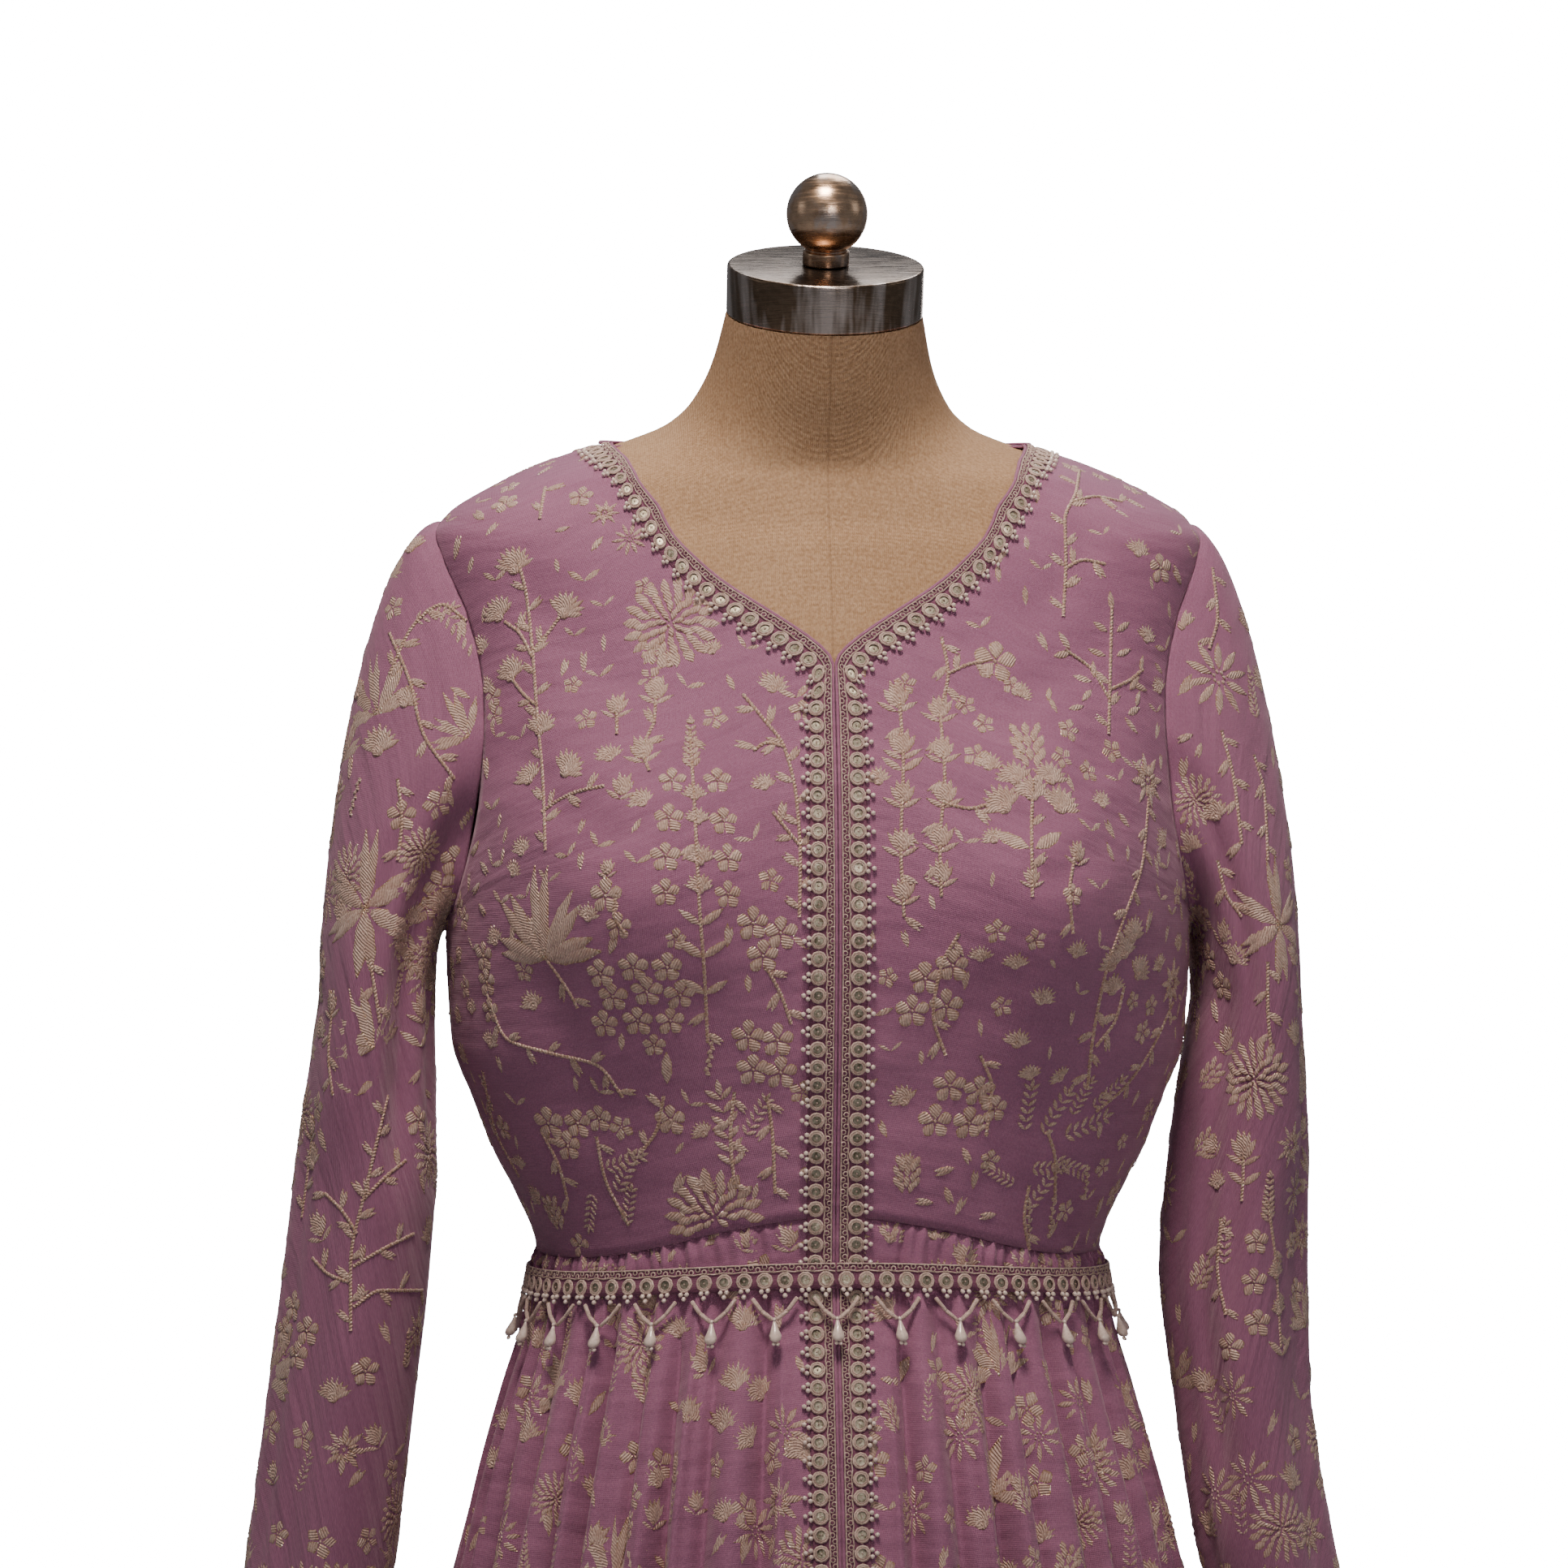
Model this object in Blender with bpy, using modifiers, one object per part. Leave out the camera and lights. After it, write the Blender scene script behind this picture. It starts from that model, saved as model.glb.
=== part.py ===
"""Anarkali gown standing on a limbless dress form, one object for each piece that is cut and sewn.

Metres, +Z up, the front faces -Y and the wearer's left is +X. The origin is on the floor, under
the middle of the round base. Bodice, skirt and dress form are read from stacks of level rings.
A place on a ring is an angle: 0 is the centre front, 90 degrees the +X side, 180 the centre back.
"""
import math

import bpy
import numpy as np

# Cloth and seams
WALL = 0.0014
SEAM_GAP = 0.0003
PIPING_WIDTH = 0.0015
LACE_WIDTH = 0.018
LACE_WALL = 0.0010
NEAR_CLOTH = 0.0003

# Heights of the gown
SHOULDER_POINT = 1.450
NECKLINE_POINT = 1.333
BACK_NECK = 1.4395
WAIST_SIDE = 1.030
WAIST_FRONT_RISE = 0.026
WAIST_RISE_SPREAD = math.radians(35)
HEM = 0.030
BELT_TOP_SIDE = 1.022
BELT_FRONT_RISE = 0.012
BELT_RISE_SPREAD = math.radians(50)
BELT_HEIGHT = 0.018

# Bust
BUST_RISE = 0.030
BUST_OUT = 0.105
BUST_HEIGHT = 1.222
BUST_SPREAD_X = 0.042
BUST_SPREAD_Z = 0.050

# Armholes: an oval round the side line, and the gap to the sleeve as a share of its radius
ARMHOLE_MIDDLE = 1.302
ARMHOLE_HALF_HEIGHT = 0.107
ARMHOLE_HALF_ANGLE = math.radians(27)
SLEEVE_SHARE = 0.993
SLEEVE_OVAL_TOP = 1.160
CUFF = 0.810

# Distances from the gown's middle line that turn a gap in metres into an angle
SHOULDER_DEPTH = 0.06
SIDE_DEPTH = 0.12

# How far round a ring counts against its height where the neckline's rows are spaced
NECKLINE_REACH = 0.13

# Skirt gathers and the soft folds that grow towards the hem
FRONT_GATHERS = 11
BACK_GATHERS = 22
COLUMNS_A_GATHER = 4
SOFT_FOLDS = 18
SOFT_FOLD_DEPTH = 0.024
SKIRT_FALLS = (0.0, 0.025, 0.050, 0.095, 0.21, 0.43, 0.70, 1.0)
FLAT_BAND = 0.0215

# Belt drops
DROPS = 28
DROP_HALF_WIDTH = 0.0118
DROP_STRAND = 0.0024
DROP_STRIP = 0.003
DROP_FORK = 0.0105
DROP_LENGTH = 0.024
DROP_WALL = 0.0022

# Dress form
NECK_LEAN = math.radians(19)
NECK_TOP = 1.5137
NECK_TOP_Y = -0.042
CAP_RADIUS = 0.0506
CAP_HEIGHT = 0.0253
CAP_BEVEL = 0.0015
COLLAR_RADIUS = 0.0119
COLLAR_HEIGHT = 0.0075
BALL_RADIUS = 0.0208
POLE_RADIUS = 0.016
BASE_RADIUS = 0.190
BASE_THICKNESS = 0.016
HUB_RADIUS = 0.034
HUB_TOP = 0.075

# Rings of the dress form, from its flat underside to the top of its neck, each with its height,
# half width, front, back, centre, lean and squareness
FORM_RINGS = (
    (0.800, 0.140, -0.094, 0.104, 0.005, 0.00, 0.05),
    (0.860, 0.148, -0.098, 0.108, 0.005, 0.00, 0.05),
    (0.940, 0.140, -0.096, 0.092, 0.003, 0.00, 0.05),
    (1.015, 0.122, -0.089, 0.076, 0.000, 0.00, 0.05),
    (1.080, 0.132, -0.098, 0.078, 0.000, 0.00, 0.07),
    (1.140, 0.150, -0.110, 0.087, 0.000, 0.00, 0.09),
    (1.200, 0.165, -0.118, 0.096, 0.000, 0.00, 0.10),
    (1.260, 0.173, -0.115, 0.102, 0.000, 0.00, 0.10),
    (1.320, 0.180, -0.102, 0.102, 0.000, 0.00, 0.10),
    (1.360, 0.188, -0.091, 0.096, 0.000, 0.02, 0.10),
    (1.385, 0.1955, -0.083, 0.0885, 0.000, 0.05, 0.10),
    (1.400, 0.1965, -0.078, 0.0815, 0.001, 0.08, 0.10),
    (1.4132, 0.1880, -0.0725, 0.074, 0.002, 0.12, 0.09),
    (1.4253, 0.1675, -0.0695, 0.068, 0.002, 0.16, 0.08),
    (1.4383, 0.1372, -0.0665, 0.062, 0.000, 0.20, 0.07),
    (1.4482, 0.1035, -0.0655, 0.056, -0.002, 0.25, 0.06),
    (1.4560, 0.0825, -0.0670, 0.050, -0.006, 0.28, 0.05),
    (1.4680, 0.068, -0.071, 0.042, -0.013, 0.31, 0.03),
    (1.4890, 0.057, -0.080, 0.027, -0.027, 0.335, 0.01),
    (NECK_TOP, 0.0506, -0.0898, 0.0058, NECK_TOP_Y, math.tan(NECK_LEAN), 0.00),
)

# Rings of the gown's outer surface, from the hem to the neckline at the shoulder, told the same way
GOWN_RINGS = (
    (0.030, 0.395, -0.350, 0.350, 0.000, 0.00, 0.00),
    (0.300, 0.328, -0.288, 0.288, 0.000, 0.00, 0.00),
    (0.600, 0.250, -0.219, 0.218, 0.000, 0.00, 0.00),
    (0.800, 0.199, -0.172, 0.170, 0.000, 0.00, 0.02),
    (0.960, 0.161, -0.133, 0.126, 0.000, 0.00, 0.04),
    (1.000, 0.1505, -0.119, 0.108, 0.000, 0.00, 0.05),
    (1.030, 0.1475, -0.112, 0.098, 0.000, 0.00, 0.05),
    (1.060, 0.1585, -0.114, 0.097, 0.000, 0.00, 0.06),
    (1.080, 0.1690, -0.117, 0.099, 0.000, 0.00, 0.07),
    (1.110, 0.1810, -0.121, 0.102, 0.000, 0.00, 0.08),
    (1.140, 0.1915, -0.126, 0.106, 0.000, 0.00, 0.09),
    (1.200, 0.1945, -0.130, 0.111, 0.000, 0.00, 0.10),
    (1.260, 0.1925, -0.125, 0.113, 0.000, 0.00, 0.10),
    (1.320, 0.1920, -0.109, 0.110, 0.000, 0.00, 0.10),
    (1.360, 0.1960, -0.097, 0.103, 0.000, 0.02, 0.10),
    (1.385, 0.2010, -0.0885, 0.095, 0.000, 0.05, 0.10),
    (1.400, 0.2020, -0.0835, 0.088, 0.001, 0.08, 0.10),
    (1.4132, 0.1930, -0.0795, 0.081, 0.002, 0.12, 0.09),
    (1.4253, 0.1740, -0.0765, 0.075, 0.002, 0.16, 0.08),
    (1.4383, 0.1452, -0.0735, 0.069, 0.000, 0.20, 0.07),
    (1.4482, 0.1130, -0.0725, 0.063, -0.002, 0.25, 0.06),
    (1.4560, 0.0890, -0.0730, 0.057, -0.006, 0.28, 0.05),
)

# The front neckline from its point to the shoulder, as seen from the front: half width and height
NECKLINE = (
    (0.0000, 1.3330),
    (0.0130, 1.3440),
    (0.0300, 1.3555),
    (0.0500, 1.3705),
    (0.0700, 1.3900),
    (0.0880, 1.4175),
    (0.0985, 1.4340),
    (0.1045, 1.4450),
)

# Level ovals of each sleeve below the armhole: height, inner and outer edge, front and back
LEFT_SLEEVE = (
    (SLEEVE_OVAL_TOP, 0.1985, 0.2540, -0.064, 0.060),
    (1.080, 0.1850, 0.2575, -0.062, 0.050),
    (1.016, 0.1790, 0.2565, -0.062, 0.040),
    (0.960, 0.1850, 0.2570, -0.064, 0.034),
    (0.880, 0.1960, 0.2680, -0.068, 0.028),
    (CUFF, 0.2150, 0.2850, -0.070, 0.024),
)
RIGHT_SLEEVE = (
    (SLEEVE_OVAL_TOP, 0.2000, 0.2600, -0.064, 0.060),
    (1.080, 0.1990, 0.2715, -0.062, 0.052),
    (1.016, 0.2030, 0.2790, -0.062, 0.044),
    (0.960, 0.2095, 0.2860, -0.063, 0.038),
    (0.880, 0.2190, 0.2960, -0.066, 0.032),
    (CUFF, 0.2290, 0.3060, -0.068, 0.028),
)
# Long soft creases of the sleeves: place round the oval and width in degrees, depth, and the
# heights they run between
LEFT_CREASES = (
    (50, 16, 0.009, 1.150, 0.93),
    (-60, 20, 0.008, 1.120, 0.86),
    (130, 20, 0.006, 1.060, 0.84),
)
RIGHT_CREASES = (
    (60, 16, 0.012, 1.330, 1.10),
    (120, 20, 0.007, 1.080, 0.86),
    (-70, 20, 0.008, 1.160, 0.88),
)


def smooth_rows(table, where):
    """Columns of a table read on a smooth curve through its rows, with no overshoot between."""
    table = np.asarray(table, float)
    knots, values = table[:, 0], table[:, 1:]
    steps = np.diff(knots)[:, None]
    rises = np.diff(values, axis=0) / steps
    same_way = rises[:-1] * rises[1:] > 0
    total = np.where(same_way, rises[:-1] + rises[1:], 1.0)
    middle = np.where(same_way, 2 * rises[:-1] * rises[1:] / total, 0.0)
    slopes = np.concatenate([rises[:1], middle, rises[-1:]])
    where = np.asarray(where, float)
    place = np.clip(np.searchsorted(knots, where) - 1, 0, len(knots) - 2)
    step = steps[place, 0]
    share = ((where - knots[place]) / step)[..., None]
    step = step[..., None]
    return ((2 * share ** 3 - 3 * share ** 2 + 1) * values[place]
            + (share ** 3 - 2 * share ** 2 + share) * step * slopes[place]
            + (3 * share ** 2 - 2 * share ** 3) * values[place + 1]
            + (share ** 3 - share ** 2) * step * slopes[place + 1])


def soft_step(low, high, value):
    """0 below low, 1 above high, and a smooth rise between."""
    share = np.clip((value - low) / (high - low), 0, 1)
    return share * share * (3 - 2 * share)


def ring_point(rings, angle, height):
    """Points on a stack of rings: ovals filled out at their corners, with the bust raised."""
    angle, height = np.broadcast_arrays(np.asarray(angle, float), np.asarray(height, float))
    half, front, back, centre, lean, square = np.moveaxis(smooth_rows(rings, height), -1, 0)
    sine, cosine = np.sin(angle), np.cos(angle)
    depth = np.where(cosine > 0, centre - front, back - centre)
    x = half * sine * (1 + square * cosine ** 2)
    y = centre - depth * cosine * (1 + square * sine ** 2)
    far = ((np.abs(x) - BUST_OUT) / BUST_SPREAD_X) ** 2 + ((height - BUST_HEIGHT) / BUST_SPREAD_Z) ** 2
    y = y - BUST_RISE * np.exp(-far / 2) * soft_step(0, 0.5, cosine)
    return np.stack([x, y, height + lean * (y - centre)], axis=-1)


def waist_seam(angle):
    """Height of the waist seam, which rises to the centre front."""
    turn = np.arctan2(np.sin(angle), np.cos(angle))
    return WAIST_SIDE + WAIST_FRONT_RISE * np.exp(-(turn / WAIST_RISE_SPREAD) ** 2)


def belt_top(angle):
    """Height of the belt's upper edge, which rises a little to the centre front."""
    turn = np.arctan2(np.sin(angle), np.cos(angle))
    return BELT_TOP_SIDE + BELT_FRONT_RISE * np.exp(-(turn / BELT_RISE_SPREAD) ** 2)


def gather_phase(angle):
    """Turns of the gathers: a whole number at each side seam, and of uneven width between."""
    turn = np.mod(angle + math.pi, 2 * math.pi) - math.pi
    front = np.abs(turn) <= math.pi / 2
    share = np.where(front, np.abs(turn), np.pi - np.abs(turn)) / (math.pi / 2)
    wobble = 0.012 * np.sin(3 * math.pi * share + np.sign(turn)) - 0.012 * np.sin(np.sign(turn))
    wobble = wobble * (1 - share) + 0.007 * np.sin(9 * math.pi * share)
    count = np.where(front, FRONT_GATHERS, BACK_GATHERS / 2)
    return 2 * math.pi * count * (1 - share + wobble)


def gather_depth(height):
    """How far a gather stands from the middle surface: slight at the waist, fullest at the hip."""
    near = soft_step(1.056, 1.00, height)
    hip = soft_step(1.0, 0.90, height)
    return 0.0006 + 0.0018 * near + 0.0030 * hip - 0.0020 * soft_step(0.6, 0.1, height)


def soft_fold(angle, height):
    """The broad folds of the flared skirt, none at the waist and deepest at the hem."""
    growth = soft_step(0.98, 0.0, height) ** 0.8
    wave = np.cos(SOFT_FOLDS * angle + 0.9 * np.sin(2 * angle + 0.6) + 0.5 * np.sin(5 * angle))
    return SOFT_FOLD_DEPTH * growth * wave


def small_steps(rings, angle, height):
    """How a stack of rings runs on from a place: per radian along the ring, and per metre up."""
    small = 1e-4
    along = ring_point(rings, angle + small, height) - ring_point(rings, angle - small, height)
    up = ring_point(rings, angle, height + small) - ring_point(rings, angle, height - small)
    return along / 2 / small, up / 2 / small


def outward(rings, angle, height):
    """Unit normals of a stack of rings, square to its small steps along and up."""
    normal = np.cross(*small_steps(rings, angle, height))
    return normal / np.linalg.norm(normal, axis=-1, keepdims=True)


def skirt_point(angle, height, out=0.0):
    """Skirt surface: the level rings moved out by the gathers, the soft folds and a given step."""
    base = ring_point(GOWN_RINGS, angle, height)
    normal = outward(GOWN_RINGS, angle, height)
    level = normal * np.array([1.0, 1.0, 0.0])
    level = level / np.linalg.norm(level, axis=-1, keepdims=True)
    from_middle = np.where(np.cos(angle) > 0, np.abs(base[..., 0]), 1.0)
    free = soft_step(FLAT_BAND, FLAT_BAND + 0.012, from_middle)
    wave = gather_depth(height) * np.cos(gather_phase(angle))
    move = free * wave + (0.35 + 0.65 * free) * soft_fold(angle, height)
    return base + level * (move + out)[..., None]


def rings_at(x, z):
    """Angle and ring height of the gown's front surface where it is seen at x and z."""
    heights = np.linspace(1.20, SHOULDER_POINT, 400)
    angles = np.linspace(0, math.pi / 2, 181)
    found = np.array([np.interp(x, ring_point(GOWN_RINGS, angles, h)[:, 0], angles) for h in heights])
    seen = ring_point(GOWN_RINGS, found, heights)[:, 2]
    height = np.interp(z, seen, heights)
    return np.interp(height, heights, found), height


def closer_to_end(points, count):
    """Rows along the smooth curve through a line of points, closer together towards its end."""
    length = np.concatenate([[0], np.cumsum(np.linalg.norm(np.diff(points, axis=0), axis=1))])
    share = np.sin(np.linspace(0, math.pi / 2, count + 1))
    return smooth_rows(np.column_stack([length, points]), length[-1] * share)


def step_on_gown(angle, height, move):
    """Angle and height reached from a place on the gown by a short move in space."""
    basis = np.stack(small_steps(GOWN_RINGS, angle, height), axis=-1)
    change = np.einsum("...ij,...j->...i", np.linalg.pinv(basis), move)
    return angle + change[..., 0], height + change[..., 1]


# Rows of the bodice panels: opening or centre line, then neckline; side seam, then armhole
OPENING_ROWS = 11
CENTRE_BACK_ROWS = 14
SIDE_ROWS = 8
ARMHOLE_ROWS = 10
PANEL_COLUMNS = 7
BODICE_ROWS = SIDE_ROWS + ARMHOLE_ROWS


def front_edge():
    """Angles and heights of the front edge, from the waist up the opening and the neckline."""
    opening = np.column_stack([np.zeros(OPENING_ROWS + 1),
                               np.linspace(waist_seam(0.0), NECKLINE_POINT, OPENING_ROWS + 1)])
    solved = np.array([rings_at(x, z) for x, z in NECKLINE[1:]])
    turn = np.vstack([[0.0, NECKLINE_POINT], solved, [math.pi / 2, SHOULDER_POINT]])
    reach = np.array([NECKLINE_REACH, 1.0])
    neck = closer_to_end(turn * reach, BODICE_ROWS - OPENING_ROWS) / reach
    return np.vstack([opening, neck[1:]])


def back_edge():
    """Angles and heights of the centre back line and the back neckline."""
    opening = np.column_stack([np.full(CENTRE_BACK_ROWS + 1, math.pi),
                               np.linspace(waist_seam(math.pi), BACK_NECK, CENTRE_BACK_ROWS + 1)])
    share = np.sin(np.linspace(0, math.pi / 2, BODICE_ROWS - CENTRE_BACK_ROWS + 1))[1:]
    height = BACK_NECK + (SHOULDER_POINT - BACK_NECK) * share ** 1.6
    return np.vstack([opening, np.column_stack([math.pi - share * math.pi / 2, height])])


def armhole_turns():
    """Rows round half the armhole, closer together towards the shoulder."""
    even = np.linspace(0, 1, ARMHOLE_ROWS + 1)
    return math.pi * (even + 0.12 * np.sin(math.pi * even))


def armhole(turn, share=1.0, side=1):
    """Angle and height on the armhole oval: turn 0 is the underarm, 180 degrees the shoulder."""
    angle = math.pi / 2 - side * share * ARMHOLE_HALF_ANGLE * np.sin(turn)
    return angle, ARMHOLE_MIDDLE - share * ARMHOLE_HALF_HEIGHT * np.cos(turn)


def side_edge(side):
    """Angles and heights of the side seam and the armhole; side 1 is the front, -1 the back."""
    seam = np.linspace(waist_seam(math.pi / 2), ARMHOLE_MIDDLE - ARMHOLE_HALF_HEIGHT, SIDE_ROWS + 1)
    angle, height = armhole(armhole_turns()[1:], side=side)
    return np.vstack([np.column_stack([np.full(SIDE_ROWS + 1, math.pi / 2), seam]),
                      np.column_stack([angle, height])])


def edge_moves(edge, side):
    """Unit moves on the gown, square to an edge and into the panel, or down the shoulder seam."""
    points = ring_point(GOWN_RINGS, edge[:, 0], edge[:, 1])
    along = np.gradient(points, axis=0)
    move = np.cross(along, outward(GOWN_RINGS, edge[:, 0], edge[:, 1])) * side
    on_seam = np.abs(np.cos(edge[:, 0])) < 0.01
    down = points - ring_point(GOWN_RINGS, edge[:, 0], edge[:, 1] - 0.001)
    move[on_seam] = -down[on_seam]
    return move / np.linalg.norm(move, axis=1, keepdims=True)


def offset_edge(edge, side, distance):
    """An edge moved into its panel by a distance."""
    angle, height = step_on_gown(edge[:, 0], edge[:, 1], edge_moves(edge, side) * distance)
    return np.column_stack([angle, height])


def bodice_grid(side):
    """Angles and heights of a bodice half, rows from the waist up, columns from the centre out."""
    edge = front_edge() if side == 1 else back_edge()
    start = PIPING_WIDTH + 2 * SEAM_GAP
    if side == 1:
        first = [offset_edge(edge, side, start + d) for d in (0, LACE_WIDTH / 2, LACE_WIDTH)]
    else:
        neck = offset_edge(edge, side, start)
        first = [np.vstack([edge[:CENTRE_BACK_ROWS], [[math.pi, BACK_NECK - start]],
                            neck[CENTRE_BACK_ROWS + 1:]])]
    outer = side_edge(side)
    outer[:, 0] -= side * SEAM_GAP / 2 / SIDE_DEPTH * (outer[:, 0] == math.pi / 2)
    columns = list(first)
    for share in np.linspace(0, 1, PANEL_COLUMNS + 3 - len(first))[1:]:
        columns.append(first[-1] * (1 - share) + outer * share)
    grid = np.stack(columns, axis=1)
    straight = grid[0, :, 1].copy()
    lift = waist_seam(grid[0, :, 0]) + SEAM_GAP / 2 - straight
    fade = np.linspace(1, 0, BODICE_ROWS + 1)[:, None] ** 2
    grid[:, :, 1] += fade * lift[None, :]
    grid[-1, :, 0] -= side * SEAM_GAP / 2 / SHOULDER_DEPTH
    below_seam = math.radians(1.5) * np.arange(BODICE_ROWS, -1, -1)[:, None]
    neck = slice(CENTRE_BACK_ROWS + 1, BODICE_ROWS)
    reach = side * (math.pi / 2 - grid[neck, :, 0])
    grid[neck, :, 0] = math.pi / 2 - side * np.maximum(reach, below_seam[neck])
    return grid


def grid_faces(rows, columns, closed=False):
    """Faces of a grid whose points run along each row in turn, every cell split the same way."""
    faces = []
    for row in range(rows - 1):
        for column in range(columns if closed else columns - 1):
            after = (column + 1) % columns
            near, far = row * columns + column, (row + 1) * columns + after
            faces.append((near, row * columns + after, far))
            faces.append((near, far, (row + 1) * columns + column))
    return faces


def wall_faces(faces, count, open_edges=frozenset()):
    """Faces of a wall: the outer skin, the inner skin turned round, and the rim between."""
    used = {}
    for face in faces:
        for first, second in zip(face, face[1:] + face[:1]):
            used[(first, second)] = True
    inner = [tuple(count + corner for corner in reversed(face)) for face in faces]
    rim = [(second, first, count + first, count + second) for first, second in used
           if (second, first) not in used and (first, second) not in open_edges]
    return list(faces) + inner + rim


def add_object(name, points, faces, material, smooth_degrees=50):
    """A named object in the gown's collection, shaded smooth between its sharp edges."""
    mesh = bpy.data.meshes.new(name)
    mesh.from_pydata([tuple(map(float, point)) for point in points], [], faces)
    mesh.materials.append(material)
    mesh.shade_smooth()
    mesh.set_sharp_from_angle(angle=math.radians(smooth_degrees))
    thing = bpy.data.objects.new(name, mesh)
    collection.objects.link(thing)
    return thing


def add_wall(name, outer, inner, faces, material, mirror_x=False):
    """A cloth wall between an outer and an inner copy of one net of points."""
    outer = outer.reshape(-1, 3)
    inner = inner.reshape(-1, 3)
    points = np.vstack([outer, inner])
    built = wall_faces(faces, len(outer))
    if mirror_x:
        points = points * np.array([-1.0, 1.0, 1.0])
        built = [tuple(reversed(face)) for face in built]
    return add_object(name, points, built, material)


def new_material(name, colour, roughness, metallic=0.0):
    """A plain Principled material."""
    material = bpy.data.materials.new(name)
    material.use_nodes = True
    shader = material.node_tree.nodes["Principled BSDF"]
    shader.inputs["Base Color"].default_value = (*colour, 1.0)
    shader.inputs["Roughness"].default_value = roughness
    shader.inputs["Metallic"].default_value = metallic
    return material


def make_bodice():
    """Two fronts and one back, from the waist seam to the shoulder seams."""
    front = bodice_grid(1)
    outer = ring_point(GOWN_RINGS, front[..., 0], front[..., 1])
    inner = outer - WALL * outward(GOWN_RINGS, front[..., 0], front[..., 1])
    faces = grid_faces(*front.shape[:2])
    add_wall("bodice_front_left", outer, inner, faces, cloth)
    add_wall("bodice_front_right", outer, inner, faces, cloth, mirror_x=True)

    back = bodice_grid(-1)
    outer = ring_point(GOWN_RINGS, back[..., 0], back[..., 1])
    inner = outer - WALL * outward(GOWN_RINGS, back[..., 0], back[..., 1])
    outer[:CENTRE_BACK_ROWS + 1, 0, 0] = 0.0
    inner[:CENTRE_BACK_ROWS + 1, 0, 0] = 0.0
    rows, columns = back.shape[:2]
    faces = [tuple(reversed(face)) for face in grid_faces(rows, columns)]
    middle = {((row + 1) * columns, row * columns) for row in range(CENTRE_BACK_ROWS)}
    middle |= {(second, first) for first, second in middle}
    points = np.vstack([outer.reshape(-1, 3), inner.reshape(-1, 3)])
    built = wall_faces(faces, rows * columns, middle)
    panel = add_object("bodice_back", points, built, cloth)
    mirror = panel.modifiers.new("Mirror", "MIRROR")
    mirror.merge_threshold = 0.00005


def strip_rows():
    """Angles and heights of the front edge from the shoulder down to the hem, on gown and skirt."""
    bodice = front_edge()[::-1]
    seam = waist_seam(0.0)
    falls = np.array(SKIRT_FALLS[1:])
    skirt = np.column_stack([np.zeros(len(falls)), seam + (HEM - seam) * falls])
    return bodice, skirt


def edge_strip(name, inside, outside, low, high, material, mirror_x, steps=1):
    """A strip along the front edge, between two distances from it and two heights off the cloth."""
    bodice, skirt = strip_rows()
    here = ring_point(GOWN_RINGS, 0.01, skirt[:, 1])[:, 0] / 0.01
    distances = np.linspace(inside, outside, steps + 1)
    columns = [offset_edge(bodice[::-1], 1, d)[::-1] for d in distances]
    grid = np.stack(columns, axis=1)
    grid[0, :, 0] -= SEAM_GAP / SHOULDER_DEPTH
    surface = ring_point(GOWN_RINGS, grid[..., 0], grid[..., 1])
    normal = outward(GOWN_RINGS, grid[..., 0], grid[..., 1])
    side = -1 if mirror_x else 1
    flip = np.array([side, 1.0, 1.0])
    angles = side * distances[None, :] / here[:, None]
    heights = np.repeat(skirt[:, 1:2], steps + 1, axis=1)
    outer, inner = [np.concatenate([surface + normal * out, skirt_point(angles, heights, out) * flip])[::-1]
                    for out in (high, low)]
    add_wall(name, outer, inner, grid_faces(*outer.shape[:2]), material, mirror_x)


def make_edge_trims():
    """Piping on the front edges, lace beside it, and piping round the back of the neck."""
    lace_start = PIPING_WIDTH + 2 * SEAM_GAP
    for side, mirror_x in (("left", False), ("right", True)):
        edge_strip("piping_" + side, SEAM_GAP / 2, SEAM_GAP / 2 + PIPING_WIDTH, -WALL - 0.0002, 0.0008,
                   cloth, mirror_x)
        edge_strip("lace_" + side, lace_start, lace_start + LACE_WIDTH, NEAR_CLOTH,
                   NEAR_CLOTH + LACE_WALL, lace, mirror_x, steps=2)
    edge = back_edge()[CENTRE_BACK_ROWS:]
    full = np.vstack([edge[::-1], np.column_stack([2 * math.pi - edge[1:, 0], edge[1:, 1]])])
    full[0, 0] += SEAM_GAP / 2 / SHOULDER_DEPTH
    full[-1, 0] -= SEAM_GAP / 2 / SHOULDER_DEPTH
    down = offset_edge(full, 1, PIPING_WIDTH)
    grid = np.stack([down, full], axis=0)
    surface = ring_point(GOWN_RINGS, grid[..., 0], grid[..., 1])
    normal = outward(GOWN_RINGS, grid[..., 0], grid[..., 1])
    add_wall("piping_back", surface + normal * 0.0008, surface - normal * (WALL + 0.0002),
             grid_faces(2, len(full)), cloth)


def make_underlap():
    """The narrow strip of cloth that lies behind the closed front opening."""
    half_width, top, bottom = 0.011, NECKLINE_POINT - 0.004, 1.075
    heights = np.linspace(bottom, top, 9)
    across = np.linspace(-half_width, half_width, 5)
    radius = ring_point(GOWN_RINGS, 0.01, heights)[:, 0] / 0.01
    angle = across[None, :] / radius[:, None]
    height = np.repeat(heights[:, None], len(across), axis=1)
    surface = ring_point(GOWN_RINGS, angle, height)
    normal = outward(GOWN_RINGS, angle, height)
    near = WALL + 0.0002 + 2 * NEAR_CLOTH
    add_wall("bodice_underlap", surface - normal * near, surface - normal * (near + 0.001),
             grid_faces(*angle.shape), cloth)


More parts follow.
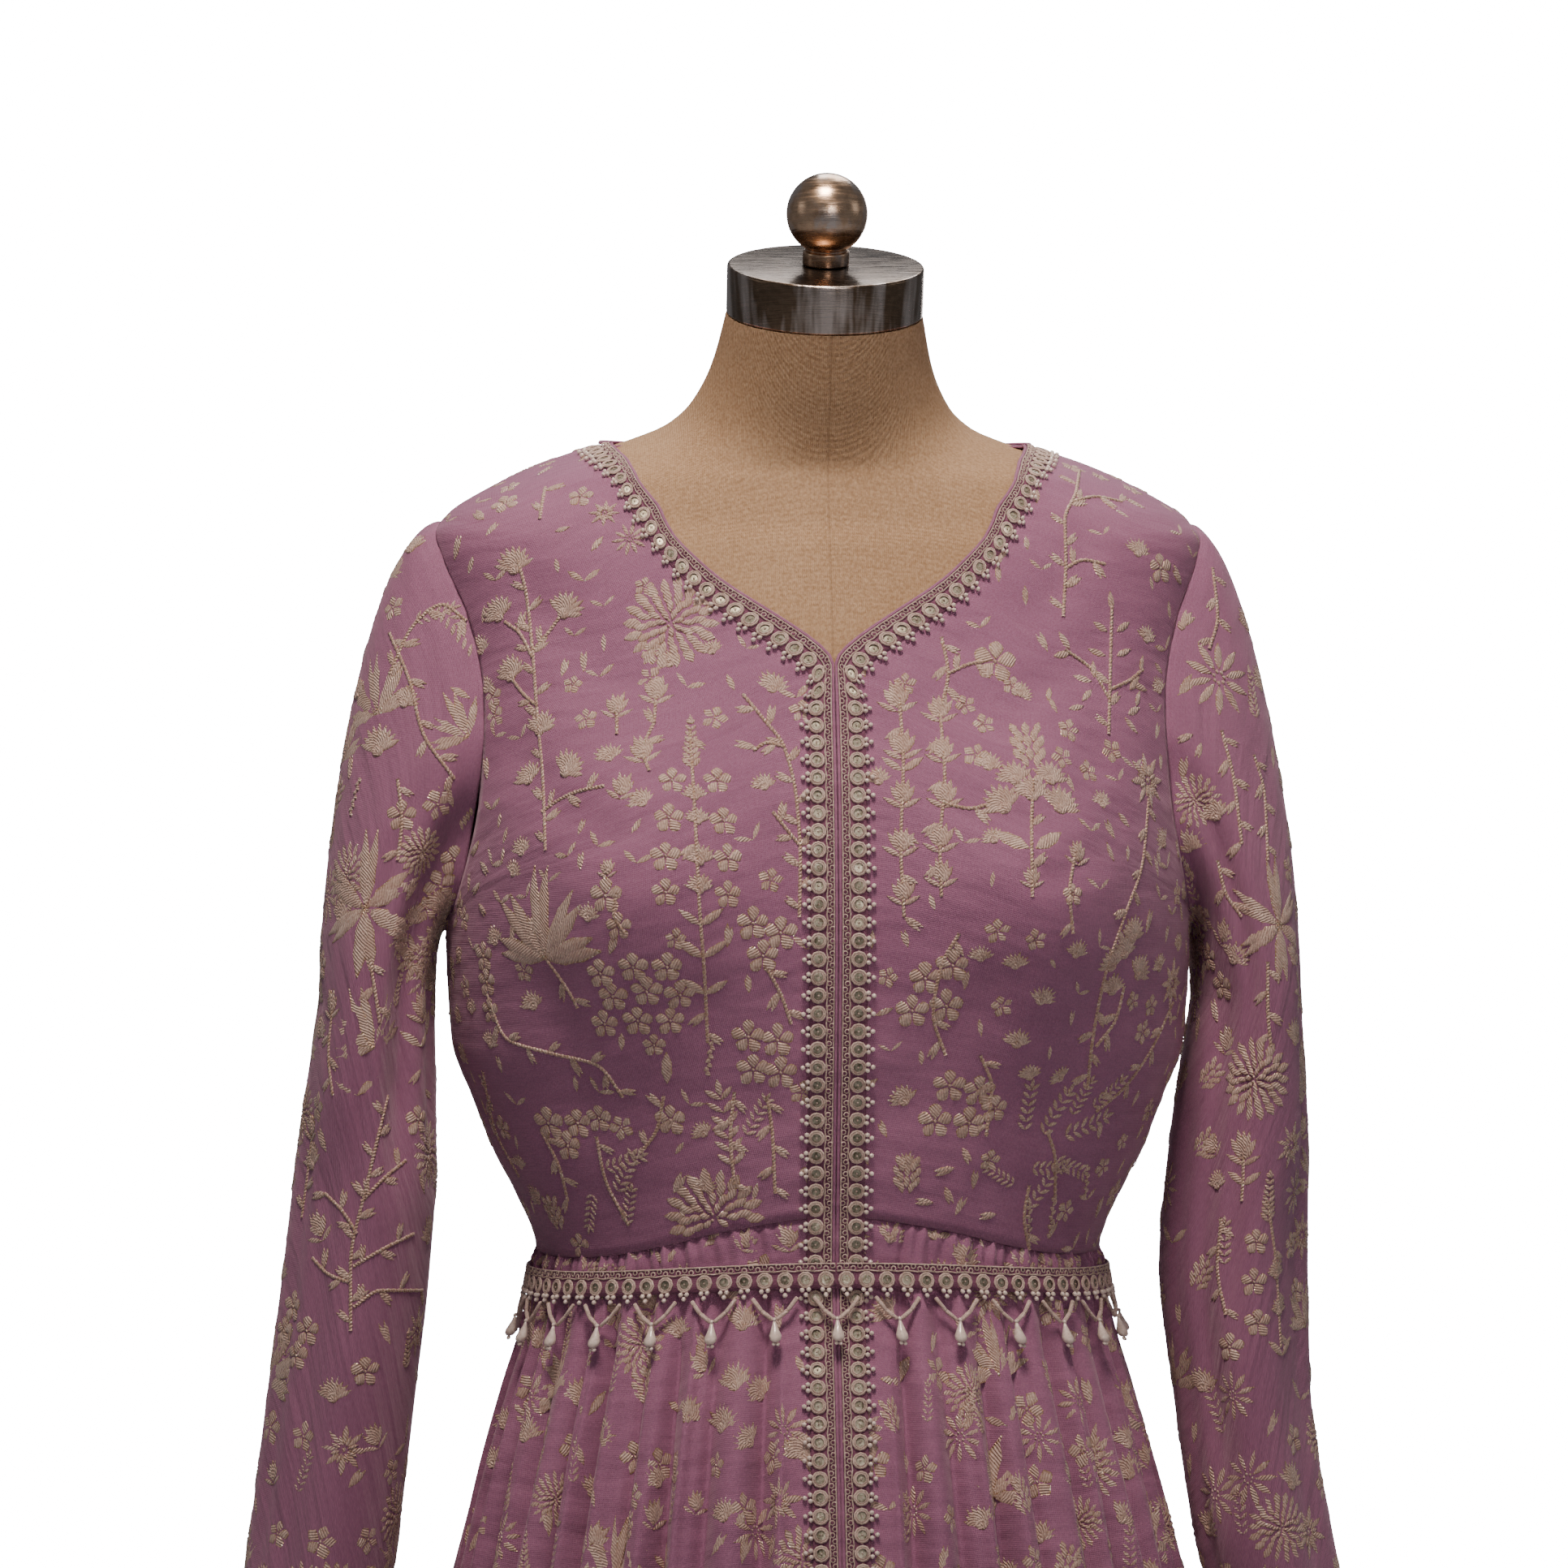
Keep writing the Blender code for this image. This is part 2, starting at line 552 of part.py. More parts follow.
def gather_columns(first, last):
    """Angles at the crests, flanks and valleys of the gathers between two angles."""
    fine = np.linspace(first, last, 4000)
    phase = gather_phase(fine)
    quarter = 2 * math.pi / COLUMNS_A_GATHER
    low, high = sorted((phase[0], phase[-1]))
    marks = np.arange(math.ceil(low / quarter + 0.4), math.floor(high / quarter - 0.4) + 1) * quarter
    order = np.argsort(phase)
    return np.sort(np.interp(marks, phase[order], fine[order]))


def make_skirt():
    """Two skirt fronts that meet at the centre, and one back, each gathered into the waist."""
    quarter = math.pi / 2
    seam = SEAM_GAP / 2 / SIDE_DEPTH
    lace_lines = PIPING_WIDTH + 2 * SEAM_GAP + np.array([0, LACE_WIDTH / 2, LACE_WIDTH])
    radius = float(ring_point(GOWN_RINGS, 0.01, 1.0)[0] / 0.01)
    band_end = lace_lines[-1] / radius + 0.02
    falls = np.array(SKIRT_FALLS)[::-1, None]
    front_row, back_row = bodice_grid(1)[0], bodice_grid(-1)[0][::-1]
    sewn_angle, sewn_height = np.vstack([front_row, back_row]).T

    def make_panel(name, angles, side):
        """One skirt panel; side -1 is worked out on the +X side from its own folds and mirrored."""
        turn = np.abs(np.mod(angles + math.pi, 2 * math.pi) - math.pi)
        top = np.interp(turn, sewn_angle, sewn_height)[None, :] - 2 * SEAM_GAP
        height = top + (HEM - top) * falls
        angle = np.repeat(angles[None, :], len(falls), axis=0)
        if name != "skirt_back":
            here = ring_point(GOWN_RINGS, 0.01, height[:, :3])[..., 0] / 0.01
            angle[:, :3] = lace_lines[None, :] / here
        flip = np.array([side, 1.0, 1.0])
        outer = skirt_point(side * angle, height) * flip
        inner = skirt_point(side * angle, height, -WALL - 0.0006) * flip
        add_wall(name, outer, inner, grid_faces(*angle.shape), cloth, mirror_x=side < 0)

    for name, side in (("skirt_front_left", 1), ("skirt_front_right", -1)):
        free = np.sort(side * gather_columns(*sorted((side * band_end, side * quarter))))
        make_panel(name, np.concatenate([lace_lines / radius, free, [quarter - seam]]), side)
    behind = np.concatenate([[quarter + seam], gather_columns(quarter, math.pi), [math.pi],
                             gather_columns(math.pi, 3 * quarter), [3 * quarter - seam]])
    make_panel("skirt_back", behind, 1)


def sleeve_points(table, creases):
    """Outer points of a sleeve, rows from the armhole down to the cuff, columns round the tube.

    The upper rows run on smooth paths from the armhole to the first level oval below it."""
    up_front = armhole_turns()
    turns = np.concatenate([up_front, 2 * math.pi - up_front[-2:0:-1]])
    side = np.where(turns <= math.pi, 1, -1)
    half_turn = np.where(turns < math.pi, turns, 2 * math.pi - turns)
    angle, height = armhole(half_turn, SLEEVE_SHARE, side)
    start = ring_point(GOWN_RINGS, angle, height)
    first_normal = outward(GOWN_RINGS, angle, height)

    def oval(level):
        inner, outer, front, back = np.moveaxis(smooth_rows(table[::-1], level), -1, 0)
        x = (inner + outer) / 2 - (outer - inner) / 2 * np.cos(turns)
        y = (front + back) / 2 + (front - back) / 2 * np.sin(turns)
        return np.stack([x, y, np.full_like(x, level)], axis=-1)

    end = oval(SLEEVE_OVAL_TOP)
    drop = (start - end)[:, 2:3]
    up_share = (1 - np.cos(turns))[:, None] / 2
    angle, height = armhole(half_turn, SLEEVE_SHARE - 0.05, side)
    across = ring_point(GOWN_RINGS, angle, height) - start
    across = across / np.linalg.norm(across, axis=1, keepdims=True)
    leave = first_normal * (0.012 + 0.026 * np.abs(np.sin(turns))[:, None] + 0.030 * up_share)
    leave = leave + across * 0.012 + np.array([1.0, 0.0, 0.0]) * 0.060 * up_share ** 2
    arrive = np.array([0.0, 0.0, -1.0]) * (0.012 + 0.9 * drop)
    rows = []
    for share in np.linspace(0, 1, 7) ** 1.15:
        rows.append((2 * share ** 3 - 3 * share ** 2 + 1) * start
                    + (share ** 3 - 2 * share ** 2 + share) * leave
                    + (3 * share ** 2 - 2 * share ** 3) * end
                    + (share ** 3 - share ** 2) * arrive)
    for level in np.linspace(SLEEVE_OVAL_TOP, CUFF, 8)[1:]:
        rows.append(oval(level))
    points = np.array(rows)
    middle = points.mean(axis=1, keepdims=True)
    for place, width, depth, top, bottom in creases:
        turned_by = turns - math.radians(place)
        away = np.degrees(np.arctan2(np.sin(turned_by), np.cos(turned_by)))
        level = points[..., 2]
        below_top = 1 - soft_step(top - 0.02, top + 0.04, level)
        window = soft_step(bottom - 0.05, bottom + 0.02, level) * below_top
        inward = (middle - points) * np.array([1.0, 1.0, 0.0])
        inward = inward / np.linalg.norm(inward, axis=-1, keepdims=True)
        points = points + inward * (depth * np.exp(-(away / width) ** 2) * window)[..., None]
    return points, first_normal


def net_normals(points):
    """Unit outward normals of a tube's net of points, from the steps to its neighbours."""
    around = np.roll(points, -1, axis=1) - np.roll(points, 1, axis=1)
    down = np.gradient(points, axis=0)
    normal = np.cross(down, around)
    return normal / np.linalg.norm(normal, axis=-1, keepdims=True)


def make_sleeves():
    """Two long sleeves that hang empty, open at the armhole and at the cuff."""
    for name, table, creases, mirror_x in (("sleeve_left", LEFT_SLEEVE, LEFT_CREASES, False),
                                           ("sleeve_right", RIGHT_SLEEVE, RIGHT_CREASES, True)):
        points, first_normal = sleeve_points(table, creases)
        normal = net_normals(points)
        normal[0] += first_normal
        normal[0] /= np.linalg.norm(normal[0], axis=1, keepdims=True)
        inner = points - normal * WALL
        faces = [tuple(reversed(face)) for face in grid_faces(*points.shape[:2], closed=True)]
        add_wall(name, points, inner, faces, cloth, mirror_x)


def belt_place(angle, height, out):
    """A place on the belt's ring, a given step outside the fullest gather there."""
    base = ring_point(GOWN_RINGS, angle, height)
    normal = outward(GOWN_RINGS, angle, height) * np.array([1.0, 1.0, 0.0])
    normal = normal / np.linalg.norm(normal, axis=-1, keepdims=True)
    away = gather_depth(height) + np.abs(soft_fold(angle, height)) + out
    return base + normal * away[..., None]


def make_belt():
    """The lace belt, and under its lower edge a strip with forked bead strands and teardrops."""
    angles = np.linspace(0, 2 * math.pi, 3 * DROPS, endpoint=False)
    low, high = 0.0016, 0.0030
    rows = np.stack([belt_top(angles) - BELT_HEIGHT, belt_top(angles)])
    around = np.repeat(angles[None, :], 2, axis=0)
    add_wall("belt_band", belt_place(around, rows, high), belt_place(around, rows, low),
             grid_faces(2, len(angles), closed=True), lace)

    fine = np.linspace(0, 2 * math.pi, 2000)
    ring = ring_point(GOWN_RINGS, fine, belt_top(fine) - BELT_HEIGHT)
    length = np.concatenate([[0], np.cumsum(np.linalg.norm(np.diff(ring, axis=0), axis=1))])
    pitch = length[-1] / DROPS
    inner_edge = DROP_HALF_WIDTH - DROP_STRAND
    marks = (-DROP_HALF_WIDTH, -inner_edge, inner_edge, DROP_HALF_WIDTH)
    places, faces = [], []
    for drop in range(DROPS):
        first = len(places)
        ahead = (first + 15) % (15 * DROPS)
        places += [(drop * pitch + mark, 0.0) for mark in marks]
        places += [(drop * pitch + mark, DROP_STRIP) for mark in marks]
        down = [(0.0013, DROP_FORK + 0.0014), (0.0031, DROP_LENGTH - 0.0048),
                (0.0016, DROP_LENGTH - 0.0008)]
        tip = [(0.0, DROP_FORK - 0.0012)] + [(-across, fall) for across, fall in down] + down[::-1]
        places += [(drop * pitch + across, fall) for across, fall in tip]
        top, low_row, fork = first, first + 4, first + 8
        for column in range(3):
            faces.append((low_row + column, low_row + column + 1, top + column + 1, top + column))
        faces.append((low_row + 3, ahead + 4, ahead, top + 3))
        faces.append((low_row, fork + 1, fork, low_row + 1))
        faces.append((fork, fork + 6, low_row + 3, low_row + 2))
        faces.append((fork, fork + 1, fork + 2, fork + 3, fork + 4, fork + 5, fork + 6))
    places = np.array(places)
    angle = np.interp(places[:, 0] % length[-1], length, fine)
    height = belt_top(angle) - BELT_HEIGHT - SEAM_GAP - places[:, 1]
    out = 0.0010 + 0.03 * places[:, 1]
    outer = belt_place(angle, height, out + DROP_WALL)
    inner = belt_place(angle, height, out)
    add_wall("belt_drops", outer, inner, faces, bead)


def turned(name, profile, material, steps=48, lean=0.0, place=(0.0, 0.0, 0.0)):
    """A turned piece: a profile of radius and height, top to bottom, spun round its axis."""
    mesh = bpy.data.meshes.new(name)
    mesh.from_pydata([(radius, 0.0, height) for radius, height in profile], [],
                     [(index, index + 1) for index in range(len(profile) - 1)])
    mesh.materials.append(material)
    thing = bpy.data.objects.new(name, mesh)
    collection.objects.link(thing)
    thing.rotation_euler = (lean, 0.0, 0.0)
    thing.location = place
    screw = thing.modifiers.new("Screw", "SCREW")
    screw.steps = steps
    screw.render_steps = steps
    screw.use_merge_vertices = True
    screw.merge_threshold = 0.00001
    screw.use_smooth_shade = True
    screw.use_normal_flip = True
    return thing


def make_form():
    """The limbless dress form: padded torso, steel neck cap and finial, pole and round base."""
    levels = [row[0] for row in FORM_RINGS]
    heights = []
    for low, high in zip(levels, levels[1:]):
        parts = max(1, round((high - low) / 0.034))
        heights += list(np.linspace(low, high, parts, endpoint=False))
    heights.append(levels[-1])
    angles = np.linspace(0, 2 * math.pi, 32, endpoint=False)
    points = ring_point(FORM_RINGS, angles[None, :], np.array(heights)[:, None])
    rows, columns = points.shape[:2]
    faces = grid_faces(rows, columns, closed=True)
    faces.append(tuple(reversed(range(columns))))
    faces.append(tuple((rows - 1) * columns + column for column in range(columns)))
    add_object("form_torso", points.reshape(-1, 3), faces, canvas)

    seat = (0.0, NECK_TOP_Y, NECK_TOP)
    lift = SEAM_GAP
    top = lift + CAP_HEIGHT
    turned("form_neck_cap", ((0.0, top), (CAP_RADIUS - CAP_BEVEL, top), (CAP_RADIUS, top - CAP_BEVEL),
                             (CAP_RADIUS, lift + CAP_BEVEL), (CAP_RADIUS - CAP_BEVEL, lift), (0.0, lift)),
           steel, 36, NECK_LEAN, seat)
    foot = top + SEAM_GAP
    ball_middle = foot + COLLAR_HEIGHT + BALL_RADIUS * 0.9
    ball = [(BALL_RADIUS * math.sin(turn), ball_middle + BALL_RADIUS * math.cos(turn))
            for turn in np.radians(range(0, 151, 25))]
    collar = [(COLLAR_RADIUS, foot + COLLAR_HEIGHT - 0.001), (COLLAR_RADIUS, foot), (0.0, foot)]
    turned("form_finial", ball + collar, steel, 20, NECK_LEAN, seat)

    pole_bottom = HUB_TOP + SEAM_GAP
    pole_top = levels[0] - SEAM_GAP
    bpy.ops.mesh.primitive_cylinder_add(vertices=24, radius=POLE_RADIUS, depth=pole_top - pole_bottom,
                                        location=(0.0, 0.0, (pole_top + pole_bottom) / 2))
    pole = bpy.context.object
    pole.name = "form_pole"
    pole.data.materials.append(steel)
    for other in list(pole.users_collection):
        other.objects.unlink(pole)
    collection.objects.link(pole)
    turned("form_base", ((0.0, HUB_TOP), (HUB_RADIUS * 0.6, HUB_TOP), (HUB_RADIUS * 0.7, HUB_TOP - 0.004),
                         (HUB_RADIUS, BASE_THICKNESS + 0.012), (HUB_RADIUS + 0.012, BASE_THICKNESS),
                         (BASE_RADIUS - 0.006, BASE_THICKNESS - 0.003), (BASE_RADIUS, BASE_THICKNESS - 0.008),
                         (BASE_RADIUS, 0.0), (0.0, 0.0)), steel, 40)


for leftover in list(bpy.data.objects):
    bpy.data.objects.remove(leftover)
collection = bpy.data.collections.new("anarkali_gown")
bpy.context.scene.collection.children.link(collection)
cloth = new_material("mauve_crepe", (0.27, 0.13, 0.20), 0.75)
lace = new_material("beige_lace", (0.50, 0.36, 0.30), 0.6)
bead = new_material("pearl_beads", (0.70, 0.58, 0.50), 0.3)
canvas = new_material("tan_canvas", (0.46, 0.29, 0.17), 0.85)
steel = new_material("brushed_steel", (0.45, 0.40, 0.36), 0.35, 1.0)
make_form()
make_bodice()
make_underlap()
make_edge_trims()
make_skirt()
make_sleeves()
make_belt()
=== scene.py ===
# %% [markdown]
# # An embroidered anarkali gown on its dress form
# The real object is a long gown of thin mauve crepe. Its bodice is cut in panels and its skirt is
# gathered into a curved waist seam. Beige lace with small round mirrors edges the neckline and the
# front opening, and a belt of the same lace carries forked bead strands and pearl teardrops. The
# gown stands on a canvas dress form with a brushed steel cap.
# A maker could drape it with a cloth simulation, sculpt it, or write its surfaces as formulas. The
# last way is used here: a tailor's measures go straight into rings and seams, and every trim can
# then be laid on the same surface.

# %% Load the fixed frame
import math

import bpy
import numpy as np
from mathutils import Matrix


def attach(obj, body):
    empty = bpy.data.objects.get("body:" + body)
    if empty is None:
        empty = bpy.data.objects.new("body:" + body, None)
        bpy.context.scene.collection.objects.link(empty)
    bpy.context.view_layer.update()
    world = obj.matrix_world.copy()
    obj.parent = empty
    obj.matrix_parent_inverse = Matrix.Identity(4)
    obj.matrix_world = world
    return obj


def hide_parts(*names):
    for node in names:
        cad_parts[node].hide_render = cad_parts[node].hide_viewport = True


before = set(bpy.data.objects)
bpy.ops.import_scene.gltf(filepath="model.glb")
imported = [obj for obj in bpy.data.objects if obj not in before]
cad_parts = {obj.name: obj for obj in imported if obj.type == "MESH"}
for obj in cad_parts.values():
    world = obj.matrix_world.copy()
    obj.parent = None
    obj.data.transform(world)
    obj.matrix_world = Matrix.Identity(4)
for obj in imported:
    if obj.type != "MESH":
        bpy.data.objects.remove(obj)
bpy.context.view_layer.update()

# %% [markdown]
# ## Camera, light and floor
# The photograph is a level close-up from just under the chest, turned 4 degrees to one side. A long lens
# from 2.3 metres keeps the sleeves and the neckline in proportion. A studio shot like this has
# one broad soft light above the front, a weaker one on each side and a white surround. Area lights
# give those soft edges, and the surround is the world's own light.

# %% Camera
PHOTO_SIDE = 1932
METRES_A_PIXEL = 0.000425
CAMERA_TURN = math.radians(-4)
CAMERA_AWAY = 2.3
TARGET = np.array([-0.0178, 0.00125, 1.272])
LOOK = np.array([-math.sin(CAMERA_TURN), math.cos(CAMERA_TURN), 0.0])

lens = bpy.data.cameras.new("camera")
lens.sensor_width = 36.0
lens.lens = 36.0 * CAMERA_AWAY / (PHOTO_SIDE * METRES_A_PIXEL)
camera = bpy.data.objects.new("camera", lens)
camera.location = TARGET - CAMERA_AWAY * LOOK
camera.rotation_euler = (math.pi / 2, 0.0, CAMERA_TURN)
bpy.context.scene.collection.objects.link(camera)
bpy.context.scene.camera = camera
print("camera at", tuple(round(v, 3) for v in camera.location), "lens", round(lens.lens, 1))


# %% Soft lights and a pale surround
def soft_light(name, place, aim, size, power, colour=(1.0, 1.0, 1.0), spread=180):
    """A square area light at a place, turned to face its aim; a grid over it can narrow its spread."""
    light = bpy.data.lights.new(name, "AREA")
    light.size, light.energy, light.color = size, power, colour
    light.spread = math.radians(spread)
    thing = bpy.data.objects.new(name, light)
    thing.location = place
    away = np.array(aim) - np.array(place)
    flat = math.hypot(away[0], away[1])
    thing.rotation_euler = (math.atan2(flat, -away[2]), 0.0, math.atan2(away[1], away[0]) - math.pi / 2)
    bpy.context.scene.collection.objects.link(thing)
    return thing


soft_light("key", (-0.18, -0.88, 2.98), (0.0, -0.05, 1.38), 0.55, 4.5, (1.0, 0.88, 0.77), 56)
soft_light("front", (0.5, -3.0, 1.9), (0.0, 0.0, 1.25), 1.2, 5.0, (1.0, 0.93, 0.90))
soft_light("middle", (0.35, -3.0, 1.75), (0.02, 0.0, 1.24), 0.5, 0.17, (1.0, 0.90, 0.83), 16)
soft_light("side_left", (-2.4, -0.3, 2.1), (0.0, 0.0, 1.2), 0.9, 1.0)
soft_light("side_right", (2.4, -0.3, 2.1), (0.0, 0.0, 1.2), 0.9, 1.2)
soft_light("behind", (0.4, 1.5, 3.7), (0.0, 0.0, 1.3), 1.4, 34.0)
soft_light("back", (0.6, 3.2, 1.9), (0.0, 0.0, 0.9), 1.2, 26.0, (1.0, 0.93, 0.90))

world = bpy.data.worlds.new("pale_surround")
bpy.context.scene.world = world
world.use_nodes = True
sky = world.node_tree
seen = sky.nodes["Background"]
seen.inputs["Color"].default_value = (0.95, 0.95, 0.96, 1.0)
seen.inputs["Strength"].default_value = 20.0
lit = sky.nodes.new("ShaderNodeBackground")
lit.inputs["Color"].default_value = (0.93, 0.95, 1.0, 1.0)
lit.inputs["Strength"].default_value = 0.12
path = sky.nodes.new("ShaderNodeLightPath")
choose = sky.nodes.new("ShaderNodeMixShader")
sky.links.new(path.outputs["Is Camera Ray"], choose.inputs["Fac"])
sky.links.new(lit.outputs[0], choose.inputs[1])
sky.links.new(seen.outputs[0], choose.inputs[2])
sky.links.new(choose.outputs[0], sky.nodes["World Output"].inputs["Surface"])

# %% [markdown]
# ## The tailor's measures
# A gown on a form is a stack of level rings, as a tailor measures bust, waist and hip. Each row
# below gives a height, half the width, the front and back depth, where the ring's middle lies, how
# much it leans towards the shoulder and how square its corners are. The numbers are the same that
# the solid parts were built from, so the fine cloth lies where the solids are.

# %% Measures in metres
WALL = 0.0012
SEAM_GAP = 0.0003
PIPING_WIDTH = 0.0015
LACE_WIDTH = 0.018
SHOULDER_POINT, NECKLINE_POINT, BACK_NECK = 1.450, 1.333, 1.4395
WAIST_SIDE, WAIST_FRONT_RISE, WAIST_RISE_SPREAD = 1.030, 0.026, math.radians(35)
BELT_TOP_SIDE, BELT_FRONT_RISE, BELT_RISE_SPREAD = 1.022, 0.012, math.radians(50)
HEM = 0.030
BUST_RISE, BUST_OUT, BUST_HEIGHT = 0.030, 0.105, 1.222
BUST_SPREAD_X, BUST_SPREAD_Z = 0.042, 0.050
ARMHOLE_MIDDLE, ARMHOLE_HALF_HEIGHT, ARMHOLE_HALF_ANGLE = 1.302, 0.107, math.radians(27)
SLEEVE_OVAL_TOP, CUFF = 1.160, 0.810
FRONT_GATHERS, BACK_GATHERS = 11, 22
SOFT_FOLDS, SOFT_FOLD_DEPTH = 18, 0.024
FLAT_BAND = 0.0215
OPENING_ROWS, CENTRE_BACK_ROWS, SIDE_ROWS, ARMHOLE_ROWS, PANEL_COLUMNS = 11, 14, 8, 10, 7
BODICE_ROWS = SIDE_ROWS + ARMHOLE_ROWS
NECK_LEAN = math.radians(19)
NECK_TOP, NECK_TOP_Y = 1.5137, -0.042

FORM_RINGS = np.array([
    (0.800, 0.140, -0.094, 0.104, 0.005, 0.00, 0.05), (0.860, 0.148, -0.098, 0.108, 0.005, 0.00, 0.05),
    (0.940, 0.140, -0.096, 0.092, 0.003, 0.00, 0.05), (1.015, 0.122, -0.089, 0.076, 0.000, 0.00, 0.05),
    (1.080, 0.132, -0.098, 0.078, 0.000, 0.00, 0.07), (1.140, 0.150, -0.110, 0.087, 0.000, 0.00, 0.09),
    (1.200, 0.165, -0.118, 0.096, 0.000, 0.00, 0.10), (1.260, 0.173, -0.115, 0.102, 0.000, 0.00, 0.10),
    (1.320, 0.180, -0.102, 0.102, 0.000, 0.00, 0.10), (1.360, 0.188, -0.091, 0.096, 0.000, 0.02, 0.10),
    (1.385, 0.1955, -0.083, 0.0885, 0.000, 0.05, 0.10), (1.400, 0.1965, -0.078, 0.0815, 0.001, 0.08, 0.10),
    (1.4132, 0.1880, -0.0725, 0.074, 0.002, 0.12, 0.09), (1.4253, 0.1675, -0.0695, 0.068, 0.002, 0.16, 0.08),
    (1.4383, 0.1372, -0.0665, 0.062, 0.000, 0.20, 0.07), (1.4482, 0.1035, -0.0655, 0.056, -0.002, 0.25, 0.06),
    (1.4560, 0.0825, -0.0670, 0.050, -0.006, 0.28, 0.05), (1.4680, 0.068, -0.071, 0.042, -0.013, 0.31, 0.03),
    (1.4890, 0.057, -0.080, 0.027, -0.027, 0.335, 0.01),
    (NECK_TOP, 0.0506, -0.0898, 0.0058, NECK_TOP_Y, math.tan(NECK_LEAN), 0.00)])
GOWN_RINGS = np.array([
    (0.030, 0.395, -0.350, 0.350, 0, 0, 0), (0.300, 0.328, -0.288, 0.288, 0, 0, 0),
    (0.600, 0.250, -0.219, 0.218, 0, 0, 0), (0.800, 0.199, -0.172, 0.170, 0, 0, 0.02),
    (0.960, 0.161, -0.133, 0.126, 0, 0, 0.04), (1.000, 0.1505, -0.119, 0.108, 0, 0, 0.05),
    (1.030, 0.1475, -0.112, 0.098, 0, 0, 0.05), (1.060, 0.1585, -0.114, 0.097, 0, 0, 0.06),
    (1.080, 0.1690, -0.117, 0.099, 0, 0, 0.07), (1.110, 0.1810, -0.121, 0.102, 0, 0, 0.08),
    (1.140, 0.1915, -0.126, 0.106, 0, 0, 0.09), (1.200, 0.1945, -0.130, 0.111, 0, 0, 0.10),
    (1.260, 0.1925, -0.125, 0.113, 0, 0, 0.10), (1.320, 0.1920, -0.109, 0.110, 0, 0, 0.10),
    (1.360, 0.1960, -0.097, 0.103, 0, 0.02, 0.10), (1.385, 0.2010, -0.0885, 0.095, 0, 0.05, 0.10),
    (1.400, 0.2020, -0.0835, 0.088, 0.001, 0.08, 0.10), (1.4132, 0.1930, -0.0795, 0.081, 0.002, 0.12, 0.09),
    (1.4253, 0.1740, -0.0765, 0.075, 0.002, 0.16, 0.08), (1.4383, 0.1452, -0.0735, 0.069, 0, 0.20, 0.07),
    (1.4482, 0.1130, -0.0725, 0.063, -0.002, 0.25, 0.06),
    (1.4560, 0.0890, -0.0730, 0.057, -0.006, 0.28, 0.05)])
NECKLINE = ((0.0, 1.333), (0.013, 1.344), (0.03, 1.3555), (0.05, 1.3705), (0.07, 1.39),
            (0.088, 1.4175), (0.0985, 1.434), (0.1045, 1.445))
LEFT_SLEEVE = ((1.160, 0.1985, 0.2540, -0.064, 0.060), (1.080, 0.1850, 0.2575, -0.062, 0.050),
               (1.016, 0.1790, 0.2565, -0.062, 0.040), (0.960, 0.1850, 0.2570, -0.064, 0.034),
               (0.880, 0.1960, 0.2680, -0.068, 0.028), (CUFF, 0.2150, 0.2850, -0.070, 0.024))
RIGHT_SLEEVE = ((1.160, 0.2000, 0.2600, -0.064, 0.060), (1.080, 0.1990, 0.2715, -0.062, 0.052),
                (1.016, 0.2030, 0.2790, -0.062, 0.044), (0.960, 0.2095, 0.2860, -0.063, 0.038),
                (0.880, 0.2190, 0.2960, -0.066, 0.032), (CUFF, 0.2290, 0.3060, -0.068, 0.028))
LEFT_CREASES = ((50, 16, 0.009, 1.150, 0.93), (-60, 20, 0.008, 1.120, 0.86), (130, 20, 0.006, 1.060, 0.84))
RIGHT_CREASES = ((60, 16, 0.012, 1.330, 1.10), (120, 20, 0.007, 1.080, 0.86), (-70, 20, 0.008, 1.160, 0.88))
print("rings:", len(GOWN_RINGS), "for the gown,", len(FORM_RINGS), "for the form")

# %% [markdown]
# ## Reading the rings
# Between two measured rings the surface must run smoothly and never bulge past the measures. A
# cubic curve with averaged slopes does that. The bust is a rounded rise on the front of the rings.


# %% Smooth curves and rings
def smooth_rows(table, where):
    """Columns of a table at any place of its first column: a cubic between two rows, whose slope at
    a row is the harmonic mean of the slopes on both sides, so that nothing swings past a row."""
    table = np.asarray(table, float)
    knots, values = table[:, 0], table[:, 1:]
    steps = np.diff(knots)[:, None]
    rises = np.diff(values, axis=0) / steps
    same_way = rises[:-1] * rises[1:] > 0
    total = np.where(same_way, rises[:-1] + rises[1:], 1.0)
    middle = np.where(same_way, 2 * rises[:-1] * rises[1:] / total, 0.0)
    slopes = np.concatenate([rises[:1], middle, rises[-1:]])
    where = np.asarray(where, float)
    place = np.clip(np.searchsorted(knots, where) - 1, 0, len(knots) - 2)
    step = steps[place, 0]
    share = ((where - knots[place]) / step)[..., None]
    step = step[..., None]
    return ((2 * share ** 3 - 3 * share ** 2 + 1) * values[place]
            + (share ** 3 - 2 * share ** 2 + share) * step * slopes[place]
            + (3 * share ** 2 - 2 * share ** 3) * values[place + 1]
            + (share ** 3 - share ** 2) * step * slopes[place + 1])


def soft_step(low, high, value):
    """0 below low, 1 above high, and between them 3 shares squared less 2 shares cubed."""
    share = np.clip((value - low) / (high - low), 0, 1)
    return share * share * (3 - 2 * share)


